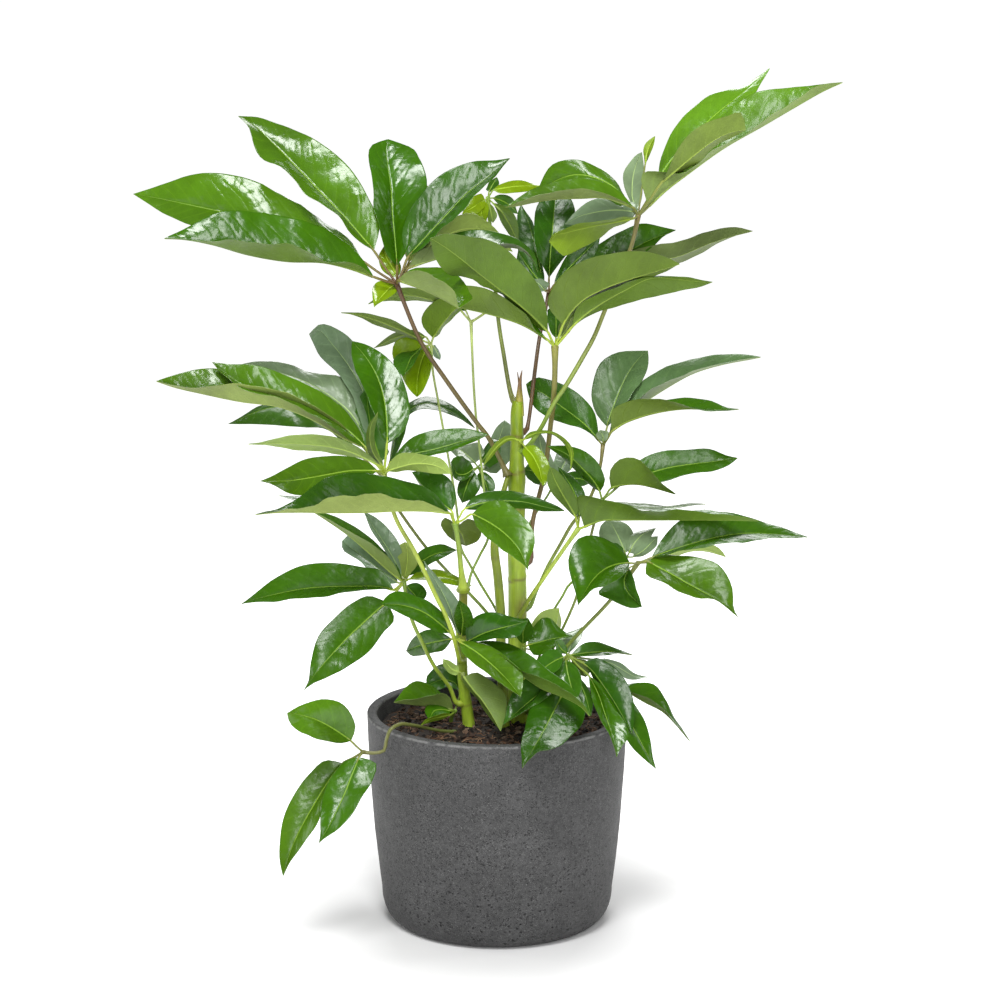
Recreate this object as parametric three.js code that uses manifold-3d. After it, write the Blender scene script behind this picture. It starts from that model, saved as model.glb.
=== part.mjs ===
// A potted umbrella plant: a round grey fibre-clay planter, the potting soil in it,
// three upright stems, and their compound leaves. Each compound leaf is one grown
// piece: a long petiole that ends in a hub, and leaflets that spread from the hub on
// short stalks. Millimetres, +Z up. The origin is the centre of the pot's underside.
import * as THREE from 'three';
import { mergeVertices } from 'three/addons/utils/BufferGeometryUtils.js';
import Module from 'manifold-3d';

// ---- driving dimensions -------------------------------------------------------
const POT_HEIGHT = 230;        // underside to the top of the rim
const RIM_RADIUS = 140;        // outside of the rim
const BASE_RADIUS = 103.6;     // flat part of the underside
const HEEL_RADIUS = 125.3;     // outside, just above the rounded bottom edge
const HEEL_HEIGHT = 34.3;      // height of the rounded bottom edge
const HEEL_POWER = 2.17;       // roundness of the bottom edge (2 is an ellipse)
const WALL_BULGE = 2.6;        // how far the wall swells at half its height
const WALL = 11;               // wall thickness at the rim
const LIP = 2.2;               // rounding of the rim's edges
const FLOOR = 14;              // thickness of the pot's floor
const SOIL_TOP = 212;          // height of the soil's surface
const SOIL_DOME = 4;           // how much higher the soil is at its middle
const GAP = 0.4;               // clearance between pieces that touch
const BLADES = [0.8, 0.76, 0.86, 0.72, 0.9, 0.96];   // half the thickness along a midrib; the first that joins cleanly
const MARGIN = 0.48;           // half the thickness of a leaflet at its margins
const STALK_RADIUS = 1.35;     // radius of a leaflet's own stalk
const TUBE_SIDES = 6;          // sides of a petiole
const POT_SIDES = 48;          // facets round the pot
const STEM_SIDES = 10;         // sides of a stem

// ---- stems: centre line and radius at each point ------------------------------
const STEMS = [
  { name: 'main_stem', colour: 0x97a833, path: [[22.7, 4, 195.1, 10.8], [22.1, 3, 240.2, 10.4], [21.5, 1, 296.3, 10], [21.9, -0, 351.7, 10], [21.3, 0, 406.5, 9.3], [20.8, 0, 444.6, 8.7], [20.7, 0, 482.5, 8.2], [21.2, -0, 525.6, 7], [21.2, 0, 555.6, 6.6], [22.2, 0, 567.4, 5.6]] },
  { name: 'second_stem', colour: 0x97a833, path: [[8.6, -12, 202, 5.6], [6.4, -15, 256.2, 5.4], [4.3, -17, 300.9, 5.3], [3.8, -18, 342.9, 5.2], [0.6, -20, 383.7, 4.8], [-2.6, -22, 413.5, 4.4], [1.1, -20, 448.7, 3.4], [7.5, -16, 474.9, 2.8], [11.7, -12.5, 489.2, 2.4]] },
  { name: 'left_stem', colour: 0x86a030, path: [[-29.1, -5, 203.3, 7], [-32.2, -9, 232.4, 6.4], [-35.3, -14, 255.9, 6], [-37.3, -20, 285.2, 5.6], [-37.2, -27, 314.5, 5.2], [-35.9, -35, 347, 4.9], [-35.4, -42, 372.6, 4.6]] },
];

// ---- compound leaves ----------------------------------------------------------
// petiole: centre line from the stem to the hub, with its radius.
// leaflets: the midrib from its base to its tip, and the two margins beside the
// midrib's inner points. right and left are as seen from the glossy upper side.
const LEAVES = [
  {
    name: 'leaf_crown_left', colour: 0x3f7a1e,
    petiole: [[9.6, -11, 493.3, 2.5], [-9.4, -15, 531.5, 2.5], [-20.9, -20, 547.4, 2.5], [-53.1, -30, 594.6, 2.4], [-77.7, -38, 633.7, 2.3], [-96.9, -44, 680.4, 2.3], [-102.9, -45, 697.1, 2.5]],
    leaflets: [
      { rib: [[-126.7,-35,730.1],[-139.7,-31.5,744.8],[-158.3,-25.3,764.9],[-183.3,-16.6,789.8],[-208.4,-7.2,814.8],[-233.8,2.6,839.5],[-255,10.4,857.6],[-269,15,865]],
        right: [[-121,-29.6,754.6],[-132.1,-22.4,782.6],[-153.1,-12.8,814.8],[-183.2,-1.6,838.4],[-219.5,11.3,854.9],[-250.9,17.6,863.3]],
        left: [[-142.3,-45.9,742],[-159.5,-49,764.2],[-189.5,-44.9,785.6],[-214.8,-32.5,810],[-246.1,-15.6,828.3],[-257.5,1.8,854.4]] },
      { rib: [[-136.9,-40,719.3],[-158.1,-35.4,732.4],[-189.8,-27.4,746.7],[-233.8,-16,758.2],[-279.2,-3.9,765.8],[-324.9,8.8,774.1],[-360.7,19.1,780.3],[-381.5,25,783.1]],
        right: [[-153,-20.1,739.9],[-184.9,-4.3,760.6],[-227.1,3.2,786.7],[-272.3,5.1,804.4],[-319.8,13.5,804],[-359.7,23.1,789.8]],
        left: [[-161.3,-50.7,724.1],[-193.8,-53.1,733.3],[-237.7,-45.9,740.1],[-282.6,-30.1,747.1],[-328.8,-9.1,757.5],[-362.1,10.4,773.3]] },
      { rib: [[-126.1,-55,705.6],[-146.5,-57.5,713.7],[-176.1,-61.8,721.4],[-215.1,-67.9,723.7],[-253.3,-74.5,731],[-290.3,-81.3,742.3],[-319.6,-86.8,748.1],[-336.6,-90,749.1]],
        right: [[-141.7,-44.4,726.7],[-168,-45.6,750],[-208.6,-52.7,765.4],[-246.2,-62.6,773],[-286.1,-73.5,773.1],[-319.6,-81.1,756.5]],
        left: [[-143.4,-72.3,721],[-173.5,-87.7,727],[-210.3,-96.6,743.6],[-247.4,-101.2,746.7],[-287.1,-101.4,748.2],[-318.2,-97.1,749.5]] },
      { rib: [[-103.3,-30,713.9],[-104.2,-25.8,726.7],[-106,-18.4,744.3],[-108.6,-7.9,767],[-110.2,3.3,789.7],[-113.7,15.1,812.4],[-115.8,24.5,830.1],[-113.9,30,840.1]],
        right: [[-94.2,-37.5,728.7],[-88.1,-37.3,748.7],[-80,-22.5,772.7],[-72.6,-0.2,796.9],[-80.8,16.7,820.6],[-92.6,25.5,833.3]],
        left: [[-112.6,-39.6,726.9],[-119.4,-41.6,745.7],[-125.1,-34.8,770.5],[-127.2,-19.5,794.3],[-133.1,3,817.5],[-129.4,21.8,835.3]] },
      { rib: [[-91.6,-37,724.1],[-81.8,-35.8,734.9],[-67.9,-33.7,749.9],[-49.8,-30.7,768.9],[-31.7,-27.6,787.9],[-10.9,-24.2,803.8],[4.9,-21.6,816.5],[13.5,-20,824.4]],
        right: [[-78.8,-47.9,733.4],[-63.2,-54.1,747.8],[-43.4,-54.7,765.5],[-26.4,-49.8,784.3],[-7.5,-40.4,801.2],[5.5,-29.6,816.3]],
        left: [[-97.8,-35.4,743.6],[-91.5,-32.7,766.7],[-75.6,-29.3,791],[-54.3,-26.1,809.9],[-24.4,-21.4,820.8],[-0.1,-18.1,822.2]] },
      { rib: [[-91.2,-20,716.9],[-89.1,-17.5,725.9],[-86.3,-13.2,738.5],[-83.8,-7.1,754.7],[-82.8,-0.5,771],[-88.3,6.3,786.6],[-97.1,11.8,796.3],[-102.2,15,801.7]],
        right: [[-96.3,-7.5,725.1],[-96,3.7,736.6],[-94.8,12.6,751.9],[-93.1,17.6,766.7],[-93.7,19.5,782.8],[-99.2,18.5,794.5]],
        left: [[-79.5,-10.2,722.6],[-66,-6,733.8],[-54.6,-4.4,752.6],[-56.1,0.6,776.9],[-72.1,8.9,793.5],[-92.5,15.3,799.3]] },
      { rib: [[-91.8,-34.9,712.4],[-77.5,-36.4,717.7],[-57.2,-39,724.2],[-30.5,-42.7,729.9],[-3.7,-46.6,733.8],[23.2,-50.8,734.3],[37.6,-54.1,721.8],[42.2,-56,710.9]],
        right: [[-82.8,-38.2,728.3],[-62.8,-47.6,737.8],[-33.8,-56.8,740.8],[-5.2,-60.8,740.4],[22.8,-61.2,737.7],[37.4,-59.4,723.1]],
        left: [[-81.4,-21.4,723.8],[-62,-24.3,739],[-33.8,-32,750.1],[-5,-37.5,751],[25.2,-41.7,740.7],[40.4,-48.5,723.4]] },
      { rib: [[-101.3,-60,703.1],[-94.6,-66.7,701.8],[-85.1,-78.4,700],[-73.3,-95,697.5],[-61.8,-112.8,694.7],[-50.7,-131.4,691.3],[-42.3,-146.3,688.5],[-37.5,-155,687.1]],
        right: [[-93.5,-77.6,712.6],[-81.5,-96.8,717.1],[-67.4,-116.6,716.1],[-54.5,-132.8,711.7],[-44,-145.9,703.6],[-39.2,-153.7,693.9]],
        left: [[-89.3,-57.2,712.4],[-69.7,-64.6,717.2],[-48.5,-81.4,717.1],[-35.6,-101.9,709.3],[-27.9,-123.7,700],[-25.5,-144,692.9]] },
      { rib: [[-103.2,-35.4,696.9],[-106,-36.8,695.1],[-109.9,-39.4,692.6],[-114.3,-42.9,688.7],[-118.5,-46.7,684.8],[-122.1,-50.7,680.3],[-124.8,-53.9,676.7],[-126.3,-55.8,674.7]],
        right: [[-108,-32.5,696.6],[-115.7,-34.3,698.6],[-123.6,-40.5,698.5],[-127.9,-45.2,693.2],[-128.3,-48.1,684.4],[-127.1,-51.6,678]],
        left: [[-101.2,-40.8,692.2],[-104.3,-47.1,688.9],[-109.1,-52.6,685.7],[-114.1,-55.7,682.5],[-119.5,-57.2,679.2],[-123.8,-57.2,676.5]] },
      { rib: [[-102.4,-30,702.5],[-104.2,-28.2,705.4],[-106.8,-25.2,709.4],[-110.3,-20.8,714.5],[-114,-16.1,719.3],[-116.6,-11.2,724.6],[-117.2,-7.3,729.2],[-117.6,-5,731.8]],
        right: [[-99.9,-26.3,706.6],[-99.4,-22.5,711.9],[-101.8,-18.5,718.2],[-104.5,-14.8,723.4],[-107.6,-10.5,727.6],[-113.6,-7,730.3]],
        left: [[-107.9,-29.6,702.4],[-113.6,-26.4,704.6],[-119.2,-21.8,709],[-122.3,-17.3,716],[-122.5,-13,724],[-119.4,-8.9,729.1]] },
      { rib: [[-87.9,-25,717.5],[-78.5,-22.2,725.3],[-65.3,-17.2,736.1],[-46.3,-10.2,746.9],[-25.6,-2.8,750.3],[-4.5,5.1,742.1],[9.1,11.3,730.1],[16.9,15,723.3]],
        right: [[-80.6,-29.2,730.2],[-67.9,-28.7,745],[-49.3,-21.5,761.6],[-24.1,-11.9,766.7],[-2.3,-2.9,749.5],[10.5,6.6,733.2]],
        left: [[-76.4,-16.3,719.1],[-60.7,-11.9,722.5],[-41.1,-10,727.5],[-24.8,-5.2,729],[-9.1,4.7,729.5],[7.2,13,725.8]] },
    ],
  },
  {
    name: 'leaf_young_top', colour: 0x7f9a2a,
    petiole: [[16.4, 6.5, 569, 2.2], [6.4, 20, 618.7, 2.2], [1.1, 33, 652.1, 2.1], [-3.1, 44, 700.8, 2], [-7.4, 53, 747.6, 1.9], [-9.5, 55, 776, 2.1]],
    leaflets: [
      { rib: [[-4.2,55,784.4],[1,56.4,785.2],[8.2,58.9,786.3],[17.5,62.4,787.2],[26.9,66.1,787.5],[36.4,70,787.3],[43.7,73.2,787],[48,75,786.8]],
        right: [[1,54.6,781.5],[8.3,55.5,780.6],[17.8,58.2,781.1],[27.3,62.7,781.4],[36.7,68.2,782.5],[43.9,72.4,784.8]],
        left: [[-0,58.9,788.2],[7,62.9,791.1],[16.5,66.9,793.3],[26.4,70.6,793],[36.1,73.8,789.9],[43.6,75.2,787.9]] },
      { rib: [[-12.6,50,774.4],[-15,48.9,773],[-18.4,47.1,771],[-22.8,44.5,768.6],[-27.2,41.7,766.4],[-31.5,38.7,764],[-34.9,36.4,762.1],[-36.8,35,761.1]],
        right: [[-15.4,49.7,780.7],[-20.8,48,780.2],[-26.3,46,777.7],[-30.2,44.7,773.3],[-33.4,42.2,767.9],[-35.6,38.5,763.5]],
        left: [[-11.8,47,770],[-14,43.5,766.2],[-18.2,40.1,762.4],[-23.3,38.3,760.3],[-28.7,36.9,758.9],[-33.8,35.3,760.3]] },
      { rib: [[-11.6,50,772.2],[-12.7,48.6,770.1],[-14.4,46.1,767],[-16,42.6,763.1],[-16.6,38.9,758.8],[-14.8,35,755.2],[-12.7,31.8,752.6],[-11.5,30,751.1]],
        right: [[-16.9,48.9,773.5],[-20.6,46.4,770.5],[-24.2,42.9,766.1],[-24.2,38.2,760],[-19.2,33.1,755.9],[-14.3,30.1,752.9]],
        left: [[-9.5,46.3,769.8],[-8.6,42.5,766.8],[-9.1,38.9,763.1],[-9.7,35.7,759.4],[-10.5,32.3,755.7],[-11.1,30.1,752.8]] },
      { rib: [[-4.2,47,771.5],[-0.7,45.4,768.1],[4.2,42.7,763.5],[9.2,38.9,756.6],[13.8,34.8,749.4],[17.6,30.5,741.9],[20.5,27,736],[22.2,25,732.6]],
        right: [[1.7,43.5,771],[9.5,41,768.2],[16.9,38.7,762.2],[21.2,35.2,754.1],[22.8,30.4,744.6],[22.7,26.5,737.1]],
        left: [[-1.6,48.7,767],[0.8,47.9,760.6],[3.8,44.2,752.7],[8.2,38.9,745.6],[13.3,33.2,738.9],[18.9,28.6,734.8]] },
      { rib: [[-4.2,55,776],[-1.1,56.1,775],[3.2,57.9,773.5],[8.5,60.5,770.9],[13.3,63.3,767.4],[17.7,66.3,763.3],[20.7,68.6,759.6],[22.4,70,757.5]],
        right: [[-2,53.2,773.3],[1.3,53.3,770.3],[5.7,55.5,766.9],[10.3,59.4,763.5],[14.8,64.1,759.9],[19.5,67.6,758.2]],
        left: [[-0.5,56.9,778.6],[4.8,58.7,779.4],[11.6,61.2,778.1],[17.5,64.7,773.6],[19.7,68.5,766.3],[21.4,70.4,760.6]] },
      { rib: [[-8.4,60,781.9],[-7.6,60.7,783.4],[-6.5,61.9,785.5],[-5.1,63.7,788.3],[-3.5,65.6,791],[-1.9,67.5,793.6],[-0.7,69.1,795.7],[0,70,796.8]],
        right: [[-6,58.8,782.6],[-3.3,59.2,783.9],[-0.7,61.5,786.3],[1.9,64.7,788.6],[2.3,67.2,791.8],[0.9,68.8,795]],
        left: [[-11.6,61.2,783.9],[-10.6,63.8,786.3],[-9.3,66.6,789.5],[-7.4,68.6,792.3],[-4,70,794.3],[-1.4,70.5,795.9]] },
      { rib: [[-8.4,51,771.1],[-7.9,50.6,769],[-7.3,49.8,766.1],[-6.4,48.8,762.5],[-5.7,47.7,758.8],[-5,46.5,755.1],[-4.5,45.5,752.2],[-4.2,45,750.5]],
        right: [[-6.3,52.5,769.3],[-3.7,52.6,766.8],[-1.7,50.9,763],[0.2,48.4,759.4],[-0.5,46.7,755.5],[-2.8,45.8,752.3]],
        left: [[-10.1,51.9,768.7],[-11.6,51.6,765.5],[-11.6,50,761.5],[-11.5,48.3,757.5],[-8.2,47.5,754.3],[-5.6,46.5,751.8]] },
    ],
  },
  {
    name: 'leaf_crown_right', colour: 0x4b8524,
    petiole: [[30.2, -6, 517, 2.4], [46.3, -14, 541, 2.4], [58.8, -18, 566.2, 2.4], [73.4, -16, 588.1, 2.4], [90.2, -9, 615.6, 2.4], [101.8, -5, 636.2, 2.3], [113.3, 0, 664, 2.3], [126.8, 4, 695.1, 2.2], [139.3, 8, 726.2, 2.2], [144.4, 10, 744.8, 2.2], [147.4, 10, 761.5, 2.6]],
    leaflets: [
      { rib: [[141.7,25,770.5],[134,28.2,778.9],[122.7,33.7,789.8],[104.2,41.6,798.5],[83.7,50,801.1],[64,58.8,794.8],[50.1,65.9,785.8],[42.6,70,779.9]],
        right: [[134.1,34.8,779.8],[124.7,44.8,794.8],[105.4,51.5,809.6],[81.8,54.4,816.7],[57,60.2,809.7],[46.3,66.4,791]],
        left: [[128.8,26.5,770.6],[116.7,29.1,777.6],[100.2,35,783.7],[82.5,44.9,786.4],[66.7,56.6,783],[52,65.4,780.8]] },
      { rib: [[142.9,5,770.4],[130.1,3.2,775.9],[111.6,0.2,781.8],[87,-4.2,781.8],[62.3,-8.9,781.4],[38,-13.8,778.3],[19.2,-17.7,774.8],[8.4,-20,773.9]],
        right: [[133.1,8.9,781.9],[115.2,7.3,795.6],[87,3.8,801.1],[60.8,-2.1,798.4],[35.1,-9.6,790.8],[17.9,-15.7,780.1]],
        left: [[130.7,-3.9,778.8],[112,-11.8,787.6],[86.4,-17.8,792.1],[61.5,-21.5,790.9],[37.2,-23,784.5],[18.8,-22.4,777.8]] },
      { rib: [[147.2,30,763.7],[145.1,33.5,769.6],[142.3,39.7,777.7],[142.6,48.4,788.7],[144.2,57.8,799.6],[147.7,67.6,810.3],[151.9,75.4,818],[154.3,80,822.5]],
        right: [[150.2,32,770.5],[152.9,38.6,778.8],[153.8,47.8,788.1],[154.7,57.1,797.7],[155.8,66.7,808.1],[155,74.6,817.2]],
        left: [[143.1,29.4,769.6],[138.4,33.1,778.1],[134.3,43.3,790],[133.6,56.4,802.3],[141.2,67.6,813],[148.3,75.5,819.9]] },
      { rib: [[154.4,15,814.2],[154.8,15.7,817.4],[155.4,16.9,821.8],[157,18.7,827.2],[158.7,20.6,832.6],[161.6,22.5,837.5],[163.8,24.1,841.4],[165.1,25,843.6]],
        right: [[153.8,14,817.7],[153.2,15,822.5],[152.5,18.2,828.6],[154.2,21,834.8],[158.4,22.8,839.3],[162.5,24.2,842.1]],
        left: [[156,17.3,817],[158.1,19.5,821],[160.4,21.1,826.1],[162.5,22.1,831.1],[164.2,23.4,836.4],[164.8,24.8,840.9]] },
      { rib: [[157.7,10,770.9],[175.1,10.7,787.6],[201.9,11.9,808.1],[237.4,13.7,833],[275.1,15.6,854],[312.5,17.5,875.7],[341.8,19.1,892],[359.4,20,899.7]],
        right: [[150.5,7.8,804.1],[188.2,-4.9,807.5],[226.6,-10.1,832.5],[267.1,-6.4,854.9],[305.1,2,880.9],[338,11.5,897.6]],
        left: [[171.9,23.7,791],[194.7,33.2,818.7],[225.6,32.4,852],[259.9,24.4,885],[302.4,22,893.8],[339.2,23.8,896.8]] },
      { rib: [[169.2,35,796.8],[178.3,39.2,810.5],[193.1,46.6,828.1],[214.6,57.1,848.9],[237.5,68.3,868.2],[262,80.1,886.2],[280.4,89.5,901],[290.3,95,910.2]],
        right: [[182,29.4,807.5],[201,29.7,820.5],[224,37.3,840.3],[242.1,50.5,863],[264,67.3,883.8],[280.9,83.2,900.5]],
        left: [[171.4,48.2,813.8],[181.2,59.9,837],[198.8,70.8,862.4],[225.6,81.9,881.6],[257.3,91.6,890.5],[279.3,96,902]] },
      { rib: [[171.6,2,797.7],[179.3,-2.4,804.8],[190,-10,814.9],[203.6,-20.9,827.7],[217.4,-32.5,840.1],[232.3,-44.6,850.3],[245,-54.3,855],[252.7,-60,856]],
        right: [[176.5,-8.3,809.9],[182.9,-15.6,826.3],[194.4,-21.4,845.3],[211.4,-30.6,859.9],[232.9,-43.4,868.3],[249.6,-53.6,871.3]],
        left: [[181.2,4.6,802.3],[194.3,1.6,809.1],[209,-7.5,819.9],[221.5,-19.9,833.7],[235.1,-35.6,843.9],[246.1,-49.8,851.1]] },
      { rib: [[142.8,0,760.5],[133.4,-3.5,758.9],[120.3,-9.7,757],[103.4,-18.4,755.2],[86.7,-27.8,752.7],[70.3,-37.6,749.5],[57.7,-45.4,746.7],[53.5,-50,741]],
        right: [[133.9,4.1,754.7],[120.9,2.8,749.1],[105.2,-8.9,739.5],[88.9,-26.2,733],[74.6,-40.3,727.1],[65.2,-47.7,728.8]],
        left: [[132.4,-11.3,762.5],[119,-22.9,761.8],[101.8,-33.9,760.5],[85,-42.1,758.1],[68.8,-47.9,753.9],[57.6,-50.7,748.1]] },
      { rib: [[146.8,20,764.7],[139.1,21.8,765.4],[128.3,24.8,766.3],[114.3,29.2,765.1],[100.6,33.9,762.4],[87.1,38.8,758.3],[77.5,42.7,752.7],[72,45,749.5]],
        right: [[145.5,23.7,773.9],[132.5,28.2,774.4],[116.2,31.8,778.7],[99.5,36.1,775.6],[85.8,42,765.4],[76.6,45.3,755.2]],
        left: [[140.6,20.8,757.2],[129.9,22.6,755.7],[116.5,25.8,753.5],[103.3,31.6,750.9],[90.2,37.7,748.7],[78.9,42.3,748.7]] },
    ],
  },
  {
    name: 'leaf_crown_back', colour: 0x1f4f16,
    petiole: [[31.3, 6, 535.3, 2.2], [33.4, 9, 543.3, 2.2], [36.6, 16, 565.8, 2.2], [40.4, 27, 596.2, 2.2], [45.8, 43, 631.4, 2.1], [51.3, 58, 654, 2], [55.7, 70, 673.9, 2.2]],
    leaflets: [
      { rib: [[55.7,75,688.4],[56.2,77.8,697.5],[57,82.8,710.2],[58.5,89.8,726.5],[60.1,97.2,742.7],[61.7,105.1,758.9],[62.9,111.3,771.6],[63.7,115,778.8]],
        right: [[62.3,70.3,698.1],[72.1,74.4,709.8],[82.5,86.2,725.8],[84.5,96.6,743.1],[83.4,104.7,761],[75.8,111.3,773.8]],
        left: [[50.7,69.8,698.9],[43.8,70.8,712.7],[39.6,80.3,730],[39.8,93.8,746.8],[43.5,105.3,763.7],[53.4,111.8,774.7]] },
      { rib: [[50.6,85,678.5],[48.8,88.2,687.1],[46.3,93.7,699.2],[42.6,101.6,714.4],[38.7,110,729.6],[34,118.8,744.6],[29,125.9,755.9],[26,130,762.2]],
        right: [[50.5,81.3,688.4],[48.3,82.2,701.1],[43.8,88.1,716.5],[41.7,97.5,731.9],[36.9,109.8,746.4],[30,121.3,756.6]],
        left: [[41.9,83.3,685.5],[33.1,88.5,695.7],[23.7,99.4,709.3],[22.3,109.6,725.1],[21.6,118.5,741.3],[22.6,125.8,754.3]] },
      { rib: [[51.3,65,677.8],[48.3,66.1,681.7],[44.2,67.9,687.1],[38.7,70.5,693.9],[33.3,73.3,700.7],[28.3,76.3,707.9],[24.6,78.6,713.6],[22.5,80,716.8]],
        right: [[50.5,68.5,682.9],[49.4,71.1,690.3],[44.5,73.1,698.2],[39.4,74.6,706],[34.2,76.8,713.2],[27.7,78.9,716.4]],
        left: [[46.3,63.3,680.6],[39.5,64.6,684.2],[32.2,68.5,689.8],[25.9,72.5,696.4],[21,75.9,704.4],[21.6,78.5,712.2]] },
      { rib: [[60.9,65,682.1],[65.6,65.7,687.4],[72,66.9,694.9],[80.9,68.7,703.9],[90,70.6,712.8],[99,72.5,721.6],[106.1,74.1,728.5],[110.1,75,732.4]],
        right: [[68.8,62.7,684.4],[77.2,62.1,690.2],[87.7,64.5,697.9],[97.7,68.4,705.9],[105.9,71.6,716.1],[109.1,73.7,726.1]],
        left: [[62.7,69.4,689.3],[67.1,71.4,698.9],[73.4,71.1,711.1],[82.1,71.7,720.7],[93.7,73.3,727.5],[103.9,74.4,730.9]] },
      { rib: [[51.2,55,677],[50,53.9,678.6],[48.2,52.1,680.8],[46,49.5,683.8],[43.3,46.7,686.3],[40.5,43.7,688.7],[38.4,41.4,690.6],[37.1,40,691.7]],
        right: [[53.7,54.5,680.5],[55.9,53.6,685],[51.8,52.7,687.6],[47.8,50.9,690.3],[43,47.4,690.8],[39.3,43.4,691.2]],
        left: [[48.4,50.8,676.9],[45.1,46.9,677.6],[42.6,43.4,680.5],[40.1,40.9,683.3],[38.5,39.5,686.9],[37.6,39.2,690]] },
      { rib: [[67.5,70,676.1],[87.5,71.4,684.5],[115.7,73.9,695.3],[153.7,77.4,704.3],[192.4,81.1,710.3],[228.8,85,724.5],[257.8,88.2,733.3],[274.8,90,737.2]],
        right: [[83.2,82.5,692.3],[111.3,91.9,707.3],[150.8,96.2,717.9],[189.3,95.5,724.1],[226.2,94.8,735.5],[256.6,92.6,741.3]],
        left: [[90.7,79.8,673.9],[120.2,88.6,678],[157.9,95.7,687.5],[196,99.2,700.9],[231.1,98.3,718.9],[258.3,95.1,731.9]] },
      { rib: [[64.5,82,681],[76.6,84.3,688.1],[93.5,88.4,697.9],[117.1,94.2,706.9],[141.4,100.3,714.2],[164.3,106.8,725.1],[182.9,112,731.8],[193.7,115,735.6]],
        right: [[79.1,75.9,683.7],[98.3,74.1,689],[121.4,77.3,697.9],[145.7,84.6,706.7],[167.8,95.3,719.5],[183.1,106.6,731.4]],
        left: [[72.4,92.5,693.6],[88.7,101,706.7],[110.8,104.9,722.4],[133.6,105.6,735],[158.4,109,743.5],[181,112.8,738.6]] },
    ],
  },
  {
    name: 'leaf_crown_front', colour: 0x5c7f34,
    petiole: [[35.3, 3, 393.8, 2.4], [36.3, 3, 411.3, 2.5], [38.3, 2, 437.6, 2.5], [43.6, 3, 460.2, 2.5], [48.9, 4, 481.7, 2.5], [53.1, 4, 507.6, 2.6], [56.1, 3, 535.8, 2.7], [59, -6, 564.1, 2.8], [60.3, -16, 587.1, 2.9], [60.7, -22, 610.2, 3], [60.5, -25, 628.6, 3.4]],
    leaflets: [
      { rib: [[53.1,-30.3,645.1],[42.1,-40.5,658.1],[25.9,-58.2,675.4],[3.9,-83.4,696.1],[-18,-110.3,716.1],[-38.9,-138.4,736.6],[-55.5,-161,751.4],[-65.5,-174.2,758.9]],
        right: [[37.6,-28.9,650.8],[21.3,-37.9,667.6],[-0.2,-59.3,690.3],[-25.1,-90.9,706.9],[-52.4,-130.6,720.9],[-62.6,-160.2,743]],
        left: [[51.7,-47.6,667.3],[44,-63.4,695.1],[25.3,-82.6,722.2],[2.4,-107,744.9],[-25.7,-136.2,756],[-50.9,-159.9,761.2]] },
      { rib: [[53.1,-33,637.1],[42.8,-36.7,644.8],[27.7,-43.1,654.3],[6.8,-52.2,663.2],[-14.7,-61.9,670.1],[-36,-72.1,676.5],[-51.6,-80.2,684.2],[-59.8,-85,689.9]],
        right: [[43.9,-27.2,646.9],[31.7,-27,662.5],[7.1,-32.6,675.8],[-21.6,-38.6,679.8],[-46.6,-50,683.6],[-59.9,-66.6,690]],
        left: [[41.7,-45.7,646.1],[31.2,-56.4,664.5],[12.5,-61.6,682.1],[-9.1,-62.7,693.8],[-30.6,-69.2,698.7],[-47.8,-78.4,698.2]] },
      { rib: [[68.5,-35,653.1],[75.6,-39.6,666],[89,-47.6,681.2],[110.7,-59,694.6],[133.7,-71.1,704.9],[156.9,-83.8,713.7],[174.8,-94.1,720.5],[185,-100,724.4]],
        right: [[52.9,-38.2,673.4],[61.9,-44.7,700.2],[88.6,-55,722.5],[119.8,-67.5,731.6],[149.1,-81,734.8],[171.9,-92.7,730.7]],
        left: [[79.3,-27.6,661.7],[93.4,-27.3,673.6],[114.9,-35.4,684.9],[137.2,-49.1,696.9],[159.2,-67.8,708.4],[176.4,-86,717.5]] },
      { rib: [[77.9,-33,650.7],[89.4,-35.6,662.5],[107.5,-40.2,676.4],[132.4,-46.6,691.7],[158,-53.6,704.9],[186.4,-60.8,704.4],[208.3,-66.6,702.7],[220.8,-70,702.3]],
        right: [[81.7,-41.4,670.4],[100.2,-52.6,685.8],[127.7,-62.9,698.2],[155.8,-69.1,707.3],[185.1,-71.9,708],[207.8,-72.2,704.8]],
        left: [[91.4,-27.4,658.8],[111.1,-26.9,668],[138.9,-34.8,676.4],[162.7,-46.9,684.5],[187.4,-55.9,691.1],[209.1,-63.2,696.7]] },
      { rib: [[61.7,-15,636.6],[61.8,-12.5,639.6],[61.8,-8.2,643.6],[61.9,-2.1,648.7],[62,4.5,653.7],[60.9,11.3,658.6],[59.8,16.8,662.4],[59.1,20,664.5]],
        right: [[64.9,-15,639.8],[68.4,-11.2,643.9],[70.2,-3.9,649.5],[70.6,4,655.3],[68.2,11.5,661.4],[63.1,16.9,663.9]],
        left: [[58.3,-14.9,639.4],[55.6,-11.7,643.5],[53.9,-4.5,648.9],[52.7,3.8,654.1],[53.3,11.5,659],[53.9,17,662.8]] },
      { rib: [[66.9,-19,637.2],[68.8,-17.7,640.2],[71.5,-15.3,644.3],[74.5,-12,649.9],[77,-8.4,655.6],[79.6,-4.7,661.3],[81.7,-1.7,665.7],[82.8,0,668.2]],
        right: [[64.5,-17.3,641.7],[63.7,-14.7,647.2],[66.4,-11.4,653.2],[69.5,-7.8,659],[73.3,-4.1,664.9],[78.8,-1.4,667.4]],
        left: [[70.4,-14.8,638.8],[75.3,-10.8,641.2],[79.2,-6.8,647],[82.4,-4.3,653.1],[84.2,-2.5,659.5],[84,-0.9,664.9]] },
    ],
  },
  {
    name: 'leaf_small_upper', colour: 0x3d5a22,
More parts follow.
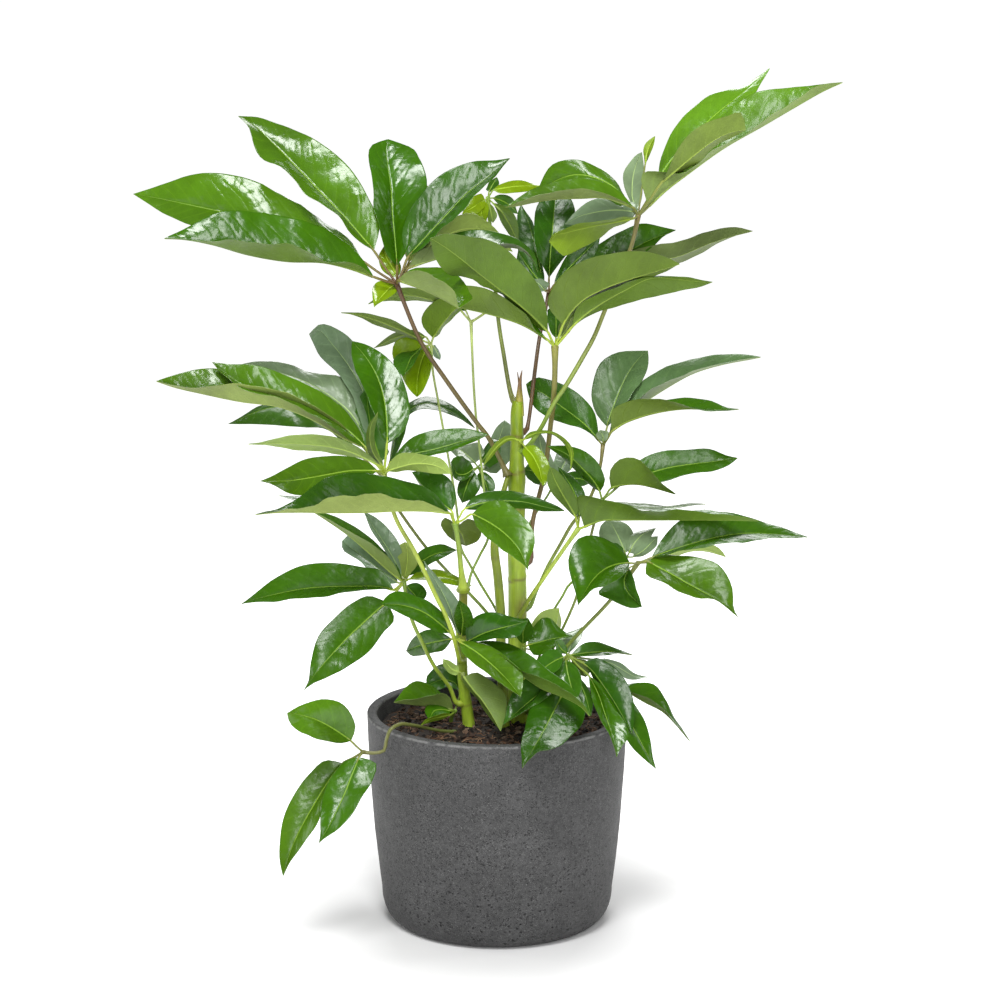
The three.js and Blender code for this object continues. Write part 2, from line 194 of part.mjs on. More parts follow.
    petiole: [[-31.1, -38, 373.8, 1.4], [-27.4, -30, 387.1, 1.4], [-18, -16, 404.6, 1.4], [-9.5, -4, 420.4, 1.4], [-10.6, 2, 444.1, 1.3], [-13.8, 6, 470.5, 1.3], [-19.1, 14, 519.8, 1.3], [-22.3, 19, 548, 1.3], [-24.4, 22, 576.6, 1.3], [-26.4, 24, 620.2, 1.3], [-27.4, 25, 647.9, 1.6]],
    leaflets: [
      { rib: [[-42.2,22,665.3],[-51.5,18.7,668],[-64.5,12.9,672],[-81,4.7,677.7],[-98,-4.1,680.6],[-114.6,-13.3,679.4],[-126.9,-20.7,675.9],[-133.9,-25,673.7]],
        right: [[-52,24,665.5],[-65,21.9,668.4],[-81.7,14.9,671.4],[-97.7,5.2,672.8],[-114.2,-6.4,674.8],[-126.8,-17.1,674.2]],
        left: [[-51,13.5,671.5],[-63.4,4.3,678.6],[-80.4,-5.2,686.8],[-97.6,-13.3,689.1],[-115.6,-20.1,685.1],[-127.5,-24.1,678.7]] },
      { rib: [[-32.8,30,658.9],[-35.5,32.5,661.7],[-39.3,36.8,665.4],[-43.8,42.9,670.5],[-48.3,49.5,675.7],[-52.5,56.3,681],[-55.8,61.8,685.1],[-57.7,65,687.5]],
        right: [[-29.8,32.9,664.2],[-32.7,37.3,668.9],[-36.7,43.6,674.8],[-41.9,50.1,679.8],[-48.2,57.1,683.8],[-54.3,62.7,686.1]],
        left: [[-37.5,29.6,659.7],[-42.4,31.9,663],[-48.1,37.4,667.9],[-52.6,44.9,673.2],[-56.5,53.5,678.9],[-57.2,60.4,684.4]] },
      { rib: [[-12.6,28.5,657],[-7.8,36.5,658.8],[-0.9,50.4,661.1],[8.7,70.2,662.5],[18.9,91.4,662.5],[29.4,113.6,661],[37.8,131.3,659.1],[42.7,141.7,658]],
        right: [[-6.5,42.7,655],[0.8,61,654.9],[10.2,82.6,655.5],[19.9,102.8,656],[30,121.9,656.7],[38.1,135.6,657.4]],
        left: [[-9.4,43.4,660.2],[-3.2,62.1,663.6],[6.7,84.1,666.8],[17.9,104.2,666.4],[29.2,122.8,663.7],[37.9,135.9,660.1]] },
    ],
  },
  {
    name: 'leaf_small_hanging', colour: 0x7d9a24,
    petiole: [[3.2, 6, 326, 1.6], [0, 6, 337, 1.5], [-18.2, 5, 369.2, 1.5], [-28.8, 5, 388.9, 1.4], [-38.4, 7, 407.1, 1.4], [-41.6, 10, 437, 1.3], [-45.8, 16, 468.5, 1.3], [-52.2, 22, 504.2, 1.2], [-57.5, 26, 533.9, 1.2], [-62.8, 28, 563.8, 1.2], [-68, 30, 593.6, 1.2], [-70, 30, 623.6, 1.5]],
    leaflets: [
      { rib: [[-67.7,26.7,630.5],[-64.7,23.9,635.8],[-60.4,19,643.3],[-54.1,12.1,652.4],[-47.3,4.7,661.2],[-40,-3.1,669.4],[-35,-9.3,676.4],[-32.2,-12.9,680.5]],
        right: [[-76.3,24.2,639.8],[-79.6,19.7,651.6],[-73.7,13.2,664.5],[-62.9,6,673.9],[-50.9,-1.9,680],[-40.5,-8.6,682.2]],
        left: [[-62.2,31.7,632.5],[-57.5,32.3,638.9],[-51,27.6,647.6],[-44,19,656.4],[-36.3,7.3,665.5],[-33.6,-4,674.8]] },
      { rib: [[-77.3,25,627.6],[-85.6,23.9,632],[-97.3,22.1,638],[-112.6,19.5,645],[-128.1,16.7,651.5],[-144,13.7,656.7],[-156.7,11.4,659],[-164,10,660]],
        right: [[-86.8,28.4,628.1],[-98.8,29.8,632.9],[-114.7,28.5,639.3],[-130,25,645.7],[-144.9,19.9,653.5],[-156.9,14.6,658]],
        left: [[-84.3,19.4,634.9],[-95.2,14.4,643.1],[-109.8,10.7,652.4],[-126.2,8.3,657],[-143.1,7.5,659.8],[-156.3,8.2,660.3]] },
      { rib: [[-75.3,33,630.7],[-81.1,34.9,631.5],[-89.3,38.2,632.6],[-99.9,43,631.2],[-110.2,48,627.5],[-120,53.3,622.1],[-127.5,57.5,617.5],[-131.8,60,614.9]],
        right: [[-81.1,35.3,626.5],[-88.8,41.4,625.7],[-98.7,48.5,624.8],[-108.8,53.7,622.3],[-118.8,57.5,618.3],[-127.1,59.7,616]],
        left: [[-80.2,32.2,635.1],[-88.3,33.4,638.3],[-100.2,36.9,637.3],[-111,42.2,632.6],[-120.6,49.1,625.5],[-127.7,55.3,618.8]] },
      { rib: [[-73.1,26,622.1],[-75.3,23.8,617.2],[-78.4,20,610.5],[-81.4,14.6,601.8],[-83.5,8.8,592.7],[-84.3,2.7,583.6],[-84.2,-2.2,576.5],[-84.1,-5,572.5]],
        right: [[-91.2,25.3,630.8],[-105.8,21.7,629],[-110,11.2,615.7],[-103.8,-2.8,602.4],[-97.1,-10.3,588.6],[-89.8,-9.2,578.1]],
        left: [[-69.6,12.2,617.7],[-68.8,0.5,611.6],[-68.9,-8.2,602.8],[-71.1,-12.4,593.2],[-74.4,-12.6,584.2],[-79.7,-9.9,577]] },
      { rib: [[-79.2,18,622.2],[-81.9,15.3,619.9],[-85.5,10.6,616.8],[-90.2,4,612.9],[-92.8,-3.1,607.7],[-95.2,-10.6,602.5],[-97.1,-16.5,598.5],[-98.2,-20,596.2]],
        right: [[-83.8,21,619.9],[-90.3,19.7,617.6],[-101.4,11.3,616.2],[-108.3,-0.6,612.5],[-107.7,-10.4,606.2],[-101.9,-16.5,599.8]],
        left: [[-80.6,9.6,619.8],[-82.6,0.9,616],[-85.8,-7.4,611.7],[-89,-13.6,607.3],[-93,-18.1,602.5],[-96.3,-20.3,598.7]] },
      { rib: [[-68,34,620.9],[-67.1,35.1,619.3],[-65.8,37.1,617.1],[-64.2,39.9,614.1],[-63.1,42.9,610.9],[-62.1,46,607.5],[-61.4,48.5,604.9],[-60.9,50,603.4]],
        right: [[-68.5,33.8,618.8],[-68.9,35.6,615.8],[-68.2,39.1,612.3],[-67.4,42.4,608.8],[-65,45.6,606.2],[-62.4,48.1,604.5]],
        left: [[-66.3,36.2,622],[-64.6,39.5,619.2],[-62.3,43.2,615.8],[-60.9,45.8,612],[-59.8,47.9,608.2],[-60.5,49.5,605.1]] },
    ],
  },
  {
    name: 'leaf_left_tier_front', colour: 0x3a7a1c,
    petiole: [[-39.3, -31.5, 292.6, 2.2], [-42.1, -54, 310.5, 2.3], [-46, -67, 330.1, 2.3], [-53.2, -74, 352.3, 2.3], [-63.4, -80, 375.2, 2.3], [-73.6, -81, 397.8, 2.3], [-87, -80, 425.2, 2.3], [-103.5, -78, 454.5, 2.2], [-112.7, -76, 482.6, 2.2], [-116.7, -75, 504.6, 2.6]],
    leaflets: [
      { rib: [[-113.5,-70,534.1],[-113.6,-65.4,545.1],[-114.6,-57.4,560.2],[-117.8,-46,579.3],[-124.2,-33.9,597.7],[-134.7,-21.2,614.4],[-145.4,-10.9,625.7],[-151.9,-5,632]],
        right: [[-99.5,-65.3,543],[-90.8,-56.7,559.8],[-93.2,-44.6,583.1],[-103.2,-31.9,605.5],[-121.7,-19.8,622.3],[-140,-10.7,630.3]],
        left: [[-121.1,-74.3,545.1],[-124.8,-72.5,560.5],[-131.6,-62.5,578],[-140.7,-45.4,593.5],[-148.8,-25.7,607.8],[-152.6,-11.9,621.7]] },
      { rib: [[-135,-75,530.8],[-148,-73.9,544],[-168.7,-72.1,559.4],[-197.5,-69.5,575.6],[-229.5,-66.7,584.4],[-261.2,-63.7,594.3],[-282.5,-61.4,608.6],[-293.6,-60,618.2]],
        right: [[-142.2,-64,547.1],[-158.9,-55.6,569.5],[-189,-54.3,589.6],[-220.8,-58.3,605.4],[-251,-59.6,615.2],[-277.3,-59.7,616.2]],
        left: [[-150.5,-84.5,541],[-171.4,-89.4,556.8],[-198.7,-89.2,574.7],[-229.6,-84.5,585.9],[-262.2,-77,593.9],[-283.5,-68.2,608]] },
      { rib: [[-139.5,-67,531.5],[-159.9,-66.5,541.1],[-186.8,-65.6,557.6],[-223.9,-64.4,572.5],[-264.2,-63.1,577.8],[-304,-61.7,585.6],[-334.8,-60.6,592.6],[-351.8,-60,598.4]],
        right: [[-153.4,-57.2,551.2],[-177.5,-50.4,572.7],[-217,-47.4,593.5],[-258.7,-43.8,602.1],[-298.8,-51.4,610.5],[-332.2,-57.5,604.5]],
        left: [[-155.1,-75.8,550.6],[-179.8,-81.6,572.2],[-219.4,-82.7,590.2],[-258.8,-78.7,598.5],[-300.2,-74.3,594.6],[-333.7,-67.6,595.3]] },
      { rib: [[-120.5,-81,513.1],[-132.6,-83.4,520.4],[-150.2,-87.6,529.5],[-174.1,-93.5,536.4],[-198.7,-99.9,539.9],[-223.3,-106.5,541.9],[-242.3,-111.9,542.3],[-253.1,-115,542.4]],
        right: [[-133.6,-76.3,517.6],[-152.1,-76,522.7],[-176.1,-80.3,527],[-200.4,-87.7,530.9],[-224.5,-97.5,536.1],[-242.6,-107.2,540.1]],
        left: [[-130.3,-89.9,525.8],[-146.7,-98.6,539],[-171.6,-106.2,548.7],[-196.8,-111.5,552.2],[-222.2,-115.4,548.3],[-241.5,-116.6,544.3]] },
      { rib: [[-122.2,-90,509.6],[-134.1,-95.3,511.1],[-150.7,-104.5,512.5],[-171.5,-117.7,511.5],[-192.1,-131.7,510.3],[-212.5,-146.4,510.3],[-228.3,-158.1,512.5],[-237.3,-165,513.8]],
        right: [[-133,-89.3,518.8],[-150.5,-96.2,525.6],[-173.3,-110.9,529.2],[-194.4,-126.8,528.9],[-213.7,-141.7,521.7],[-228.3,-154.5,515.8]],
        left: [[-132.9,-102.4,504.9],[-148.5,-115.3,501.5],[-169,-127.1,495.9],[-190.6,-137.8,493.6],[-211.9,-151.3,499.1],[-227.7,-161.7,510.7]] },
      { rib: [[-108.5,-70,516.2],[-99.1,-69.3,520.9],[-84.9,-68.1,523.7],[-66.6,-66.3,527.3],[-48.5,-64.4,532.1],[-30.4,-62.5,537],[-16.3,-60.9,540.4],[-8.2,-60,542.3]],
        right: [[-98,-76.3,520.6],[-83.9,-80,522.9],[-64.7,-80.6,524.7],[-46.2,-77.9,528],[-29,-72.1,534.9],[-15.7,-65.7,539.8]],
        left: [[-102.2,-64.9,526],[-89.8,-63.8,538.4],[-71.8,-63.1,545.9],[-53,-61.6,548.4],[-33.1,-59.7,548.7],[-17.2,-58.7,545]] },
      { rib: [[-112,-87,509],[-105.3,-91.5,512.1],[-95.8,-99.2,516.3],[-83.5,-110.2,521.1],[-71,-122,523.2],[-59.1,-134.3,522.8],[-50.8,-144.2,519.8],[-46.1,-150,518.1]],
        right: [[-109.1,-90.2,519.7],[-99.8,-98.6,529.2],[-85.4,-113.6,533],[-69.8,-126.9,532.2],[-55.5,-136,530.7],[-48.4,-143.9,523.7]],
        left: [[-105.1,-87.2,508.1],[-95.7,-91.8,510.3],[-84.2,-102.4,511.8],[-72.9,-116.4,513.3],[-61.8,-131.6,514.7],[-51.9,-142.6,516.6]] },
      { rib: [[-117.5,-79,511.7],[-121.2,-79.8,516.9],[-126.3,-81.1,524.3],[-129.8,-83.1,535.4],[-130.6,-85.1,546.9],[-128.4,-87.3,558.4],[-124.1,-89,566.5],[-121.7,-90,571.1]],
        right: [[-123.7,-76.8,514.6],[-130.2,-75.9,521.7],[-134.3,-76.7,533.2],[-134.6,-79.1,545.6],[-131.2,-82.8,557.9],[-125.1,-86.7,566.2]],
        left: [[-118,-76.4,517.6],[-122.4,-75.4,524.3],[-125.3,-76.7,534.8],[-126.1,-79.4,545.6],[-124.6,-83.6,556.5],[-122.4,-87.4,565.3]] },
    ],
  },
  {
    name: 'leaf_left_tier_back', colour: 0x4f6a4c,
    petiole: [[8.6, -2, 291.5, 1.8], [3.2, 3, 315.7, 1.8], [-10.7, 8, 335.4, 1.8], [-32.2, 10, 359.2, 1.8], [-52.5, 12, 379.7, 1.7], [-77.1, 14, 407.7, 1.7], [-90.9, 14, 426.4, 1.7], [-103.6, 14, 444.9, 1.7], [-116.3, 15, 464.3, 1.7], [-120.4, 15, 481.7, 2]],
    leaflets: [
      { rib: [[-129,25,515.6],[-131.5,28.5,530.3],[-135,34.7,550.6],[-145.3,43.4,574.9],[-159.4,52.8,597.5],[-176.4,62.6,618.2],[-191.7,70.4,632.5],[-202.3,75,627.8]],
        right: [[-121.1,33.9,530.5],[-121.5,45.2,553.5],[-130,54.6,582.4],[-144.3,59.6,608.8],[-165.7,66.4,631.1],[-190.9,72.6,638.4]],
        left: [[-138.4,20.5,528.7],[-146.4,20.7,547.2],[-155.1,26.7,570.5],[-168.6,39.5,589.8],[-188.6,56.2,605],[-196.9,67.9,617.6]] },
      { rib: [[-133.1,20,514.4],[-142.2,22.5,528.7],[-155.1,26.8,548.7],[-178.7,32.9,567.8],[-205.8,39.5,582.2],[-235.5,46.3,591],[-259.4,51.8,595.9],[-273.1,55,598.3]],
        right: [[-131.4,27.4,533.8],[-141.2,35.4,559.9],[-163.6,45.4,583.7],[-199.5,54.3,590],[-231.8,59.2,599],[-258.5,57.9,600.9]],
        left: [[-151,17.6,519.5],[-165.2,14.3,536.9],[-186.6,14.7,556.5],[-210.8,21.3,571.9],[-237.8,32.9,584],[-260.3,45.1,593]] },
      { rib: [[-147.6,10,510.8],[-159.3,9.6,521.4],[-176.1,9,535.6],[-199.3,8.2,551.6],[-225.7,7.2,560.4],[-252.9,6.2,555.5],[-272.9,5.5,546.5],[-284.6,5,541.9]],
        right: [[-157.4,18.4,523.2],[-174.3,23.6,537.6],[-197.7,25.4,555.7],[-225.9,22.9,563.1],[-254.8,17.5,557.2],[-273.9,11.1,547.1]],
        left: [[-160.4,0.9,519.6],[-174.9,-4.7,535.9],[-202.3,-5.9,539.9],[-226.8,-0.4,541],[-249.9,2.8,541.7],[-271.5,2.4,542.3]] },
      { rib: [[-123.6,18,498.5],[-126,19.2,506.1],[-129.4,21.3,516.7],[-132.8,24.3,530.4],[-135.7,27.4,544.3],[-137.6,30.8,558.4],[-138.9,33.4,569.3],[-139.6,35,575.6]],
        right: [[-115.4,18.3,506.5],[-118,16.7,518],[-121.1,17,532.6],[-124,20.8,546.7],[-129.5,25.9,560.2],[-135.9,30.5,570.2]],
        left: [[-132.9,16.6,503],[-140.1,17.3,513.8],[-147.4,21.7,527.6],[-151.6,26.2,542.1],[-149.6,30,557.7],[-144.7,33.2,569.4]] },
      { rib: [[-115.3,23,493.2],[-112.1,25.6,507.1],[-107.4,30.2,526.4],[-96.1,36.6,549.1],[-74.5,43.6,557.5],[-50.2,50.8,547.8],[-33.4,56.6,535.1],[-23.7,60,527.8]],
        right: [[-107.3,17.8,506.7],[-99.4,16.9,525.1],[-93.8,21.1,548.2],[-73.6,28.6,553.9],[-50.6,40.2,546.7],[-33.4,51.4,535.4]],
        left: [[-113.8,33.3,506.7],[-110,43.3,526.2],[-101.5,52.3,551.4],[-74.9,58.6,561.7],[-47.6,62.1,552.5],[-31.5,62.2,537.1]] },
      { rib: [[-126.8,15,479.5],[-136.9,16.4,474.3],[-151,18.9,466.9],[-169.9,22.4,459.3],[-189.8,26.1,454.9],[-209.8,30,454.8],[-225.3,33.2,457.3],[-234.1,35,458.7]],
        right: [[-138.9,20.3,482.3],[-153,28.3,474.8],[-171.2,35.4,466.1],[-190.1,38.5,460.4],[-209.6,38.8,457.5],[-225.3,37.4,458]],
        left: [[-136.4,10.3,474.5],[-150,8.3,466.1],[-168.2,9.7,456.3],[-189,14.6,453.3],[-209.4,21.7,454.1],[-225,29.1,457.2]] },
    ],
  },
  {
    name: 'leaf_middle_front', colour: 0x3a7424,
    petiole: [[-35.9, -46, 381.1, 3.3], [-37.7, -51, 397.3, 2.9], [-39.6, -56, 419.9, 2.7], [-41.6, -59, 436.6, 2.6], [-43.7, -60, 447.5, 3]],
    leaflets: [
      { rib: [[-48.6,-72.9,461.9],[-68.5,-83.4,466.5],[-96.1,-101.6,470.8],[-130.9,-127.4,474.5],[-165.1,-155.1,479.7],[-198.4,-184,486.1],[-223.8,-207.3,490.1],[-238.1,-220.8,491.2]],
        right: [[-64.3,-72.4,482.1],[-96.5,-84.8,499.1],[-139.5,-106.3,510.4],[-170.8,-137.8,512.6],[-198.8,-168,497.5],[-224.1,-197,490.2]],
        left: [[-67.7,-96.7,475.9],[-95,-123.9,487.4],[-130.3,-152.7,498.1],[-163.5,-178.9,499.3],[-196.9,-202.7,493.4],[-223.1,-216.9,492.7]] },
      { rib: [[-25.8,-75,461.3],[-18,-78.9,458.5],[-7.5,-85.7,454.2],[5.1,-95.3,447.4],[16.1,-105.6,439],[24.7,-116.3,428.7],[29.2,-125,419.6],[31.8,-130,414.4]],
        right: [[-22.6,-89.1,454.8],[-15.6,-102.7,447.4],[-5.3,-115.1,440.2],[5.9,-123.8,434.2],[18.1,-129.2,427.7],[27.3,-131.2,419.9]],
        left: [[-13.9,-76,472.5],[4.5,-81,477.1],[21.7,-91.2,467.5],[36.3,-102.9,452.7],[38.5,-113.3,436.1],[32.8,-121.5,421.5]] },
      { rib: [[-46.9,-55,460.3],[-51.6,-53.2,463.5],[-58.2,-50.2,467.9],[-66.2,-45.8,474.2],[-73.9,-41.1,480.7],[-81.4,-36.2,487.5],[-86.3,-32.3,493.5],[-89.1,-30,496.9]],
        right: [[-42.9,-49.5,469.8],[-43.9,-46.2,481],[-48.7,-42.2,491],[-58,-37.6,496.8],[-70.1,-33.4,498.8],[-81.5,-30.5,498.2]],
        left: [[-52.6,-45.1,460.4],[-59.9,-36.3,463],[-68.7,-29.7,468.4],[-76.4,-26.1,475.4],[-82.6,-25.2,484.3],[-86.8,-26.7,492]] },
      { rib: [[-34.3,-55,462.4],[-24.2,-53.9,466.1],[-9.7,-52.1,469.3],[9.6,-49.5,470],[29,-46.7,468.2],[48,-43.7,462.9],[62.9,-41.4,459.2],[71.4,-40,457.2]],
        right: [[-23.4,-49.3,460.2],[-8.7,-44,460.3],[10.1,-39.9,460.4],[28.6,-37.8,459.2],[47.2,-37.3,456.2],[62.6,-38,456.6]],
        left: [[-27.6,-49.2,471.5],[-13,-43.3,478],[8.9,-37.9,478.9],[28.9,-35.4,474.3],[48.9,-35.5,467.9],[63.7,-37.5,462.2]] },
      { rib: [[-41.8,-50,442.2],[-40.5,-47.5,439.8],[-38.8,-43.2,436.3],[-36.6,-37.1,431.6],[-35.4,-30.5,426.3],[-34.3,-23.7,420.8],[-33.3,-18.2,416.6],[-32.8,-15,414.1]],
        right: [[-32.4,-45.5,449.1],[-26.1,-41.1,448],[-20.3,-35.5,442.9],[-16.6,-29.4,433.2],[-18.7,-22.8,424.6],[-24,-17.8,418]],
        left: [[-52.2,-45.4,451.1],[-58.9,-39.1,444.1],[-53.3,-28.4,430.7],[-48.4,-19,423.5],[-42.3,-14.4,418.1],[-36.3,-13.3,415.2]] },
    ],
  },
  {
    name: 'leaf_left_low', colour: 0x4a7430,
    petiole: [[-43.3, -15, 241.8, 2.1], [-50.2, -20, 259.8, 2.1], [-66.9, -32, 287.3, 2.1], [-80.3, -41, 318, 2], [-89.6, -45, 340.8, 2], [-94.7, -46, 362.7, 1.9], [-97.8, -45, 382, 2.2]],
    leaflets: [
      { rib: [[-108.4,-45,373.3],[-124.4,-43.9,376.3],[-147.4,-42.1,376.4],[-177,-39.5,375.4],[-206.6,-36.7,372.3],[-235.9,-33.7,365.6],[-258.5,-31.4,359.4],[-271.1,-30,354.5]],
        right: [[-118.8,-40.3,391],[-143.8,-37.3,396.7],[-175.9,-33.8,400.2],[-208.6,-30.9,395.8],[-238.6,-28.1,379.5],[-259.6,-27.2,362.3]],
        left: [[-124,-53.1,376.6],[-146.8,-57.8,375.5],[-175.4,-58.8,370.1],[-204.7,-54.6,367.3],[-233.5,-47,360.6],[-257.3,-37.6,358.8]] },
      { rib: [[-115.4,-55,362.7],[-125.1,-59.6,355.5],[-138.1,-67.6,345.1],[-154.4,-79,332],[-169.5,-91.1,318],[-183.7,-103.8,303.5],[-194,-114.1,291.9],[-199.3,-120,284.9]],
        right: [[-132.5,-56.5,369.7],[-151.1,-63.1,364],[-170.2,-74.3,349.7],[-185.9,-84.9,333.7],[-193,-95.8,309.5],[-195.5,-108.3,291.8]],
        left: [[-107.6,-61,347],[-118.9,-69.7,333.4],[-132.9,-82.7,316.8],[-151.8,-97.4,305.6],[-172.7,-111.8,298.1],[-189.8,-119.5,291.3]] },
      { rib: [[-100.1,-39,381.6],[-109.6,-36.9,388.8],[-122.3,-33.4,399.4],[-138.4,-28.3,413.2],[-155.2,-22.9,426.3],[-173.2,-17.2,437.9],[-187.6,-12.7,446.4],[-195.9,-10,451]],
        right: [[-103.3,-31,392.5],[-113.9,-23.6,405.3],[-130.6,-16,419.9],[-149.1,-11.2,432.9],[-168.7,-8.9,444],[-185.6,-8.7,449.2]],
        left: [[-105,-41.4,394.3],[-114.8,-41.1,408.8],[-132.1,-38.7,421.9],[-151.9,-33.6,431.7],[-170.7,-25,441.8],[-186.4,-16.6,448.1]] },
      { rib: [[-104.6,-30,377.4],[-110.8,-26.1,380.9],[-119.4,-19.3,385.6],[-130.4,-9.7,391.6],[-141.4,0.6,397.8],[-152.6,11.3,403.7],[-161.4,20,408.2],[-166.5,25,410.8]],
        right: [[-107.1,-21.6,384.2],[-115.4,-11.4,390],[-126.4,-0.8,397.8],[-137.6,7.1,406],[-149.1,14.9,413.6],[-159.2,22.2,418.2]],
        left: [[-113.2,-30.4,376.6],[-123.4,-27.1,380],[-135.3,-19.5,386.8],[-144.9,-8.1,395.2],[-157.1,5.8,399.8],[-166.1,17.8,404.3]] },
      { rib: [[-100.3,-33,383.5],[-103.6,-30,390.4],[-108.3,-24.7,399.7],[-115.6,-17.1,411],[-123.7,-9.1,421.8],[-131.9,-0.7,432.5],[-138.2,6.1,440.9],[-141.8,10,445.7]],
        right: [[-99.1,-26.5,391.2],[-99.4,-20.7,402.9],[-104,-14.5,417.2],[-112.9,-7.2,428.6],[-123.9,0.8,438],[-134.4,6.8,443.7]],
        left: [[-105,-34.8,390.5],[-110.9,-32.8,400],[-118.6,-26.7,411.3],[-126.8,-18,421.7],[-134.4,-7.2,432.4],[-139.1,2.8,441]] },
      { rib: [[-98,-37,383.3],[-97.2,-35.1,386.9],[-96,-31.8,391.7],[-94.9,-27,397.9],[-94.5,-22,404.1],[-95.1,-16.7,410.1],[-96.7,-12.5,414.7],[-97.6,-10,417.4]],
        right: [[-100.5,-31.4,386.4],[-103.9,-26.9,391.6],[-105.6,-23.8,398.4],[-106.8,-21.2,405.3],[-105.2,-16.9,411],[-103,-12.6,415.1]],
        left: [[-93.8,-31.4,385],[-88.7,-26.7,389.1],[-84.4,-23.5,396],[-83.8,-20.7,403.8],[-87.6,-15.8,411.8],[-93.6,-11.5,415.7]] },
      { rib: [[-92.7,-40,384],[-86,-38.2,384.6],[-76.6,-35.2,385.3],[-64.5,-30.8,384.5],[-52.3,-26.1,382.2],[-40.7,-21.2,377.3],[-31.7,-17.3,373.1],[-26.5,-15,370.6]],
        right: [[-85.8,-42.4,383.5],[-76.3,-42.3,383.5],[-64.5,-39.2,381.5],[-53,-33.9,377.8],[-41.9,-26.7,373.5],[-32.2,-19.9,371.7]],
        left: [[-87.2,-34.4,388.3],[-77.5,-28.6,390.1],[-64.7,-22.8,390.5],[-51.9,-18.5,387],[-40,-15.6,379.6],[-31.4,-14.5,373.7]] },
      { rib: [[-94,-30,385],[-90.1,-26.8,389],[-84.7,-21.3,394.4],[-76.2,-13.4,399.4],[-66.6,-5,402.8],[-56.1,3.8,403.5],[-47.7,10.9,403.3],[-42.8,15,403.1]],
        right: [[-87.9,-30.4,387.1],[-80,-27.3,389.8],[-72.4,-20.5,394.7],[-63.7,-11.9,397.4],[-54.6,-1.2,399.7],[-47.1,8.3,402.1]],
        left: [[-92.6,-23.2,390.5],[-89.4,-16.9,398.9],[-81.4,-10.4,407.9],[-70.6,-3.2,411.6],[-57.3,5.6,411.7],[-48.1,11.6,406.4]] },
      { rib: [[-95.9,-40,376.5],[-94.2,-38.2,374.3],[-92,-35.2,371.1],[-89.1,-30.8,367],[-86.5,-26.1,362.4],[-84,-21.2,357.8],[-82,-17.3,354.1],[-80.9,-15,352]],
        right: [[-96.3,-43,373.9],[-96.2,-43.3,369.9],[-93.4,-40.2,365.7],[-90.6,-34.9,361],[-86.2,-27.5,357.3],[-82.8,-20.4,354.2]],
        left: [[-91.2,-35.5,377.9],[-85.5,-32.3,378.1],[-79.8,-28.6,374.9],[-76.3,-24.1,369.7],[-74.7,-19.7,363],[-78,-16.7,356.2]] },
    ],
  },
  {
    name: 'leaf_heart_front', colour: 0x3a7a1e,
    petiole: [[-41.1, -34.5, 310.9, 2.2], [-41.2, -42, 315, 2.2], [-43.2, -50, 322.5, 2.4]],
    leaflets: [
      { rib: [[-49.4,-55,329.2],[-55.3,-58.9,335.9],[-63.8,-65.7,345.2],[-75.5,-75.3,356.1],[-88.6,-85.6,364.2],[-102.3,-96.3,369.8],[-113.2,-105,372.3],[-119.4,-110,373.8]],
        right: [[-50,-55.4,339.8],[-57,-59.1,352.1],[-70.1,-67.5,365.9],[-85.5,-79.6,375.2],[-102.7,-92.3,383.2],[-114,-103.1,380.4]],
        left: [[-58,-63.5,331],[-68.4,-73.3,337.5],[-80.1,-84.4,346.6],[-91.5,-94.5,355.5],[-103.3,-103.4,364.3],[-113.5,-108.7,370.8]] },
      { rib: [[-38.8,-58.8,320.4],[-31.3,-63,316.9],[-21,-70.4,312],[-8.8,-80.9,304.7],[2.7,-92.1,296.8],[13.2,-103.9,288.3],[20.7,-113.3,281.1],[24.9,-118.8,277.1]],
        right: [[-37.6,-67.2,313.1],[-28.9,-79.1,306.9],[-16.8,-92.4,300.1],[-4.2,-103.4,293.2],[8.9,-112.2,286.6],[19.2,-117.4,281]],
        left: [[-28.5,-57.6,320.9],[-14.1,-63.9,320],[1.7,-76.6,315.6],[15.2,-89.4,307.3],[27.1,-101.6,297.3],[26.6,-112.4,284.6]] },
      { rib: [[-28.4,-49.7,315.9],[-15.6,-57.3,310.1],[2.3,-70.5,302.4],[25.1,-89.3,293.5],[46.8,-109.3,283.7],[70.8,-130.3,279.5],[87.7,-147.2,273.6],[95.2,-157,267.5]],
        right: [[-13.7,-65.2,315.7],[5.4,-84.1,311.1],[27.2,-105.5,302],[51.4,-123.3,295.7],[74.3,-140.4,288.4],[89.4,-152.6,276.9]],
        left: [[-10.6,-52,319.8],[11.9,-61.6,319.7],[35.1,-77.5,310.6],[56.5,-96.2,298],[76.2,-119.4,288.3],[89.6,-141.4,275]] },
      { rib: [[-31.6,-50,318.2],[-25.5,-52.5,322.1],[-17,-56.8,327.8],[-5.5,-62.9,333.7],[6.3,-69.5,338.6],[18.1,-76.3,343.4],[27.2,-81.8,347.3],[32.4,-85,349.6]],
        right: [[-23.9,-60.2,321.1],[-13.9,-70.1,325.1],[-1.6,-78.3,329.1],[11.1,-81.8,329.6],[23,-82.8,333.2],[29.2,-84.5,343.4]],
        left: [[-33,-50.5,330.5],[-27,-53.2,342.6],[-14.5,-57.5,351.4],[0.3,-61.6,353],[14.8,-68.1,350.1],[26,-76.7,349.2]] },
      { rib: [[-47.6,-40,318.9],[-52.6,-36.8,317.2],[-59.7,-31.3,314.6],[-68.9,-23.4,310.8],[-78.1,-15,306.6],[-87.1,-6.2,301.7],[-93.9,0.9,296.9],[-97.8,5,294.1]],
        right: [[-53.1,-31.9,320.8],[-61.2,-25.2,323.1],[-71.6,-18.8,324.1],[-81.7,-11.9,319.2],[-90.6,-3.8,309.5],[-95.6,2.6,299.8]],
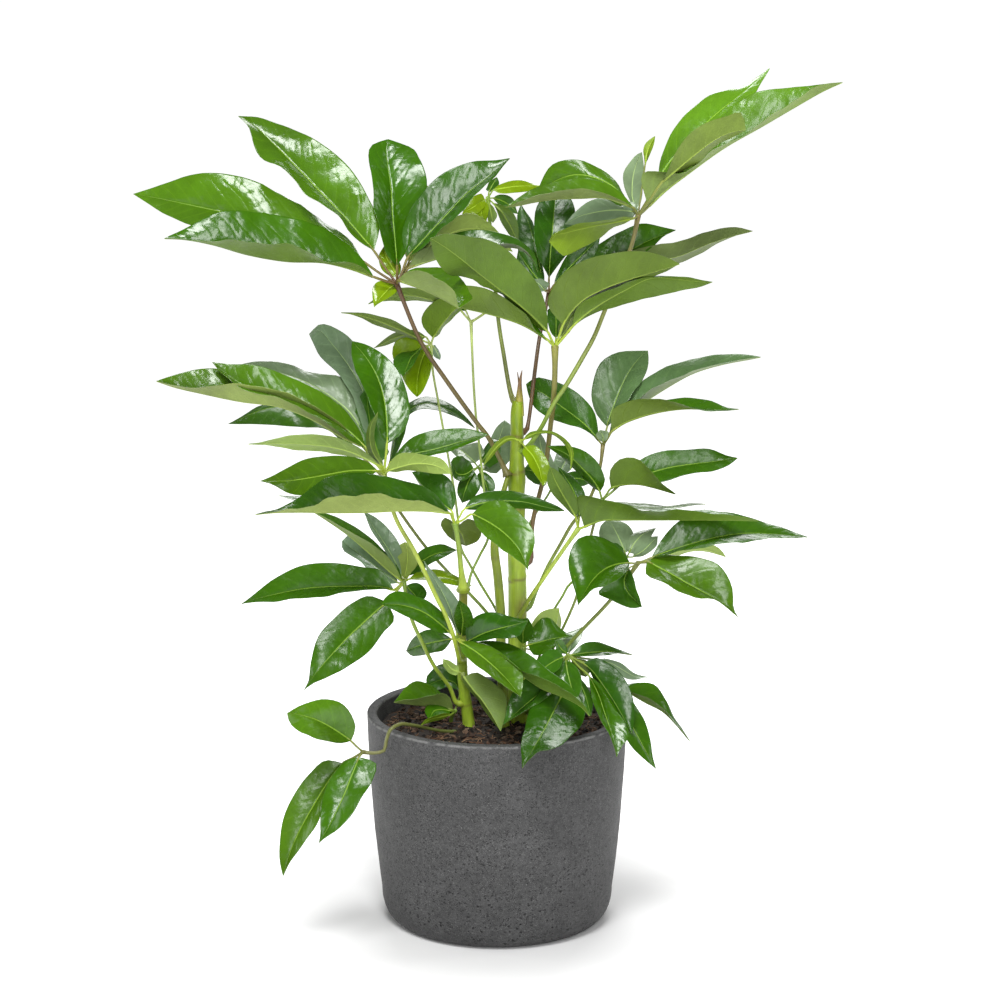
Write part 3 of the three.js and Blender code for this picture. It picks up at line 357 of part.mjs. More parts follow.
        left: [[-51.1,-41.3,313.4],[-56.6,-38.5,306.1],[-66.1,-31.5,301.9],[-75.5,-21.6,297.1],[-85.1,-9.7,292.4],[-92.9,-0.7,290.7]] },
      { rib: [[-42.2,-41.4,324.7],[-44.3,-43.8,333.8],[-47.3,-48,346.7],[-52.6,-53.9,362.7],[-59.4,-60.3,378.1],[-66.8,-66.9,393.1],[-72.5,-72.3,404.8],[-75.8,-75.4,411.5]],
        right: [[-33.5,-43.6,334.2],[-34.1,-45.4,348.2],[-41.8,-46.9,363.2],[-52.2,-51.1,377.9],[-63.4,-59.9,392.5],[-71.6,-68.8,404.3]],
        left: [[-45.4,-49,334.6],[-50.4,-57,347.6],[-58,-64.6,363],[-64.5,-70.3,378],[-70.1,-74.2,393.1],[-73.7,-75.9,405]] },
      { rib: [[-38.1,-37.3,321.5],[-37.5,-41.7,326.5],[-36.7,-49.3,333.9],[-35.7,-60.1,343.7],[-36.6,-71.7,353.5],[-37.8,-83.8,363.4],[-38.7,-93.5,371.1],[-39.2,-99.2,375.5]],
        right: [[-30.8,-42.2,324.3],[-27.1,-50.4,332.3],[-24.8,-61.6,344],[-26.2,-72.1,354.7],[-30,-83.9,365],[-35.8,-94.4,371.9]],
        left: [[-40,-45.9,327.6],[-42.8,-56,335.6],[-44.2,-67.3,345.3],[-44.5,-78.3,354.6],[-42.9,-88.9,364.2],[-40.5,-96.3,371.6]] },
    ],
  },
  {
    name: 'leaf_low_front', colour: 0x8aa05a,
    petiole: [[-36.2, -27, 271.6, 1.8], [-36.1, -36, 279.5, 2]],
    leaflets: [
      { rib: [[-34.9,-48,279.5],[-30.8,-51,274.5],[-24.9,-56.3,267.9],[-16.6,-63.9,260.2],[-9.5,-71.9,251.9],[-3.1,-80.3,243.2],[1.6,-87.1,236.4],[4.3,-91,232.6]],
        right: [[-23.8,-48.2,284.9],[-12.5,-52.7,281.2],[-0.4,-60.2,273.7],[9.7,-68.5,264.4],[9.9,-79.4,250.4],[6.3,-88.3,239.5]],
        left: [[-36.2,-42.8,273.8],[-30.1,-43.2,264],[-21.7,-48.6,255.1],[-13.9,-57.9,246.8],[-5.9,-70.1,239.5],[0.6,-81.9,234.7]] },
      { rib: [[-40.3,-38.9,282.5],[-42.4,-40.2,283.5],[-45.5,-42.3,285],[-48.8,-45.4,287.9],[-51.3,-48.7,292],[-53.8,-52.2,296.2],[-55.7,-55,299.5],[-56.8,-56.6,301.4]],
        right: [[-42.8,-40.7,279.5],[-46.6,-41.7,280.3],[-51.3,-43.8,283.4],[-54.4,-47.6,288.2],[-57,-52.1,293.4],[-56.9,-54.8,298.4]],
        left: [[-40.3,-39.3,286.6],[-41.8,-41,289.6],[-44.6,-44.5,292.5],[-47.6,-48.7,295.7],[-51.2,-52.6,299],[-54.8,-55.5,300.6]] },
    ],
  },
  {
    name: 'leaf_sucker_left', colour: 0x3c6c24,
    petiole: [[-47.7, 12, 202.9, 2.4], [-49.7, 5, 216.1, 2.2], [-47.3, -8, 227.6, 2], [-45, -15, 232.9, 2.1]],
    leaflets: [
      { rib: [[-47.1,-20,235.4],[-53.3,-22.8,237.7],[-61.9,-27.8,241],[-73.1,-34.8,244.2],[-84.2,-42.2,247.4],[-95.3,-50.1,250.9],[-103.8,-56.3,253.7],[-108.7,-60,255.4]],
        right: [[-51.1,-12.9,242.9],[-59.9,-13.1,252.7],[-72.7,-20.4,263.3],[-85.7,-30.7,270.6],[-96,-43.4,267.5],[-104,-52.9,259.7]],
        left: [[-48.5,-27.6,248],[-55.9,-37.2,257.8],[-69.1,-48.4,259.7],[-81.4,-56,259.7],[-93.6,-60.5,258.4],[-103.1,-61.8,256.9]] },
      { rib: [[-39.9,5.8,248.3],[-42,5.5,252.3],[-45,4.9,258],[-52,4.1,261.6],[-59.4,3.3,262.6],[-66.8,2.4,260.4],[-72.2,1.7,257.7],[-75.4,1.3,256.2]],
        right: [[-39.5,12.3,253],[-39.8,14,263.2],[-46.8,11.4,277.8],[-62.2,7.4,278.4],[-71.7,5.1,270.9],[-76.4,3.2,263.6]],
        left: [[-43.4,-1.2,252.6],[-48.1,-7,255.8],[-54,-10,257.7],[-59.4,-9.9,256],[-65.6,-6.7,254],[-71.8,-2.5,254.4]] },
      { rib: [[-49.2,-25,235.7],[-52.1,-27.1,236.9],[-56.2,-30.8,238.8],[-61.3,-36.1,240.6],[-66.5,-41.7,240.8],[-69.4,-47.5,238.4],[-71,-52.3,235.8],[-72,-55,234.3]],
        right: [[-52.3,-23.5,238],[-56.9,-24.6,241.4],[-64.1,-30.4,244.4],[-73.8,-38.8,245.9],[-76.6,-46.8,241.7],[-73.9,-52,236.9]],
        left: [[-51.3,-30.1,233.8],[-54.5,-34.7,233.6],[-58.6,-39.1,232.9],[-62.7,-43.8,232.9],[-66.9,-49.3,233.6],[-70.1,-53.6,234.2]] },
      { rib: [[-48,-29,233.5],[-51.4,-32.3,233.6],[-56.2,-37.9,233.9],[-62.2,-46,234.7],[-68.3,-54.6,235.8],[-73.7,-63.6,235.7],[-77.7,-70.8,234.9],[-79.9,-75,234.5]],
        right: [[-51.2,-29.6,231.9],[-55.5,-33.7,230.4],[-61.5,-41,230.5],[-67.1,-50.2,231.3],[-72.7,-60.4,232.5],[-77.3,-69.1,233.6]],
        left: [[-51.6,-34.7,235.7],[-56.6,-42,237.9],[-62.6,-51,238.3],[-68.8,-59.4,238.7],[-74.7,-67,238.3],[-78,-72.6,236]] },
    ],
  },
  {
    name: 'leaf_low_right', colour: 0x34661f,
    petiole: [[36.6, -3, 230.7, 1.8], [46, -18, 257, 1.8], [58.5, -34, 276.8, 1.8], [66.8, -44, 289.3, 1.7], [75, -50, 304, 2]],
    leaflets: [
      { rib: [[78.2,-50,304],[84.8,-48.9,304.6],[94,-47.1,305.4],[105.9,-44.5,305.7],[117.9,-41.7,305.6],[129.8,-38.7,303.3],[139.1,-36.4,301.3],[144.4,-35,300.1]],
        right: [[84.7,-53.3,303.4],[94,-54.4,303.5],[105.8,-53,303.5],[117.5,-49.4,304],[129.5,-43.8,304.5],[138.9,-38.8,302.4]],
        left: [[83.3,-47.6,309.7],[91.6,-44.5,315.3],[104.7,-40.1,315.9],[117.3,-35.6,311],[130.1,-33,305.9],[139.2,-33.5,302]] },
      { rib: [[76.6,-28,300.5],[77.5,-25.5,302.9],[78.7,-21.1,306.2],[80.6,-14.9,310.1],[83.8,-8.3,313.4],[87.1,-1.3,316.5],[89.8,4.3,318.8],[91.3,7.5,320.1]],
        right: [[79.3,-30.2,303.3],[82.7,-29.3,306.4],[86.1,-24.6,309.7],[89.2,-17.3,312.6],[91.5,-7.8,315.8],[91.6,1,318.6]],
        left: [[71.6,-24,303.2],[67.9,-19.8,307.7],[68,-12.4,313.5],[74.9,-3.1,316.3],[82.5,4.2,317.3],[88.1,7.4,318.8]] },
      { rib: [[74,-49.5,305],[72.6,-50.1,306.3],[70.6,-51.2,308.3],[68,-52.7,310.8],[66.1,-54.3,314],[64.3,-56,317.3],[62.9,-57.3,319.8],[62.1,-58.1,321.3]],
        right: [[74.7,-48.4,307.8],[74.2,-49.1,310.9],[72.6,-51.3,314.6],[71,-53.3,318.3],[68.3,-55,321.3],[65.2,-56.7,322.5]],
        left: [[71.6,-52.6,305.8],[68.7,-55.5,307.2],[65.5,-57.3,310],[62.4,-58.4,312.6],[62.1,-59,316.6],[62.1,-58.9,319.7]] },
      { rib: [[90.6,-60,297.9],[97.7,-62.1,292.7],[105.7,-65.8,283.7],[115,-71.1,271.4],[123.9,-76.7,258.9],[132,-82.5,246],[138,-87.3,235.9],[141.5,-90,230.1]],
        right: [[96.5,-54.7,289.3],[103.2,-53.3,277.8],[112.1,-56.5,264.6],[121,-63.2,252.6],[129.3,-72.7,241.3],[137,-82.3,233.7]],
        left: [[102.4,-59.4,303.7],[118.4,-62.6,297.9],[131.9,-67.8,286.2],[140.8,-74.2,270.8],[144.3,-80.5,252.9],[143.4,-85.4,238.2]] },
      { rib: [[96.5,-75,287.8],[100.9,-79.2,280.8],[106.2,-86.6,271.1],[111,-97.1,258.1],[115.8,-108.3,245.4],[120.2,-120.1,232.9],[122.7,-129.5,223],[124.1,-135,217.4]],
        right: [[96.7,-85.2,280.8],[99.1,-96.6,271.6],[103.9,-108.6,259.2],[110.4,-119,246.4],[118.2,-127.6,234.7],[122.5,-133.2,224.2]],
        left: [[104.8,-84.4,284.3],[112.1,-95.4,274.8],[121.1,-104.8,262.1],[132.1,-110.9,249.3],[136.7,-120.3,234.9],[127.6,-129.4,224]] },
      { rib: [[104.5,-55,291.2],[111.4,-57.8,281.2],[120.9,-62.8,267.6],[132.8,-69.8,250.1],[143.3,-77.2,232],[153.7,-85.1,214],[162,-91.3,200.2],[166.8,-95,192.4]],
        right: [[107.4,-64.6,280.7],[113.4,-74,266.1],[122.3,-82.1,247.4],[132.2,-87.5,228.7],[145.5,-92.1,211],[158.6,-95,199.2]],
        left: [[117.7,-52.7,285.5],[130.1,-53.5,272.1],[144.3,-59.2,255.2],[155.7,-68.4,236.7],[161.9,-78.3,216.8],[164.5,-87.5,200.6]] },
      { rib: [[121.9,-45,279.8],[130,-43.9,271.9],[141.5,-42.1,260.8],[158.3,-39.5,249.3],[176,-36.7,239.2],[190.5,-33.7,224.2],[200.6,-31.4,211.3],[206.4,-30,203.9]],
        right: [[129.3,-51,273.5],[141.8,-53.5,265.5],[160,-52.3,256.8],[176.6,-48.9,244.7],[190.5,-42.8,227.4],[200.6,-36,212.9]],
        left: [[129.3,-38,269],[148.9,-33,269.4],[168,-29.5,265.6],[181.8,-25.5,246],[192.3,-23.8,224.8],[201.3,-26.4,211]] },
      { rib: [[106,-40,295.9],[111.8,-37.9,294],[119.9,-34.2,291.1],[129.4,-28.9,284.7],[138.8,-23.3,277.6],[148.5,-17.5,271.3],[157,-12.7,270],[161.9,-10,269.3]],
        right: [[111.3,-41.8,293.6],[118.6,-41,289.4],[127.7,-36.7,282.8],[136.4,-30.9,273.8],[147.9,-22.7,269.8],[156.9,-15.3,269.8]],
        left: [[112.2,-33.6,296],[120.7,-27.2,293.2],[131.8,-20.7,287.8],[140.3,-15.9,279.6],[149,-11.9,273.1],[157.1,-10.1,270.4]] },
      { rib: [[69.5,-70.4,268.1],[65.3,-79.6,262.3],[59.2,-95.7,255.3],[51.5,-118.5,247.1],[43.6,-142.9,239.6],[35.4,-168.5,232.9],[29,-189,228.1],[25.4,-200.9,225.5]],
        right: [[52.4,-74.1,274.5],[40.9,-82.8,268.1],[33.5,-98.4,255.4],[28.5,-121.8,244.4],[24.9,-152.6,235.1],[25.3,-181.1,228.2]],
        left: [[90,-81.2,259.3],[90.8,-98.8,247.8],[79.9,-126.1,239.6],[63,-157.7,236.2],[42.3,-182.5,235.8],[30.3,-196.2,230.7]] },
      { rib: [[72.8,-54.2,299.7],[73.5,-56,295.4],[74.3,-59.1,289.6],[76,-63.6,282.4],[78.1,-68.4,275.3],[79.9,-73.4,268.3],[81.2,-77.4,262.9],[81.9,-79.7,259.8]],
        right: [[62.9,-55.4,297],[59.2,-58.7,290.1],[59.9,-63.6,281.1],[63,-69.9,272.7],[71.4,-76.6,267.5],[78,-80.2,263]],
        left: [[78.8,-60,298.4],[83.9,-65.4,294.4],[87.8,-70.6,287.7],[88.8,-75,279.5],[87.8,-78.5,270.9],[84,-80.3,264.1]] },
      { rib: [[70.6,-58,303.9],[67,-60.3,303],[61.8,-64.2,301.9],[55.8,-69.8,299.7],[49.9,-75.8,297.1],[44.8,-82,293.8],[40.9,-87.1,291.1],[38.7,-90,289.6]],
        right: [[65.6,-58.2,310.8],[58.3,-61.2,313.4],[50.3,-66.7,311.4],[43.7,-73.3,306.2],[38.9,-80.1,299.7],[38.3,-85.8,293.4]],
        left: [[68.8,-64.9,300.9],[66.3,-71.8,296],[61,-78.2,293.4],[55.4,-82.8,290.8],[49.3,-86.3,288.2],[42.8,-89.1,288.9]] },
      { rib: [[66.4,-62,282.1],[60.2,-64.7,278],[51.4,-69.4,272.5],[40.4,-76,265.4],[29.4,-83.1,258.3],[19,-90.6,250.8],[10.9,-96.5,245],[6.4,-100,241.7]],
        right: [[55.6,-60.9,291.9],[43.2,-64.9,288.7],[28.8,-71.1,283.1],[17.9,-77.8,273.2],[11.2,-84.6,258.8],[8.4,-92.2,247.1]],
        left: [[67.9,-71.4,273.5],[58.2,-82.1,270.5],[45.7,-91.7,265.3],[33.4,-97.5,258.9],[21.5,-100.8,251.7],[11.9,-101.6,245.7]] },
      { rib: [[79.2,-53,299.3],[81,-52.1,297.5],[83.5,-50.5,294.8],[86.8,-48.2,291.3],[89.7,-45.8,287.4],[91.8,-43.2,282.9],[93.5,-41.2,279.3],[94.5,-40,277.3]],
        right: [[83.3,-54,301.3],[88.1,-52.3,300.4],[94.2,-47.9,297.7],[98.4,-44.6,293.1],[100.5,-42.6,286.5],[97,-40.9,280.7]],
        left: [[78.5,-48.9,294.8],[79.7,-45.1,290.6],[82,-42.4,286.1],[84.2,-41,282.1],[88.3,-39.7,279.3],[92.3,-39.1,277.9]] },
      { rib: [[79.1,-60,292.5],[81.8,-60.7,287.8],[85.6,-61.9,281.2],[89.7,-63.7,272.5],[93.4,-65.6,263.5],[96,-67.5,254.3],[98,-69.1,247],[99.1,-70,242.9]],
        right: [[77.8,-62.8,286.7],[77.7,-63.8,278.6],[79.5,-64.7,268.8],[83.6,-66.3,260],[89.1,-68.4,251.8],[95.4,-70.1,246.3]],
        left: [[82.3,-57,286.9],[87.8,-55.6,280.3],[94.8,-56.2,272.3],[99.5,-59.1,263.4],[101.1,-63.2,254.1],[100.1,-66.9,246.8]] },
    ],
  },
  {
    name: 'leaf_heart_right', colour: 0x3a7020,
    petiole: [[26.8, -13, 288.9, 1.8], [28.8, -24, 300.5, 1.8], [28.7, -30, 306.5, 2]],
    leaflets: [
      { rib: [[32.9,-35,311],[37.7,-34.3,312.1],[44.3,-33.1,313.5],[52.8,-31.3,315.1],[61.4,-29.4,316.7],[70.1,-27.5,317.6],[77,-25.9,318.1],[80.9,-25,318.3]],
        right: [[36.9,-42.8,303.8],[43.9,-48.4,303.7],[52.7,-49.8,308.1],[60.9,-46.2,313.2],[69.6,-39.2,316.7],[76.7,-31.7,318.2]],
        left: [[33.5,-27.4,319.8],[38.7,-24,327.9],[47,-23.9,337.2],[57.5,-21.7,336.7],[68.1,-18.7,325.1],[76.2,-20,319.5]] },
      { rib: [[27.7,-20.4,308.4],[27.7,-22.5,311.9],[27.7,-26.2,316.9],[27.6,-31.4,323.6],[29,-37,330],[30.7,-42.9,336.4],[32,-47.6,341.4],[32.7,-50.3,344.3]],
        right: [[31.4,-26,312],[35.4,-31.2,316.6],[37.1,-35.8,322.6],[38.7,-40.2,328.5],[36.8,-45.8,335.6],[34.2,-49.8,341.4]],
        left: [[24.2,-26.3,312.8],[20.9,-30.9,319.1],[17.8,-33.9,327.3],[18.1,-36.8,334.5],[21.9,-41.8,340.5],[28.8,-47.2,342.9]] },
      { rib: [[41.9,1.3,296.2],[46,2.1,299.5],[51.8,3.5,304.1],[57.5,5.4,311.4],[62,7.5,319.7],[64.6,9.6,328.6],[65.9,11.4,335.8],[66.6,12.4,339.9]],
        right: [[38.2,0.4,305.8],[33.4,5.3,317.5],[37.4,8.7,323.7],[41.9,10.4,330.3],[48.8,11.8,336.3],[58.4,12.4,339.3]],
        left: [[49.3,8.9,292.6],[56.6,15.6,295.2],[64.7,19.9,302.5],[67.7,21.4,313.2],[69.6,20,324.7],[67.7,16.7,334]] },
    ],
  },
  {
    name: 'leaf_right_low', colour: 0x3f7a24,
    petiole: [[35.5, -2, 248.2, 2], [40.8, -8, 258.8, 2], [56.5, -24, 286.2, 2], [77.4, -36, 313.5, 2], [92, -42, 331.4, 2], [115.8, -49, 359.1, 2], [134.3, -54, 384.1, 2], [147.7, -55, 404.7, 2.4]],
    leaflets: [
      { rib: [[161.3,-55,410.1],[177,-53.2,415.9],[199.5,-50.2,422.6],[229,-45.8,429.8],[259.3,-41.1,433.4],[290.1,-36.2,431.7],[314.1,-32.3,428.8],[327.9,-30,427.1]],
        right: [[177.5,-63.5,415.3],[199.4,-67.3,422],[228.8,-66.4,426.4],[258.5,-60.4,429],[288.9,-49.9,429.6],[313.4,-39,428.5]],
        left: [[171.4,-48.1,426.5],[190.1,-43.3,446.6],[221.8,-36.4,455.4],[257.4,-27.1,450],[290,-22.7,439.4],[314.1,-25.2,430.9]] },
      { rib: [[156.9,-60,408],[166.7,-61.8,402.9],[180.5,-64.8,396],[197.8,-69.2,386.6],[215.3,-73.9,377.8],[232.6,-78.8,368.8],[245.1,-82.7,360.3],[250.9,-85,353.9]],
        right: [[154.8,-71.6,397.2],[169.2,-83.8,391.4],[187.8,-92.3,384.3],[208,-95,377],[229.4,-93.4,371.8],[242.9,-90.1,361.4]],
        left: [[171.3,-50.7,411.9],[189.7,-51.3,411.5],[212.9,-60.7,411.4],[232.3,-69,405],[245.1,-74.5,383.3],[246.3,-78.6,361.6]] },
      { rib: [[138.4,-75,409.2],[130.8,-79.2,409.9],[120.4,-86.6,409.4],[108.4,-97.1,405.4],[98.6,-108.3,398.5],[91,-120.1,389.9],[85.7,-129.5,382.9],[82.9,-135,378.8]],
        right: [[131.8,-65.3,420.2],[113.2,-69.5,434.1],[85.7,-83.5,437.8],[74.2,-94.7,419.6],[76,-105.1,398.3],[81.7,-120.1,384.4]],
        left: [[134.5,-95.6,404.6],[126.6,-113.8,402.3],[116.3,-128,401.1],[105.3,-136,398.3],[94.3,-139.7,391.4],[86.8,-139.3,384.2]] },
      { rib: [[138.2,-58,400],[136.3,-58.8,395.6],[133.6,-60.3,389.4],[134,-62.4,381.7],[138,-64.7,374.1],[144.1,-67,368.1],[148.9,-68.9,363.6],[151.6,-70,361]],
        right: [[128.1,-64.9,399],[121.9,-68.9,392.2],[105.3,-68.7,376.2],[118.9,-73.3,368.7],[133.5,-75.8,363.3],[143.7,-72.9,360.4]],
        left: [[140.9,-69,397.5],[143.1,-77.4,393.4],[144.1,-81.9,388.2],[145.3,-82.1,382],[147.3,-79.7,373.4],[149.8,-75.4,365.9]] },
      { rib: [[160.8,-45,403.5],[168.8,-41.5,405.9],[180,-35.3,409],[194.7,-26.6,412.4],[210.6,-17.2,411.3],[226.2,-7.4,407.7],[237.9,0.4,401.3],[244.6,5,397.7]],
        right: [[168.1,-46.2,408.8],[178.8,-43.3,414.5],[194.6,-36.3,417.4],[211.1,-25.5,418.2],[228.4,-11.8,414.9],[239.8,-0.3,405.7]],
        left: [[169.7,-36.7,402.8],[181.7,-27.5,403.2],[196.1,-17.3,406.1],[210.9,-8.2,406.8],[226.2,-1,403.9],[238.1,3.8,400.1]] },
    ],
  },
  {
    name: 'leaf_small_right', colour: 0x6f8170,
    petiole: [[35.6, 12, 260, 1.4], [44.2, 14, 281.8, 1.4], [53.9, 16, 309.1, 1.4], [60.3, 17, 334.3, 1.4], [69.9, 17, 350.9, 1.4], [78.4, 16, 365.5, 1.4], [105.1, 14, 381.4, 1.4], [126.4, 12, 390.6, 1.4], [139.1, 10, 396.6, 1.6]],
    leaflets: [
      { rib: [[137.1,15,399.8],[135.8,17.5,403.2],[134,21.8,407.7],[131.3,27.9,413.1],[128.3,34.5,418.4],[125.1,41.3,423.5],[122.5,46.8,427.5],[121.1,50,429.7]],
        right: [[144.9,19.2,403.7],[147.9,25.8,409.9],[147,33.5,417.2],[142.1,40.4,423.7],[134,46.7,427.5],[125.9,50.2,428.8]],
        left: [[130.1,13.5,401.1],[120.9,18.6,401.6],[115.5,26.7,406.1],[110.8,33.6,411.4],[110.2,40.8,419],[114.3,46.8,426.2]] },
      { rib: [[141.3,13,400.3],[143.2,14.6,403.7],[145.8,17.3,408.3],[150.6,21.1,413.3],[156,25.2,417.7],[162.7,29.5,420.3],[168.1,33,422],[171.2,35,423]],
        right: [[147.7,13.4,399.3],[152.6,15.4,401.7],[158.1,19,405.3],[162.2,22.6,410.1],[165.8,26.4,415.6],[169.2,30.7,420.5]],
        left: [[138.5,17.2,404.6],[139.3,22.5,410.6],[144.4,28.3,416.6],[151.6,32.6,420.1],[160.5,35.1,421.1],[167.3,35.7,422.1]] },
      { rib: [[145.5,10,396.6],[148.6,11.4,398],[153.1,13.9,399.9],[158.1,17.4,403.2],[162.8,21.1,406.9],[167.4,25,410.7],[171.1,28.2,413.6],[173.1,30,415.2]],
        right: [[149.5,9.1,396.8],[155.1,10.4,397],[161.7,14.6,399.4],[167.4,19.4,402.6],[171.9,24,406.9],[172.7,27.8,412.2]],
        left: [[146.2,12.2,400.8],[148.8,15.1,404.6],[153.9,18.5,407.5],[158.7,22.3,411.3],[163.7,26.2,415],[169.7,28.6,415.2]] },
      { rib: [[133.6,6,399.7],[131.8,5.6,400.9],[129.3,4.8,402.6],[126.1,3.8,404.9],[123.2,2.7,407.5],[120.5,1.5,410.5],[118.4,0.5,412.8],[117.2,0,414.1]],
        right: [[134.8,6.1,403.7],[134.4,5.7,407.4],[131.3,4.7,410.2],[128.3,4,413],[123.5,3,413.4],[119.5,1.8,413.7]],
        left: [[130.7,3.1,399.4],[126.9,0.6,398.7],[123.2,-1,401.7],[119.5,-1.9,404.6],[118.4,-1.9,409],[117.6,-1.3,412.4]] },
    ],
  },
  {
    name: 'leaf_right_middle', colour: 0x5f8a34,
    petiole: [[23.5, -13.5, 335.2, 2.3], [33, -22, 355.9, 2.3], [48.7, -32, 382.2, 2.2], [65.3, -38, 408.4, 2.2], [74.7, -40, 422.9, 2.2], [85.1, -40, 437.9, 2.5]],
    leaflets: [
      { rib: [[91.3,-45,441.1],[107.8,-47.1,448.8],[133.5,-50.8,450.6],[166.5,-56.1,451.7],[199.3,-61.7,452.8],[232,-67.5,453.7],[257.4,-72.3,454.2],[271.8,-75,454.4]],
        right: [[83.6,-44.4,472.9],[117.4,-58.2,470.9],[153.8,-74.2,465.3],[189.4,-80.7,466],[226.4,-81.4,463.6],[255.4,-79.4,458.8]],
        left: [[97.5,-22.4,453.1],[124.6,-27.9,458.6],[159.9,-31.4,455.6],[195.4,-37.7,458.7],[230.7,-50.2,458.2],[257.3,-63.5,456.6]] },
      { rib: [[82.7,-48,451.4],[79.8,-49.9,457.2],[75.7,-53.2,465.4],[70,-58,475.8],[64.6,-63,486.3],[59.7,-68.3,497.2],[56.6,-72.5,505.9],[54.9,-75,510.9]],
        right: [[77.9,-46.4,455.3],[72,-47.6,462.3],[63.7,-53.5,471.8],[55.9,-61.9,482.6],[51.9,-68.6,494.7],[52.9,-72.6,505]],
        left: [[84.7,-50.1,458.9],[83.8,-52.9,469],[79.4,-57.2,480.6],[73.6,-62.3,491.2],[66.9,-67.7,501],[60.4,-72.2,508]] },
      { rib: [[86.4,-30,447.6],[86.1,-26.8,453.1],[85.7,-21.3,460.6],[82.3,-13.4,469.4],[77.9,-5,477.8],[72.1,3.8,485.4],[67.6,10.9,491.4],[65,15,494.7]],
        right: [[91,-25.5,452.8],[93.4,-19.5,461.5],[92.3,-11.6,472.5],[85.5,-2.2,480.9],[77,7,487.5],[69.4,12.9,492]],
        left: [[83.6,-30.3,453.4],[79.8,-26.9,460.4],[75.3,-19.5,468.3],[70.9,-9.9,475.8],[66.7,0.7,483.3],[65.6,9.2,490.7]] },
    ],
  },
  {
    name: 'leaf_right_upper', colour: 0x55744a,
    petiole: [[34.8, 0, 344, 1.9], [41.7, 0, 360.5, 1.9], [54.4, -2, 389.4, 1.9], [67, -5, 413, 1.9], [79.6, -8, 436.5, 1.9], [89.1, -9, 448.6, 1.9], [98.5, -9, 464.8, 1.8], [105.8, -8, 484.1, 1.8], [110, -6, 503.1, 1.8], [112, -5, 521.1, 2.1]],
    leaflets: [
      { rib: [[116.5,5,538.7],[119.1,7.8,547.3],[123.5,12.8,559],[129.7,19.8,573.7],[136.8,27.2,588.1],[146.1,35.1,601.3],[155.1,41.3,610.2],[161.1,45,614.4]],
        right: [[123.5,-3.5,546.9],[130.3,-6.2,558.8],[140.4,-2.5,572.4],[151,7.1,583.4],[158.4,22,595.7],[161.5,35.8,606.1]],
        left: [[106.9,13.6,548.5],[100.8,18.4,565.1],[102,23.2,584],[110.7,30.7,604.4],[131.4,39.3,613.7],[151.3,45.5,613.9]] },
      { rib: [[118.3,-5,532.9],[130.9,-4.3,546.3],[150.2,-3.1,563.2],[177.6,-1.3,581.4],[206.7,0.6,597.1],[238.3,2.5,606.4],[263.6,4.1,610.9],[278.1,5,613.5]],
        right: [[128.3,-13.4,550.1],[146.2,-18.4,569.6],[173.3,-19.1,589.8],[204.8,-16.6,601],[236.9,-10,609.3],[262.6,-2.1,612.7]],
        left: [[123.1,3.9,552.2],[138.7,11.1,575.2],[167.8,16.8,594.9],[200.9,19,608.2],[236.5,16.3,614],[262.7,11,615.6]] },
      { rib: [[121,-15,537.9],[132.2,-18.5,546.4],[149.8,-24.7,554.7],[173.3,-33.4,562.3],[197.2,-42.8,566.6],[221.1,-52.6,567.3],[239.5,-60.4,568.2],[250,-65,569.9]],
        right: [[119.7,-16.1,557.8],[139,-24.8,571.6],[166,-41.3,576.7],[192.2,-55,572.6],[218.2,-62.6,567.6],[238.3,-65.5,568]],
        left: [[131.3,-8,548.6],[148.9,-8.3,560.6],[171.7,-17.2,568.9],[195.9,-27.6,575.9],[221,-42,574.8],[239.1,-55.3,569.5]] },
      { rib: [[108,2.5,524.1],[101.8,4.9,531.4],[92.4,9,541],[78.6,14.8,551.2],[64.4,21.1,560.9],[50.1,27.6,570.5],[38,32.8,576.6],[30.9,35.9,579.7]],
        right: [[107.1,10.3,534.7],[104.3,14.4,551.4],[91.2,18.3,568],[75.3,23.7,578.7],[56.6,29.8,585],[40,34.4,586.5]],
        left: [[100.2,-2.6,531.8],[87.3,-4,538.8],[70.3,2.3,543.6],[52.8,14.5,548.1],[39.2,25.1,557.2],[32.9,31.9,570.4]] },
      { rib: [[111.8,-9,525.1],[111.8,-9.8,526.6],[111.7,-11.1,528.7],[111.7,-13.1,531.5],[110.8,-15.1,534.2],[109.6,-17.3,536.7],[108.7,-19,538.7],[108.2,-20,539.9]],
        right: [[114,-11.8,526.8],[116.2,-13.8,529.4],[117.1,-14.8,533.7],[117,-15.8,537.2],[113,-18.3,538.5],[109.9,-20,539.5]],
        left: [[109.3,-11.6,526.4],[107.5,-13.8,528.3],[105.8,-14.9,530.4],[104.2,-15.7,532.5],[104.3,-17.3,535.3],[106.8,-19,538.2]] },
    ],
  },
  {
    name: 'leaf_right_back', colour: 0x4a7a34,
    petiole: [[35.6, 8, 234.3, 1.5], [46.3, 6, 261.6, 1.5], [57, 2, 290.5, 1.5], [69.6, -3, 319.4, 1.5], [77, -5, 336.4, 1.5], [84.3, -7, 355.6, 1.5], [91.5, -9, 386.7, 1.5], [98.7, -12, 420, 1.5], [102.8, -13, 437.5, 1.5], [106.9, -14, 450.7, 1.5], [111, -15, 463.9, 1.8]],
    leaflets: [
      { rib: [[120.1,-23,478.4],[126.6,-25.6,481.4],[136,-30.2,484.1],[148.3,-36.6,485.4],[160.4,-43.6,484.2],[172.1,-50.8,482.1],[181.1,-56.6,480.3],[186.3,-60,479.4]],
        right: [[118.1,-22.9,493.6],[127,-25.2,508.2],[144.6,-35.4,512.8],[159.2,-51.5,502.6],[170.6,-61.3,491.2],[180.5,-62.2,484.8]],
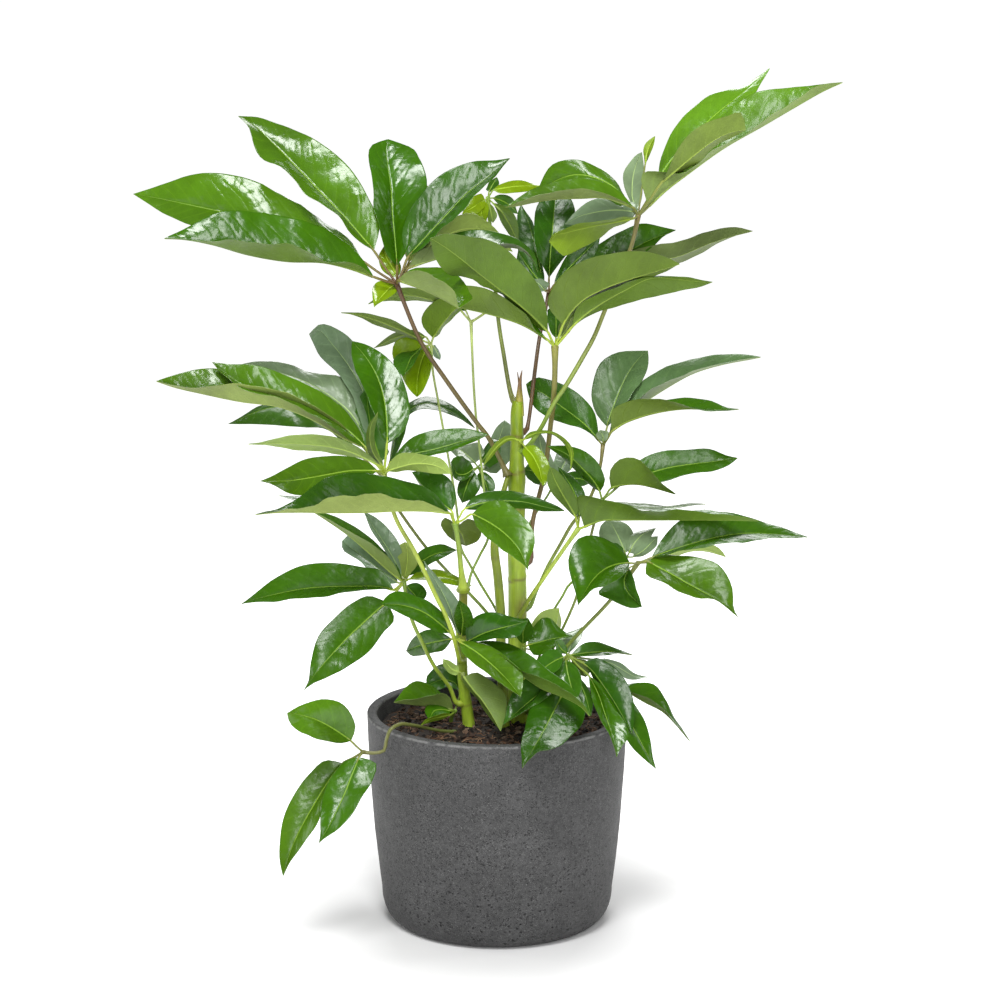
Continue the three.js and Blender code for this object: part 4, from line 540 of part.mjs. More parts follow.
        left: [[126.4,-14.9,483.6],[140.5,-8.2,489.1],[152.7,-12.7,492.7],[160.3,-25.4,488.7],[171.3,-37.3,483.5],[181,-50,480.4]] },
      { rib: [[130.1,-10,479.1],[141.7,-9.6,484.5],[158.6,-9,490.7],[180.9,-8.2,497],[203.7,-7.2,500.6],[226.8,-6.2,503.1],[244.6,-5.5,505.7],[254.8,-5,507.2]],
        right: [[143.3,-16.8,481.5],[161.2,-21.3,482.5],[183.3,-22.6,487.7],[205.4,-20.3,493.1],[228.4,-14.5,495.3],[246.1,-8.2,500.7]],
        left: [[137.9,-6.1,491.6],[152.4,-4.9,505.7],[175.7,-3.6,514.5],[200.9,-2.2,515.5],[225.3,-1.7,516.2],[243.9,-2.8,509.4]] },
      { rib: [[121.9,-7,460.1],[131.9,-4.7,457.5],[145.8,-0.8,453.7],[164.1,4.8,451.6],[182.6,10.8,451],[201.1,17,451.8],[215.6,22.1,451.7],[223.9,25,451.4]],
        right: [[131.3,-10.6,457],[145.3,-10.6,453.6],[163.6,-6.8,450.8],[182,0.2,450.7],[200.6,9.3,451.5],[215.3,18.2,451.7]],
        left: [[132.6,1.2,458.4],[146.5,9.4,455.6],[164.7,16.4,452.6],[183.3,21.2,450.1],[201.7,24.7,451.8],[215.9,25.9,451.7]] },
      { rib: [[108.7,-18.2,473.2],[105.2,-19.2,480.3],[98.9,-20.9,489.4],[89.3,-23.4,500],[79.5,-26,510.3],[68.1,-28.7,518.7],[58.2,-30.9,523],[52.4,-32.2,525.1]],
        right: [[113.9,-19,483.2],[110.5,-19.8,497.2],[101.7,-20.9,510.3],[88,-21,519.7],[72.4,-22.8,523.8],[59.7,-27.2,524.6]],
        left: [[102.3,-14,476.8],[94.3,-12.2,483],[84.6,-13.3,492.5],[75.5,-16.7,503.3],[66,-22.4,513.4],[57.6,-28,520.4]] },
    ],
  },
  {
    name: 'leaf_over_rim', colour: 0x3f7d20,
    petiole: [[-36, -20, 212, 1.9], [-58, -44, 219, 1.9], [-90, -80, 236, 1.9], [-101, -92, 240.5, 1.9], [-111, -101, 237, 1.9], [-116.3, -93, 220.7, 1.9], [-118.3, -92, 211.7, 1.9], [-129.8, -94, 209.5, 1.8], [-140.2, -95, 210.9, 2.1]],
    leaflets: [
      { rib: [[-152.4,-100,224.3],[-158.1,-103.9,230],[-166.2,-110.7,238],[-176.9,-120.3,247.9],[-188,-130.6,256.7],[-199.8,-141.3,263.8],[-209.2,-150,268.2],[-214.6,-155,270.1]],
        right: [[-147.8,-100.7,237.7],[-151.1,-105.2,253.5],[-161.4,-112.4,268.9],[-179,-120,275.3],[-196.1,-130.4,273.6],[-208.6,-143.3,271]],
        left: [[-160.5,-115.2,226.2],[-170.5,-129.5,231.6],[-183.1,-141.5,238.9],[-194.3,-147.6,244.3],[-205.4,-150.3,250.7],[-212.5,-153,260.2]] },
      { rib: [[-161.6,-90,197.4],[-170.4,-92.5,187.5],[-180.9,-96.8,172.6],[-193.4,-102.9,152.8],[-205.1,-109.5,132.7],[-215,-116.3,111.9],[-220.6,-121.8,94.8],[-223.6,-125,85.1]],
        right: [[-179,-89.2,200.4],[-196.3,-93.4,187.2],[-212.1,-99.9,167],[-223.5,-106.5,143.4],[-227.6,-113,116.8],[-226.7,-119.5,96.1]],
        left: [[-165,-101.1,186.8],[-173.4,-111,173],[-182.7,-119.5,152.6],[-193.7,-124.9,132.2],[-207.4,-127.3,112.1],[-218.8,-127.1,96.1]] },
      { rib: [[-143.9,-105,208.5],[-147.5,-108.5,199.9],[-152.5,-114.7,188.4],[-158.5,-123.4,173.7],[-165.7,-132.8,160],[-173,-142.6,146.4],[-179.8,-150.4,136.6],[-183.6,-155,131.1]],
        right: [[-156.7,-104.1,204.9],[-167.8,-107.4,195.3],[-177,-114.5,180.2],[-181.9,-123.1,165.4],[-183.6,-134.2,149.6],[-182.6,-145.6,136.8]],
        left: [[-126.9,-106.6,203.5],[-128.9,-115.9,188.4],[-138.4,-129.7,174.3],[-149.1,-142.7,159.7],[-163,-151.6,146.2],[-176.1,-155.4,137.3]] },
    ],
  },
  {
    name: 'young_shoot', colour: 0xb2cc20,
    petiole: [[24.8, -9.5, 524.1, 1.6], [25.3, -14, 527.1, 2]],
    leaflets: [
      { rib: [[29.5,-20,521.8],[32.6,-22.4,518.7],[36.8,-26.6,514.6],[40.8,-32.5,508.4],[44.2,-38.9,502],[45.9,-45.5,495.1],[47.3,-50.9,489.7],[48,-54,486.7]],
        right: [[26.4,-23.6,517.8],[29.3,-30.9,512.5],[33.2,-39.2,506.8],[37.2,-45.5,501.4],[41.8,-50.7,495.2],[45.8,-53.6,490]],
        left: [[36.8,-21.4,524.3],[43.8,-25.3,521.8],[50.6,-31.6,514.5],[54.9,-38.4,505.6],[55.4,-45.4,496.8],[52.2,-50.9,490.3]] },
      { rib: [[27.4,-19.5,529.1],[33.8,-21.9,534.7],[44.5,-26,538.9],[58.8,-32,539.2],[71,-38.3,532.6],[78.3,-44.9,521.1],[77.6,-50.2,510.6],[77.1,-53.3,504.6]],
        right: [[32.4,-26,537.1],[44,-33.3,541.8],[58.9,-40.5,541.8],[71.7,-46.3,534.8],[79.6,-50.8,522.3],[78.3,-53.2,511.2]],
        left: [[34.8,-18.1,530.5],[44.4,-19,535],[58.1,-23.5,535.9],[68.7,-30.5,529.2],[75,-39,519.5],[76.5,-47.2,509.9]] },
      { rib: [[22.2,-16,528.5],[17.3,-17.3,530.5],[10.6,-19.5,530.3],[3.1,-22.6,525.8],[-3.3,-26,519.8],[-8.8,-29.5,513],[-12.5,-32.4,507.3],[-14.6,-34,504.1]],
        right: [[17.4,-15,527.7],[11.5,-15.4,527.1],[4.6,-17.7,522.7],[-1.5,-21.5,516.8],[-6.9,-26.3,510.6],[-11.8,-30.7,506.3]],
        left: [[18,-19.6,533],[10.1,-23.5,534],[1.3,-27.5,529.6],[-5.3,-30.5,522.9],[-10.4,-32.9,515.1],[-13.2,-34.1,508.3]] },
    ],
  },
  {
    name: 'leaf_back_left', colour: 0x22481c,
    petiole: [[8.6, 8, 441.8, 1.3], [3.2, 14, 452.5, 1.3], [-5.3, 20, 467.7, 1.3], [-12.8, 26, 480.7, 1.2], [-20.3, 30, 490.8, 1.5]],
    leaflets: [
      { rib: [[-23.6,35,494.2],[-26,37.8,496.1],[-29.4,42.8,498.6],[-34,49.8,501.5],[-39,57.2,504],[-44.4,65.1,504.7],[-49.3,71.3,503],[-52.1,75,502]],
        right: [[-14,38.9,501.3],[-15.1,44.6,508],[-19.3,55.1,512.8],[-30.8,66.8,508.6],[-40.8,74.1,505.1],[-48,75.9,502.9]],
        left: [[-27.4,30.8,495],[-32.4,30.6,495.8],[-37.6,35.5,497.7],[-42.9,43.8,499],[-47,55.2,500.8],[-50.2,66.5,501.8]] },
      { rib: [[-24.6,27,489.2],[-27.4,25.8,487.5],[-31.4,23.7,485.1],[-37,20.7,484.2],[-42.9,17.6,486],[-45.6,14.2,492.3],[-47.7,11.6,497.2],[-48.8,10,500]],
        right: [[-28,31,494.5],[-30.4,31,497.2],[-32.7,26.7,499.8],[-35,21.4,502.6],[-37.2,16.8,505.2],[-45.8,12.9,504.1]],
        left: [[-24.5,18.7,485.4],[-30,11.8,482.2],[-37.3,6.7,479.9],[-45.2,4.8,483.6],[-47,5.1,491.2],[-48.2,7,497]] },
      { rib: [[-16,33,495.6],[-14.5,34.6,498.1],[-12.2,37.3,501.3],[-9.3,41.1,505.4],[-6,45.2,509.2],[-2.5,49.5,512.7],[1.2,53,514.6],[3.2,55,515.6]],
        right: [[-9.6,32.9,489.2],[-4,35.5,491.8],[2.3,38.7,495.4],[3.2,42.5,500.4],[4.2,47.1,505.3],[3.7,51.4,511.8]],
        left: [[-17.4,40.2,498.4],[-17,46.8,502.1],[-14.3,52.3,506.8],[-10.3,55.7,511.2],[-5,57.3,515.2],[0.2,56.8,515.3]] },
      { rib: [[-15.1,45,484.6],[-12.1,48.9,489.1],[-7.9,55.7,495],[-2.9,65.3,502.8],[1.4,75.6,510.9],[5,86.3,519.2],[7.3,95,525.8],[8.7,100,529.6]],
        right: [[-3,47.2,480],[5.3,53.7,485.1],[14.4,62,492.9],[16.3,71.8,505.1],[16.9,84.5,516.5],[15.1,94.8,524.9]],
        left: [[-14.6,56.1,488.9],[-13.3,67.9,495.4],[-9.5,79.6,503.4],[-5.7,88.8,512],[-2.1,95.9,520.8],[4.1,99.8,526.5]] },
      { rib: [[-18.2,26,486.1],[-16.9,25.2,483.7],[-15.2,23.9,480.5],[-13.2,21.9,476.3],[-11.4,19.9,472],[-10,17.7,467.6],[-9,16,464.1],[-8.5,15,462.1]],
        right: [[-21.3,23.1,483.3],[-20.2,19.1,480.2],[-18.9,15.6,475.8],[-16.6,13.9,471.5],[-12.9,13.3,467.5],[-10.1,13.7,464.2]],
        left: [[-13.3,27.2,485.9],[-9.1,26.3,483.3],[-4.6,23.3,479.4],[-2.2,20.4,474.3],[-2.4,18,468.7],[-6.3,16.1,464.5]] },
      { rib: [[-24.6,25,487.4],[-26.3,23.2,484.4],[-28.7,20.2,480.4],[-31.5,15.8,475.2],[-33.6,11.1,469.8],[-35.5,6.2,464.3],[-36.5,2.3,460],[-37.1,0,457.6]],
        right: [[-28.6,28.3,484.7],[-33.6,28.7,481.1],[-39.5,25.4,476.3],[-41.7,19.5,470.3],[-41.8,12,464.3],[-38.8,5.3,459.8]],
        left: [[-21.3,20.7,483.3],[-18.1,18.4,477.2],[-18.1,15,470.8],[-21.5,10.4,465.6],[-26.4,5.1,461.1],[-33.2,1.1,459]] },
    ],
  },
  {
    name: 'leaf_back_right', colour: 0x2c5522,
    petiole: [[32, 7, 428.9, 1.3], [36.3, 13, 435.3, 1.3], [43.9, 20, 445.9, 1.3], [54.7, 29, 460.4, 1.2], [63.3, 35, 475.6, 1.5]],
    leaflets: [
      { rib: [[58,40,480.1],[56.1,42.8,484.3],[53.4,47.8,490],[50.5,54.8,497.5],[47.7,62.2,504.9],[46.2,70.1,512.6],[45.1,76.3,518.6],[44.5,80,522.1]],
        right: [[62.1,43.5,485.1],[61.4,50.6,490.9],[58,60,498],[54.9,67.6,505.3],[51.5,73.9,512.9],[47,78.5,518.6]],
        left: [[50.3,42.2,480.7],[45.4,47.1,486],[40.5,54.2,493.7],[38,61.9,502.6],[39,69.5,511.4],[42.4,75.5,518.3]] },
      { rib: [[54.7,32,477.3],[52.2,31.5,479],[48.7,30.6,481.3],[44.1,29.4,484.2],[39.2,28.1,486.6],[34.2,26.7,488.1],[30.1,25.6,488.3],[27.8,25,488.5]],
        right: [[53.8,35.7,480.6],[52.6,37.6,486],[47.4,36.9,490.2],[41.8,33.6,494.5],[33.9,29.7,494.8],[30,27.2,490.7]],
        left: [[51.6,29.8,470.3],[46.5,28.7,471.3],[40.2,27.3,473.1],[36.4,26.1,476.3],[32.6,25,479.4],[29.6,25,484.9]] },
      { rib: [[66.7,43,480.6],[68.1,46,482.9],[70.2,51.1,486],[72.9,58.5,489.7],[75.6,66.3,493.5],[76.3,74.6,497.4],[75.5,81.2,500.6],[75,85,502.4]],
        right: [[72,42.1,480.8],[76.8,44.9,483.1],[81.5,51.5,487],[83.9,60.2,492.5],[82.3,70.4,499.3],[77.7,78.8,501.4]],
        left: [[62.7,44.7,484.3],[60.8,50.5,488.5],[62,59.1,493.3],[63.7,67.3,497.3],[66.4,75.3,500],[68.8,81.6,502]] },
      { rib: [[70.8,32,476.2],[73.8,32.9,476.6],[78.2,34.5,477.2],[83.8,36.8,477.2],[89.5,39.2,476.2],[94.9,41.8,474.1],[98.9,43.8,471.7],[101.2,45,470.4]],
        right: [[72.1,31.6,469.7],[76.5,33,469.4],[82.1,35.2,469],[87.5,37.8,468.5],[92.9,40.6,467.9],[98.1,43.4,469.4]],
        left: [[71.7,34.2,481.6],[76.8,36.8,483.3],[83.7,40.1,484.3],[90.3,42.7,482.4],[95.8,44.7,478.2],[99.3,45.6,473.1]] },
      { rib: [[65.5,35,469.1],[68.2,36.4,466.7],[72,38.9,463.3],[76.7,42.4,458.6],[81.1,46.1,453.4],[85.2,50,447.9],[88.1,53.2,443.4],[89.8,55,440.8]],
        right: [[63.7,35.8,463.3],[66.4,38.1,458.8],[70.9,41.5,453.7],[75.8,45.3,448.9],[80.8,49.2,444.3],[86.5,52.6,442.1]],
        left: [[70.4,37.4,471.9],[75.4,40.1,469.7],[81.2,43.5,464.6],[85.8,46.9,458.2],[88.8,50.9,450.9],[89.4,54,444.4]] },
    ],
  },
];

// ---- solids -------------------------------------------------------------------
const wasm = await Module();
wasm.setup();

const vec = (p) => new THREE.Vector3(p[0], p[1], p[2]);

function solid(geometry) {
  const g = geometry.clone();
  g.deleteAttribute('normal');
  g.deleteAttribute('uv');
  const merged = mergeVertices(g, 1e-4);
  const positions = new Float32Array(merged.attributes.position.array);
  const index = Array.from(merged.index.array);
  const triangles = [];
  for (let i = 0; i < index.length; i += 3) {
    const [a, b, c] = [index[i], index[i + 1], index[i + 2]];
    if (a !== b && b !== c && c !== a) triangles.push(a, b, c);
  }
  let volume = 0;
  const A = new THREE.Vector3(), B = new THREE.Vector3(), C = new THREE.Vector3();
  for (let i = 0; i < triangles.length; i += 3) {
    A.fromArray(positions, 3 * triangles[i]);
    B.fromArray(positions, 3 * triangles[i + 1]);
    C.fromArray(positions, 3 * triangles[i + 2]);
    volume += A.dot(B.clone().cross(C));
  }
  if (volume < 0) {
    for (let i = 0; i < triangles.length; i += 3) {
      [triangles[i + 1], triangles[i + 2]] = [triangles[i + 2], triangles[i + 1]];
    }
  }
  return new wasm.Manifold(new wasm.Mesh({
    numProp: 3, vertProperties: positions, triVerts: Uint32Array.from(triangles),
  }));
}

function toGeometry(manifold) {
  const mesh = manifold.getMesh();
  const g = new THREE.BufferGeometry();
  const positions = new Float64Array(3 * (mesh.vertProperties.length / mesh.numProp));
  for (let i = 0; i < positions.length / 3; i++) {
    for (let k = 0; k < 3; k++) {
      positions[3 * i + k] = Math.round(1000 * mesh.vertProperties[mesh.numProp * i + k]) / 1000;
    }
  }
  g.setAttribute('position', new THREE.BufferAttribute(positions, 3));
  // lowest triangles first
  const corner = (i) => new THREE.Vector3().fromArray(positions, 3 * mesh.triVerts[i]);
  const order = [];
  for (let i = 0; i < mesh.triVerts.length; i += 3) {
    order.push([corner(i).z + corner(i + 1).z + corner(i + 2).z, i]);
  }
  order.sort((a, b) => a[0] - b[0]);
  g.setIndex(order.flatMap(([, i]) => Array.from(mesh.triVerts.slice(i, i + 3))));
  g.computeVertexNormals();
  return g;
}

// a closed body through rings of points, with a single point at each end
// (a blade's two faces share their diagonals, so that they stay parallel)
function skin(start, rings, end, blade = false) {
  const points = [start, ...rings.flat(), end];
  const n = rings[0].length;
  const index = [];
  const at = (ring, k) => 1 + ring * n + (k % n);
  for (let k = 0; k < n; k++) index.push(0, at(0, k + 1), at(0, k));
  for (let r = 0; r + 1 < rings.length; r++) {
    for (let k = 0; k < n; k++) {
      const a = at(r, k), b = at(r, k + 1), c = at(r + 1, k + 1), d = at(r + 1, k);
      const under = blade && k > 2 && k < 5;
      const [i, j] = under ? [4 - k, 5 - k] : [k, k + 1];
      const turned = blade && points[at(r, j)].distanceTo(points[at(r + 1, i)]) < points[at(r, i)].distanceTo(points[at(r + 1, j)]);
      if (turned !== under) index.push(a, b, d, b, c, d);
      else index.push(a, b, c, a, c, d);
    }
  }
  const last = points.length - 1;
  for (let k = 0; k < n; k++) index.push(last, at(rings.length - 1, k), at(rings.length - 1, k + 1));
  const g = new THREE.BufferGeometry().setFromPoints(points);
  g.setIndex(index);
  return g;
}

// a tapered tube along a smooth centre line, closed at both ends
function tube(path, sides, steps, grow = 0) {
  const curve = new THREE.CatmullRomCurve3(path.map(vec), false, 'centripetal');
  const frames = curve.computeFrenetFrames(steps, false);
  const rings = [];
  for (let i = 0; i <= steps; i++) {
    const t = i / steps;
    const u = curve.getUtoTmapping(t) * (path.length - 1);
    const k = Math.min(Math.floor(u), path.length - 2);
    const radius = grow + THREE.MathUtils.lerp(path[k][3], path[k + 1][3], u - k);
    const centre = curve.getPointAt(t);
    const ring = [];
    for (let s = 0; s < sides; s++) {
      const a = (2 * Math.PI * s) / sides;
      ring.push(centre.clone()
        .addScaledVector(frames.normals[i], radius * Math.cos(a))
        .addScaledVector(frames.binormals[i], radius * Math.sin(a)));
    }
    rings.push(ring);
  }
  return skin(curve.getPointAt(0), rings, curve.getPointAt(1));
}

// a leaflet on its stalk: a thin blade, thickest along its midrib, drawn out at the base into the stalk that leads to the hub
function leafletBody(hub, { rib, right, left }, thick) {
  const length = vec(rib[0]).distanceTo(vec(rib[rib.length - 1]));
  const stations = length > 115 ? [1, 2, 3, 4, 5, 6] : length > 60 ? [1, 3, 4, 6] : [1, 3, 5];
  const rings = [];
  for (const i of stations) {
    const m = vec(rib[i]), r = vec(right[i - 1]), l = vec(left[i - 1]);
    const along = vec(rib[i + 1]).sub(vec(rib[i - 1])).normalize();
    const upRight = r.clone().sub(m).normalize().cross(along).normalize();
    const upLeft = along.clone().cross(l.clone().sub(m).normalize()).normalize();
    const up = upRight.clone().add(upLeft).normalize();
    const middle = thick / Math.max(0.55, up.dot(upRight));
    rings.push([
      r.clone().addScaledVector(upRight, MARGIN), m.clone().addScaledVector(up, middle), l.clone().addScaledVector(upLeft, MARGIN),
      l.clone().addScaledVector(upLeft, -MARGIN), m.clone().addScaledVector(up, -middle), r.clone().addScaledVector(upRight, -MARGIN),
    ]);
  }
  const foot = vec([hub[0], hub[1], hub[2]]), base = vec(rib[0]);
  const reach = base.clone().sub(foot);
  const across = vec(right[0]).sub(vec(left[0])).normalize();
  const ringAt = (centre, along) => {
    const side = across.clone().addScaledVector(along, -across.dot(along)).normalize();
    const up = side.clone().cross(along).normalize();
    return [20, 90, 160, 200, 270, 340].map((degrees) => {
      const a = THREE.MathUtils.degToRad(degrees);
      return centre.clone()
        .addScaledVector(side, STALK_RADIUS * Math.cos(a))
        .addScaledVector(up, STALK_RADIUS * Math.sin(a));
    });
  };
  const into = vec(rib[1]).sub(base).normalize();
  const far = reach.length() > 2.5;
  const along = far ? reach.clone().normalize() : into;
  rings.unshift(ringAt(far ? base : base.clone().addScaledVector(into, 1), along.clone().add(into).normalize()));
  if (far) rings.unshift(ringAt(foot, along));
  return skin(foot.clone().addScaledVector(along, -0.8), rings, vec(rib[rib.length - 1]), true);
}

// closes up edges too short to matter, where two shapes were joined
function tidy(manifold, shortest = 0.12) {
  const mesh = manifold.getMesh();
  const count = mesh.vertProperties.length / mesh.numProp;
  const point = [];
  for (let i = 0; i < count; i++) {
    point.push(new THREE.Vector3().fromArray(mesh.vertProperties, mesh.numProp * i));
  }
  let triangles = [];
  for (let i = 0; i < mesh.triVerts.length; i += 3) triangles.push(Array.from(mesh.triVerts.slice(i, i + 3)));
  for (let pass = 0; pass < 400; pass++) {
    const around = new Map();
    for (const t of triangles) {
      for (let k = 0; k < 3; k++) {
        if (!around.has(t[k])) around.set(t[k], new Set());
        around.get(t[k]).add(t[(k + 1) % 3]).add(t[(k + 2) % 3]);
      }
    }
    let keep = -1, drop = -1, best = shortest;
    for (const t of triangles) {
      for (let k = 0; k < 3; k++) {
        const a = t[k], b = t[(k + 1) % 3], length = point[a].distanceTo(point[b]);
        if (length >= best) continue;
        const shared = [...around.get(a)].filter((v) => around.get(b).has(v));
        if (shared.length === 2) [keep, drop, best] = [a, b, length];
      }
    }
    if (keep < 0) break;
    point[keep].add(point[drop]).multiplyScalar(0.5);
    triangles = triangles.map((t) => t.map((v) => (v === drop ? keep : v)))
      .filter((t) => t[0] !== t[1] && t[1] !== t[2] && t[2] !== t[0]);
  }
  const g = new THREE.BufferGeometry().setFromPoints(point);
  g.setIndex(triangles.flat());
  return solid(g);
}

// the lowest height of any triangle of a body, or the least distance of two corners
function slimmest(manifold) {
  const mesh = manifold.getMesh();
  const at = (i) => new THREE.Vector3().fromArray(mesh.vertProperties, mesh.numProp * mesh.triVerts[i]);
  let low = Infinity;
  const corners = [...new Set(mesh.triVerts)]
    .map((i) => new THREE.Vector3().fromArray(mesh.vertProperties, mesh.numProp * i));
  corners.sort((a, b) => a.x - b.x);
  for (let i = 0; i < corners.length; i++) {
    for (let j = i + 1; j < corners.length && corners[j].x - corners[i].x < 0.1; j++) {
      low = Math.min(low, corners[i].distanceTo(corners[j]));
    }
  }
  for (let i = 0; i < mesh.triVerts.length; i += 3) {
    const t = new THREE.Triangle(at(i), at(i + 1), at(i + 2));
    const longest = Math.max(t.a.distanceTo(t.b), t.b.distanceTo(t.c), t.c.distanceTo(t.a));
    low = Math.min(low, (2 * t.getArea()) / longest);
  }
  return low;
}

function compoundLeaf(leaf) {
  const hub = leaf.petiole[leaf.petiole.length - 1];
  const stalk = solid(tube(leaf.petiole, TUBE_SIDES, Math.max(2, Math.min(9, leaf.petiole.length))));
  let best = null, clean = -1;
  for (const thick of BLADES) {
    const knob = new THREE.IcosahedronGeometry(hub[3] * (1 + thick / 3), 0);
    knob.translate(hub[0], hub[1], hub[2]);
    let body = solid(knob).add(stalk);
    for (const leaflet of leaf.leaflets) body = body.add(solid(leafletBody(hub, leaflet, thick)));
    body = tidy(body.simplify(0.1));
    const low = slimmest(body);
    if (low > clean) [best, clean] = [body, low];
    if (clean > 0.03) break;
  }
  return best;
}

// ---- the pot: one turned wall with a rounded heel and a rounded, open rim --------
function potProfile() {
  const p = [new THREE.Vector2(0, 0), new THREE.Vector2(BASE_RADIUS, 0)];
  for (let i = 1; i <= 5; i++) {
    const a = (i / 5) * Math.PI / 2;
    p.push(new THREE.Vector2(
      BASE_RADIUS + (HEEL_RADIUS - BASE_RADIUS) * Math.sin(a) ** (2 / HEEL_POWER),
      HEEL_HEIGHT * (1 - Math.cos(a) ** (2 / HEEL_POWER))));
  }
  for (let i = 1; i <= 2; i++) {
    const s = i / 3;
    p.push(new THREE.Vector2(HEEL_RADIUS + (RIM_RADIUS - HEEL_RADIUS) * s + WALL_BULGE * 4 * s * (1 - s),
      HEEL_HEIGHT + (POT_HEIGHT - HEEL_HEIGHT) * s));
  }
  p.push(new THREE.Vector2(RIM_RADIUS, POT_HEIGHT - LIP));
  p.push(new THREE.Vector2(RIM_RADIUS - LIP, POT_HEIGHT));
  p.push(new THREE.Vector2(RIM_RADIUS - WALL + LIP, POT_HEIGHT));
  p.push(new THREE.Vector2(RIM_RADIUS - WALL, POT_HEIGHT - LIP));
  p.push(new THREE.Vector2(RIM_RADIUS - WALL - 1.5, SOIL_TOP));
  p.push(new THREE.Vector2(HEEL_RADIUS - WALL, HEEL_HEIGHT + 10));
  p.push(new THREE.Vector2(BASE_RADIUS - 2, FLOOR));
  p.push(new THREE.Vector2(0, FLOOR));
  return p;
}

function soilBody() {
  const inner = (z) => THREE.MathUtils.mapLinear(z, HEEL_HEIGHT + 10, SOIL_TOP, HEEL_RADIUS - WALL, RIM_RADIUS - WALL - 1.5) - 2.5 * GAP;
  const profile = [
    new THREE.Vector2(0, FLOOR + GAP),
    new THREE.Vector2(BASE_RADIUS - 3.5, FLOOR + GAP),
    new THREE.Vector2(inner(HEEL_HEIGHT + 10), HEEL_HEIGHT + 10 + 2 * GAP),
    new THREE.Vector2(inner(SOIL_TOP - 1), SOIL_TOP - 1),
    new THREE.Vector2(60, SOIL_TOP - 1 + 0.6 * SOIL_DOME),
    new THREE.Vector2(0, SOIL_TOP - 1 + SOIL_DOME),
  ];
  return solid(new THREE.LatheGeometry(profile, POT_SIDES).rotateX(Math.PI / 2));
}

// the main stem ends in the dried, split sheath of its last leaf
function stemBody(stem) {
  let body = solid(tube(stem.path, STEM_SIDES, 9));
  if (stem.name === 'main_stem') {
    const top = stem.path[stem.path.length - 1];
    body = body
      .add(solid(tube([[top[0] + 1, top[1], top[2] - 5, 4.2], [top[0] + 2, top[1], top[2] + 8, 3], [top[0] + 2, top[1], top[2] + 20, 1.6], [top[0] + 4.4, top[1] - 1, top[2] + 33, 0.7]], 5, 3)))
      .add(solid(tube([[top[0] + 1, top[1], top[2] + 8, 1.8], [top[0] + 0.5, top[1] + 1, top[2] + 20, 1.2], [top[0] - 0.6, top[1] + 1.5, top[2] + 32, 0.6]], 4, 2)));
  }
  return body;
}

// ---- the assembly -----------------------------------------------------------------
const group = new THREE.Group();
function place(name, body, colour, roughness) {
  const mesh = new THREE.Mesh(toGeometry(body), new THREE.MeshStandardMaterial({ color: colour, roughness, metalness: 0 }));
  mesh.name = name;
  group.add(mesh);
  return mesh;
}

place('pot', solid(new THREE.LatheGeometry(potProfile(), POT_SIDES).rotateX(Math.PI / 2)), 0x4f5052, 0.85);

// every stem and stalk that rises from the soil stands in a socket in it
let soil = soilBody();
for (const { path, sides } of [
  ...STEMS.map((stem) => ({ path: stem.path, sides: STEM_SIDES })),
  ...LEAVES.filter((leaf) => leaf.petiole[0][2] < SOIL_TOP + SOIL_DOME).map((leaf) => ({ path: leaf.petiole, sides: TUBE_SIDES })),
]) {
  const [first, second, third] = path;
  const below = vec(first).addScaledVector(vec(first).sub(vec(second)).normalize(), 3 * GAP);
  soil = soil.subtract(solid(tube([[...below, first[3]], first, second, third], sides, 6, GAP)));
}
soil = tidy(soil);
place('soil', soil, 0x3a2a22, 0.95);

for (const stem of STEMS) place(stem.name, stemBody(stem), stem.colour, 0.5);
for (const leaf of LEAVES) place(leaf.name, compoundLeaf(leaf), leaf.colour, 0.35);

export default group;
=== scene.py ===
"""Looks of a potted umbrella plant: glossy compound leaves, green stems, bark-and-fibre
soil and a washed fibre-clay planter, on a white floor under soft studio light."""
import bpy
import math
import random
import numpy as np
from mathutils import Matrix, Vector, noise


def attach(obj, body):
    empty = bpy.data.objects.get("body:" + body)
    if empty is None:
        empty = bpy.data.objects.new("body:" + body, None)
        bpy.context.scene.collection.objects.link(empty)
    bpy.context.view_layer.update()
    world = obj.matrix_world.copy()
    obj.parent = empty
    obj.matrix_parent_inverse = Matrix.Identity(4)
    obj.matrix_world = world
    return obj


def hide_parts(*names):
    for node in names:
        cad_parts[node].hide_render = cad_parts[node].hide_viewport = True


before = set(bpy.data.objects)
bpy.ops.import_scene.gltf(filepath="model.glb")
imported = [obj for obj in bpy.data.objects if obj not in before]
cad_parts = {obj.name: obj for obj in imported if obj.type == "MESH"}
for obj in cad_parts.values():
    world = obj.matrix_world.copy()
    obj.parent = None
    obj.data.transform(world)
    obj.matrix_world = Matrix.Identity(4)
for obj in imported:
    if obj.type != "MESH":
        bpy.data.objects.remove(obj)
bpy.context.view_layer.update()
MM = 0.001
rng = random.Random(7)


# ---------------------------------------------------------------- shape tables, millimetres
STEMS = {
    'main_stem': [(22.7, 4, 195.1, 10.80), (22.1, 3, 240.2, 10.40), (21.5, 1, 296.3, 10.00), (21.9, -0, 351.7, 10.00), (21.3, 0, 406.5, 9.30), (20.8, 0, 444.6, 8.70), (20.7, 0, 482.5, 8.20), (21.2, -0, 525.6, 7.00), (21.2, 0, 555.6, 6.60), (22.2, 0, 567.4, 5.60)],
    'second_stem': [(8.6, -12, 202, 5.60), (6.4, -15, 256.2, 5.40), (4.3, -17, 300.9, 5.30), (3.8, -18, 342.9, 5.20), (0.6, -20, 383.7, 4.80), (-2.6, -22, 413.5, 4.40), (1.1, -20, 448.7, 3.40), (7.5, -16, 474.9, 2.80), (11.7, -12.5, 489.2, 2.40)],
    'left_stem': [(-29.1, -5, 203.3, 7.00), (-32.2, -9, 232.4, 6.40), (-35.3, -14, 255.9, 6.00), (-37.3, -20, 285.2, 5.60), (-37.2, -27, 314.5, 5.20), (-35.9, -35, 347, 4.90), (-35.4, -42, 372.6, 4.60)],
}
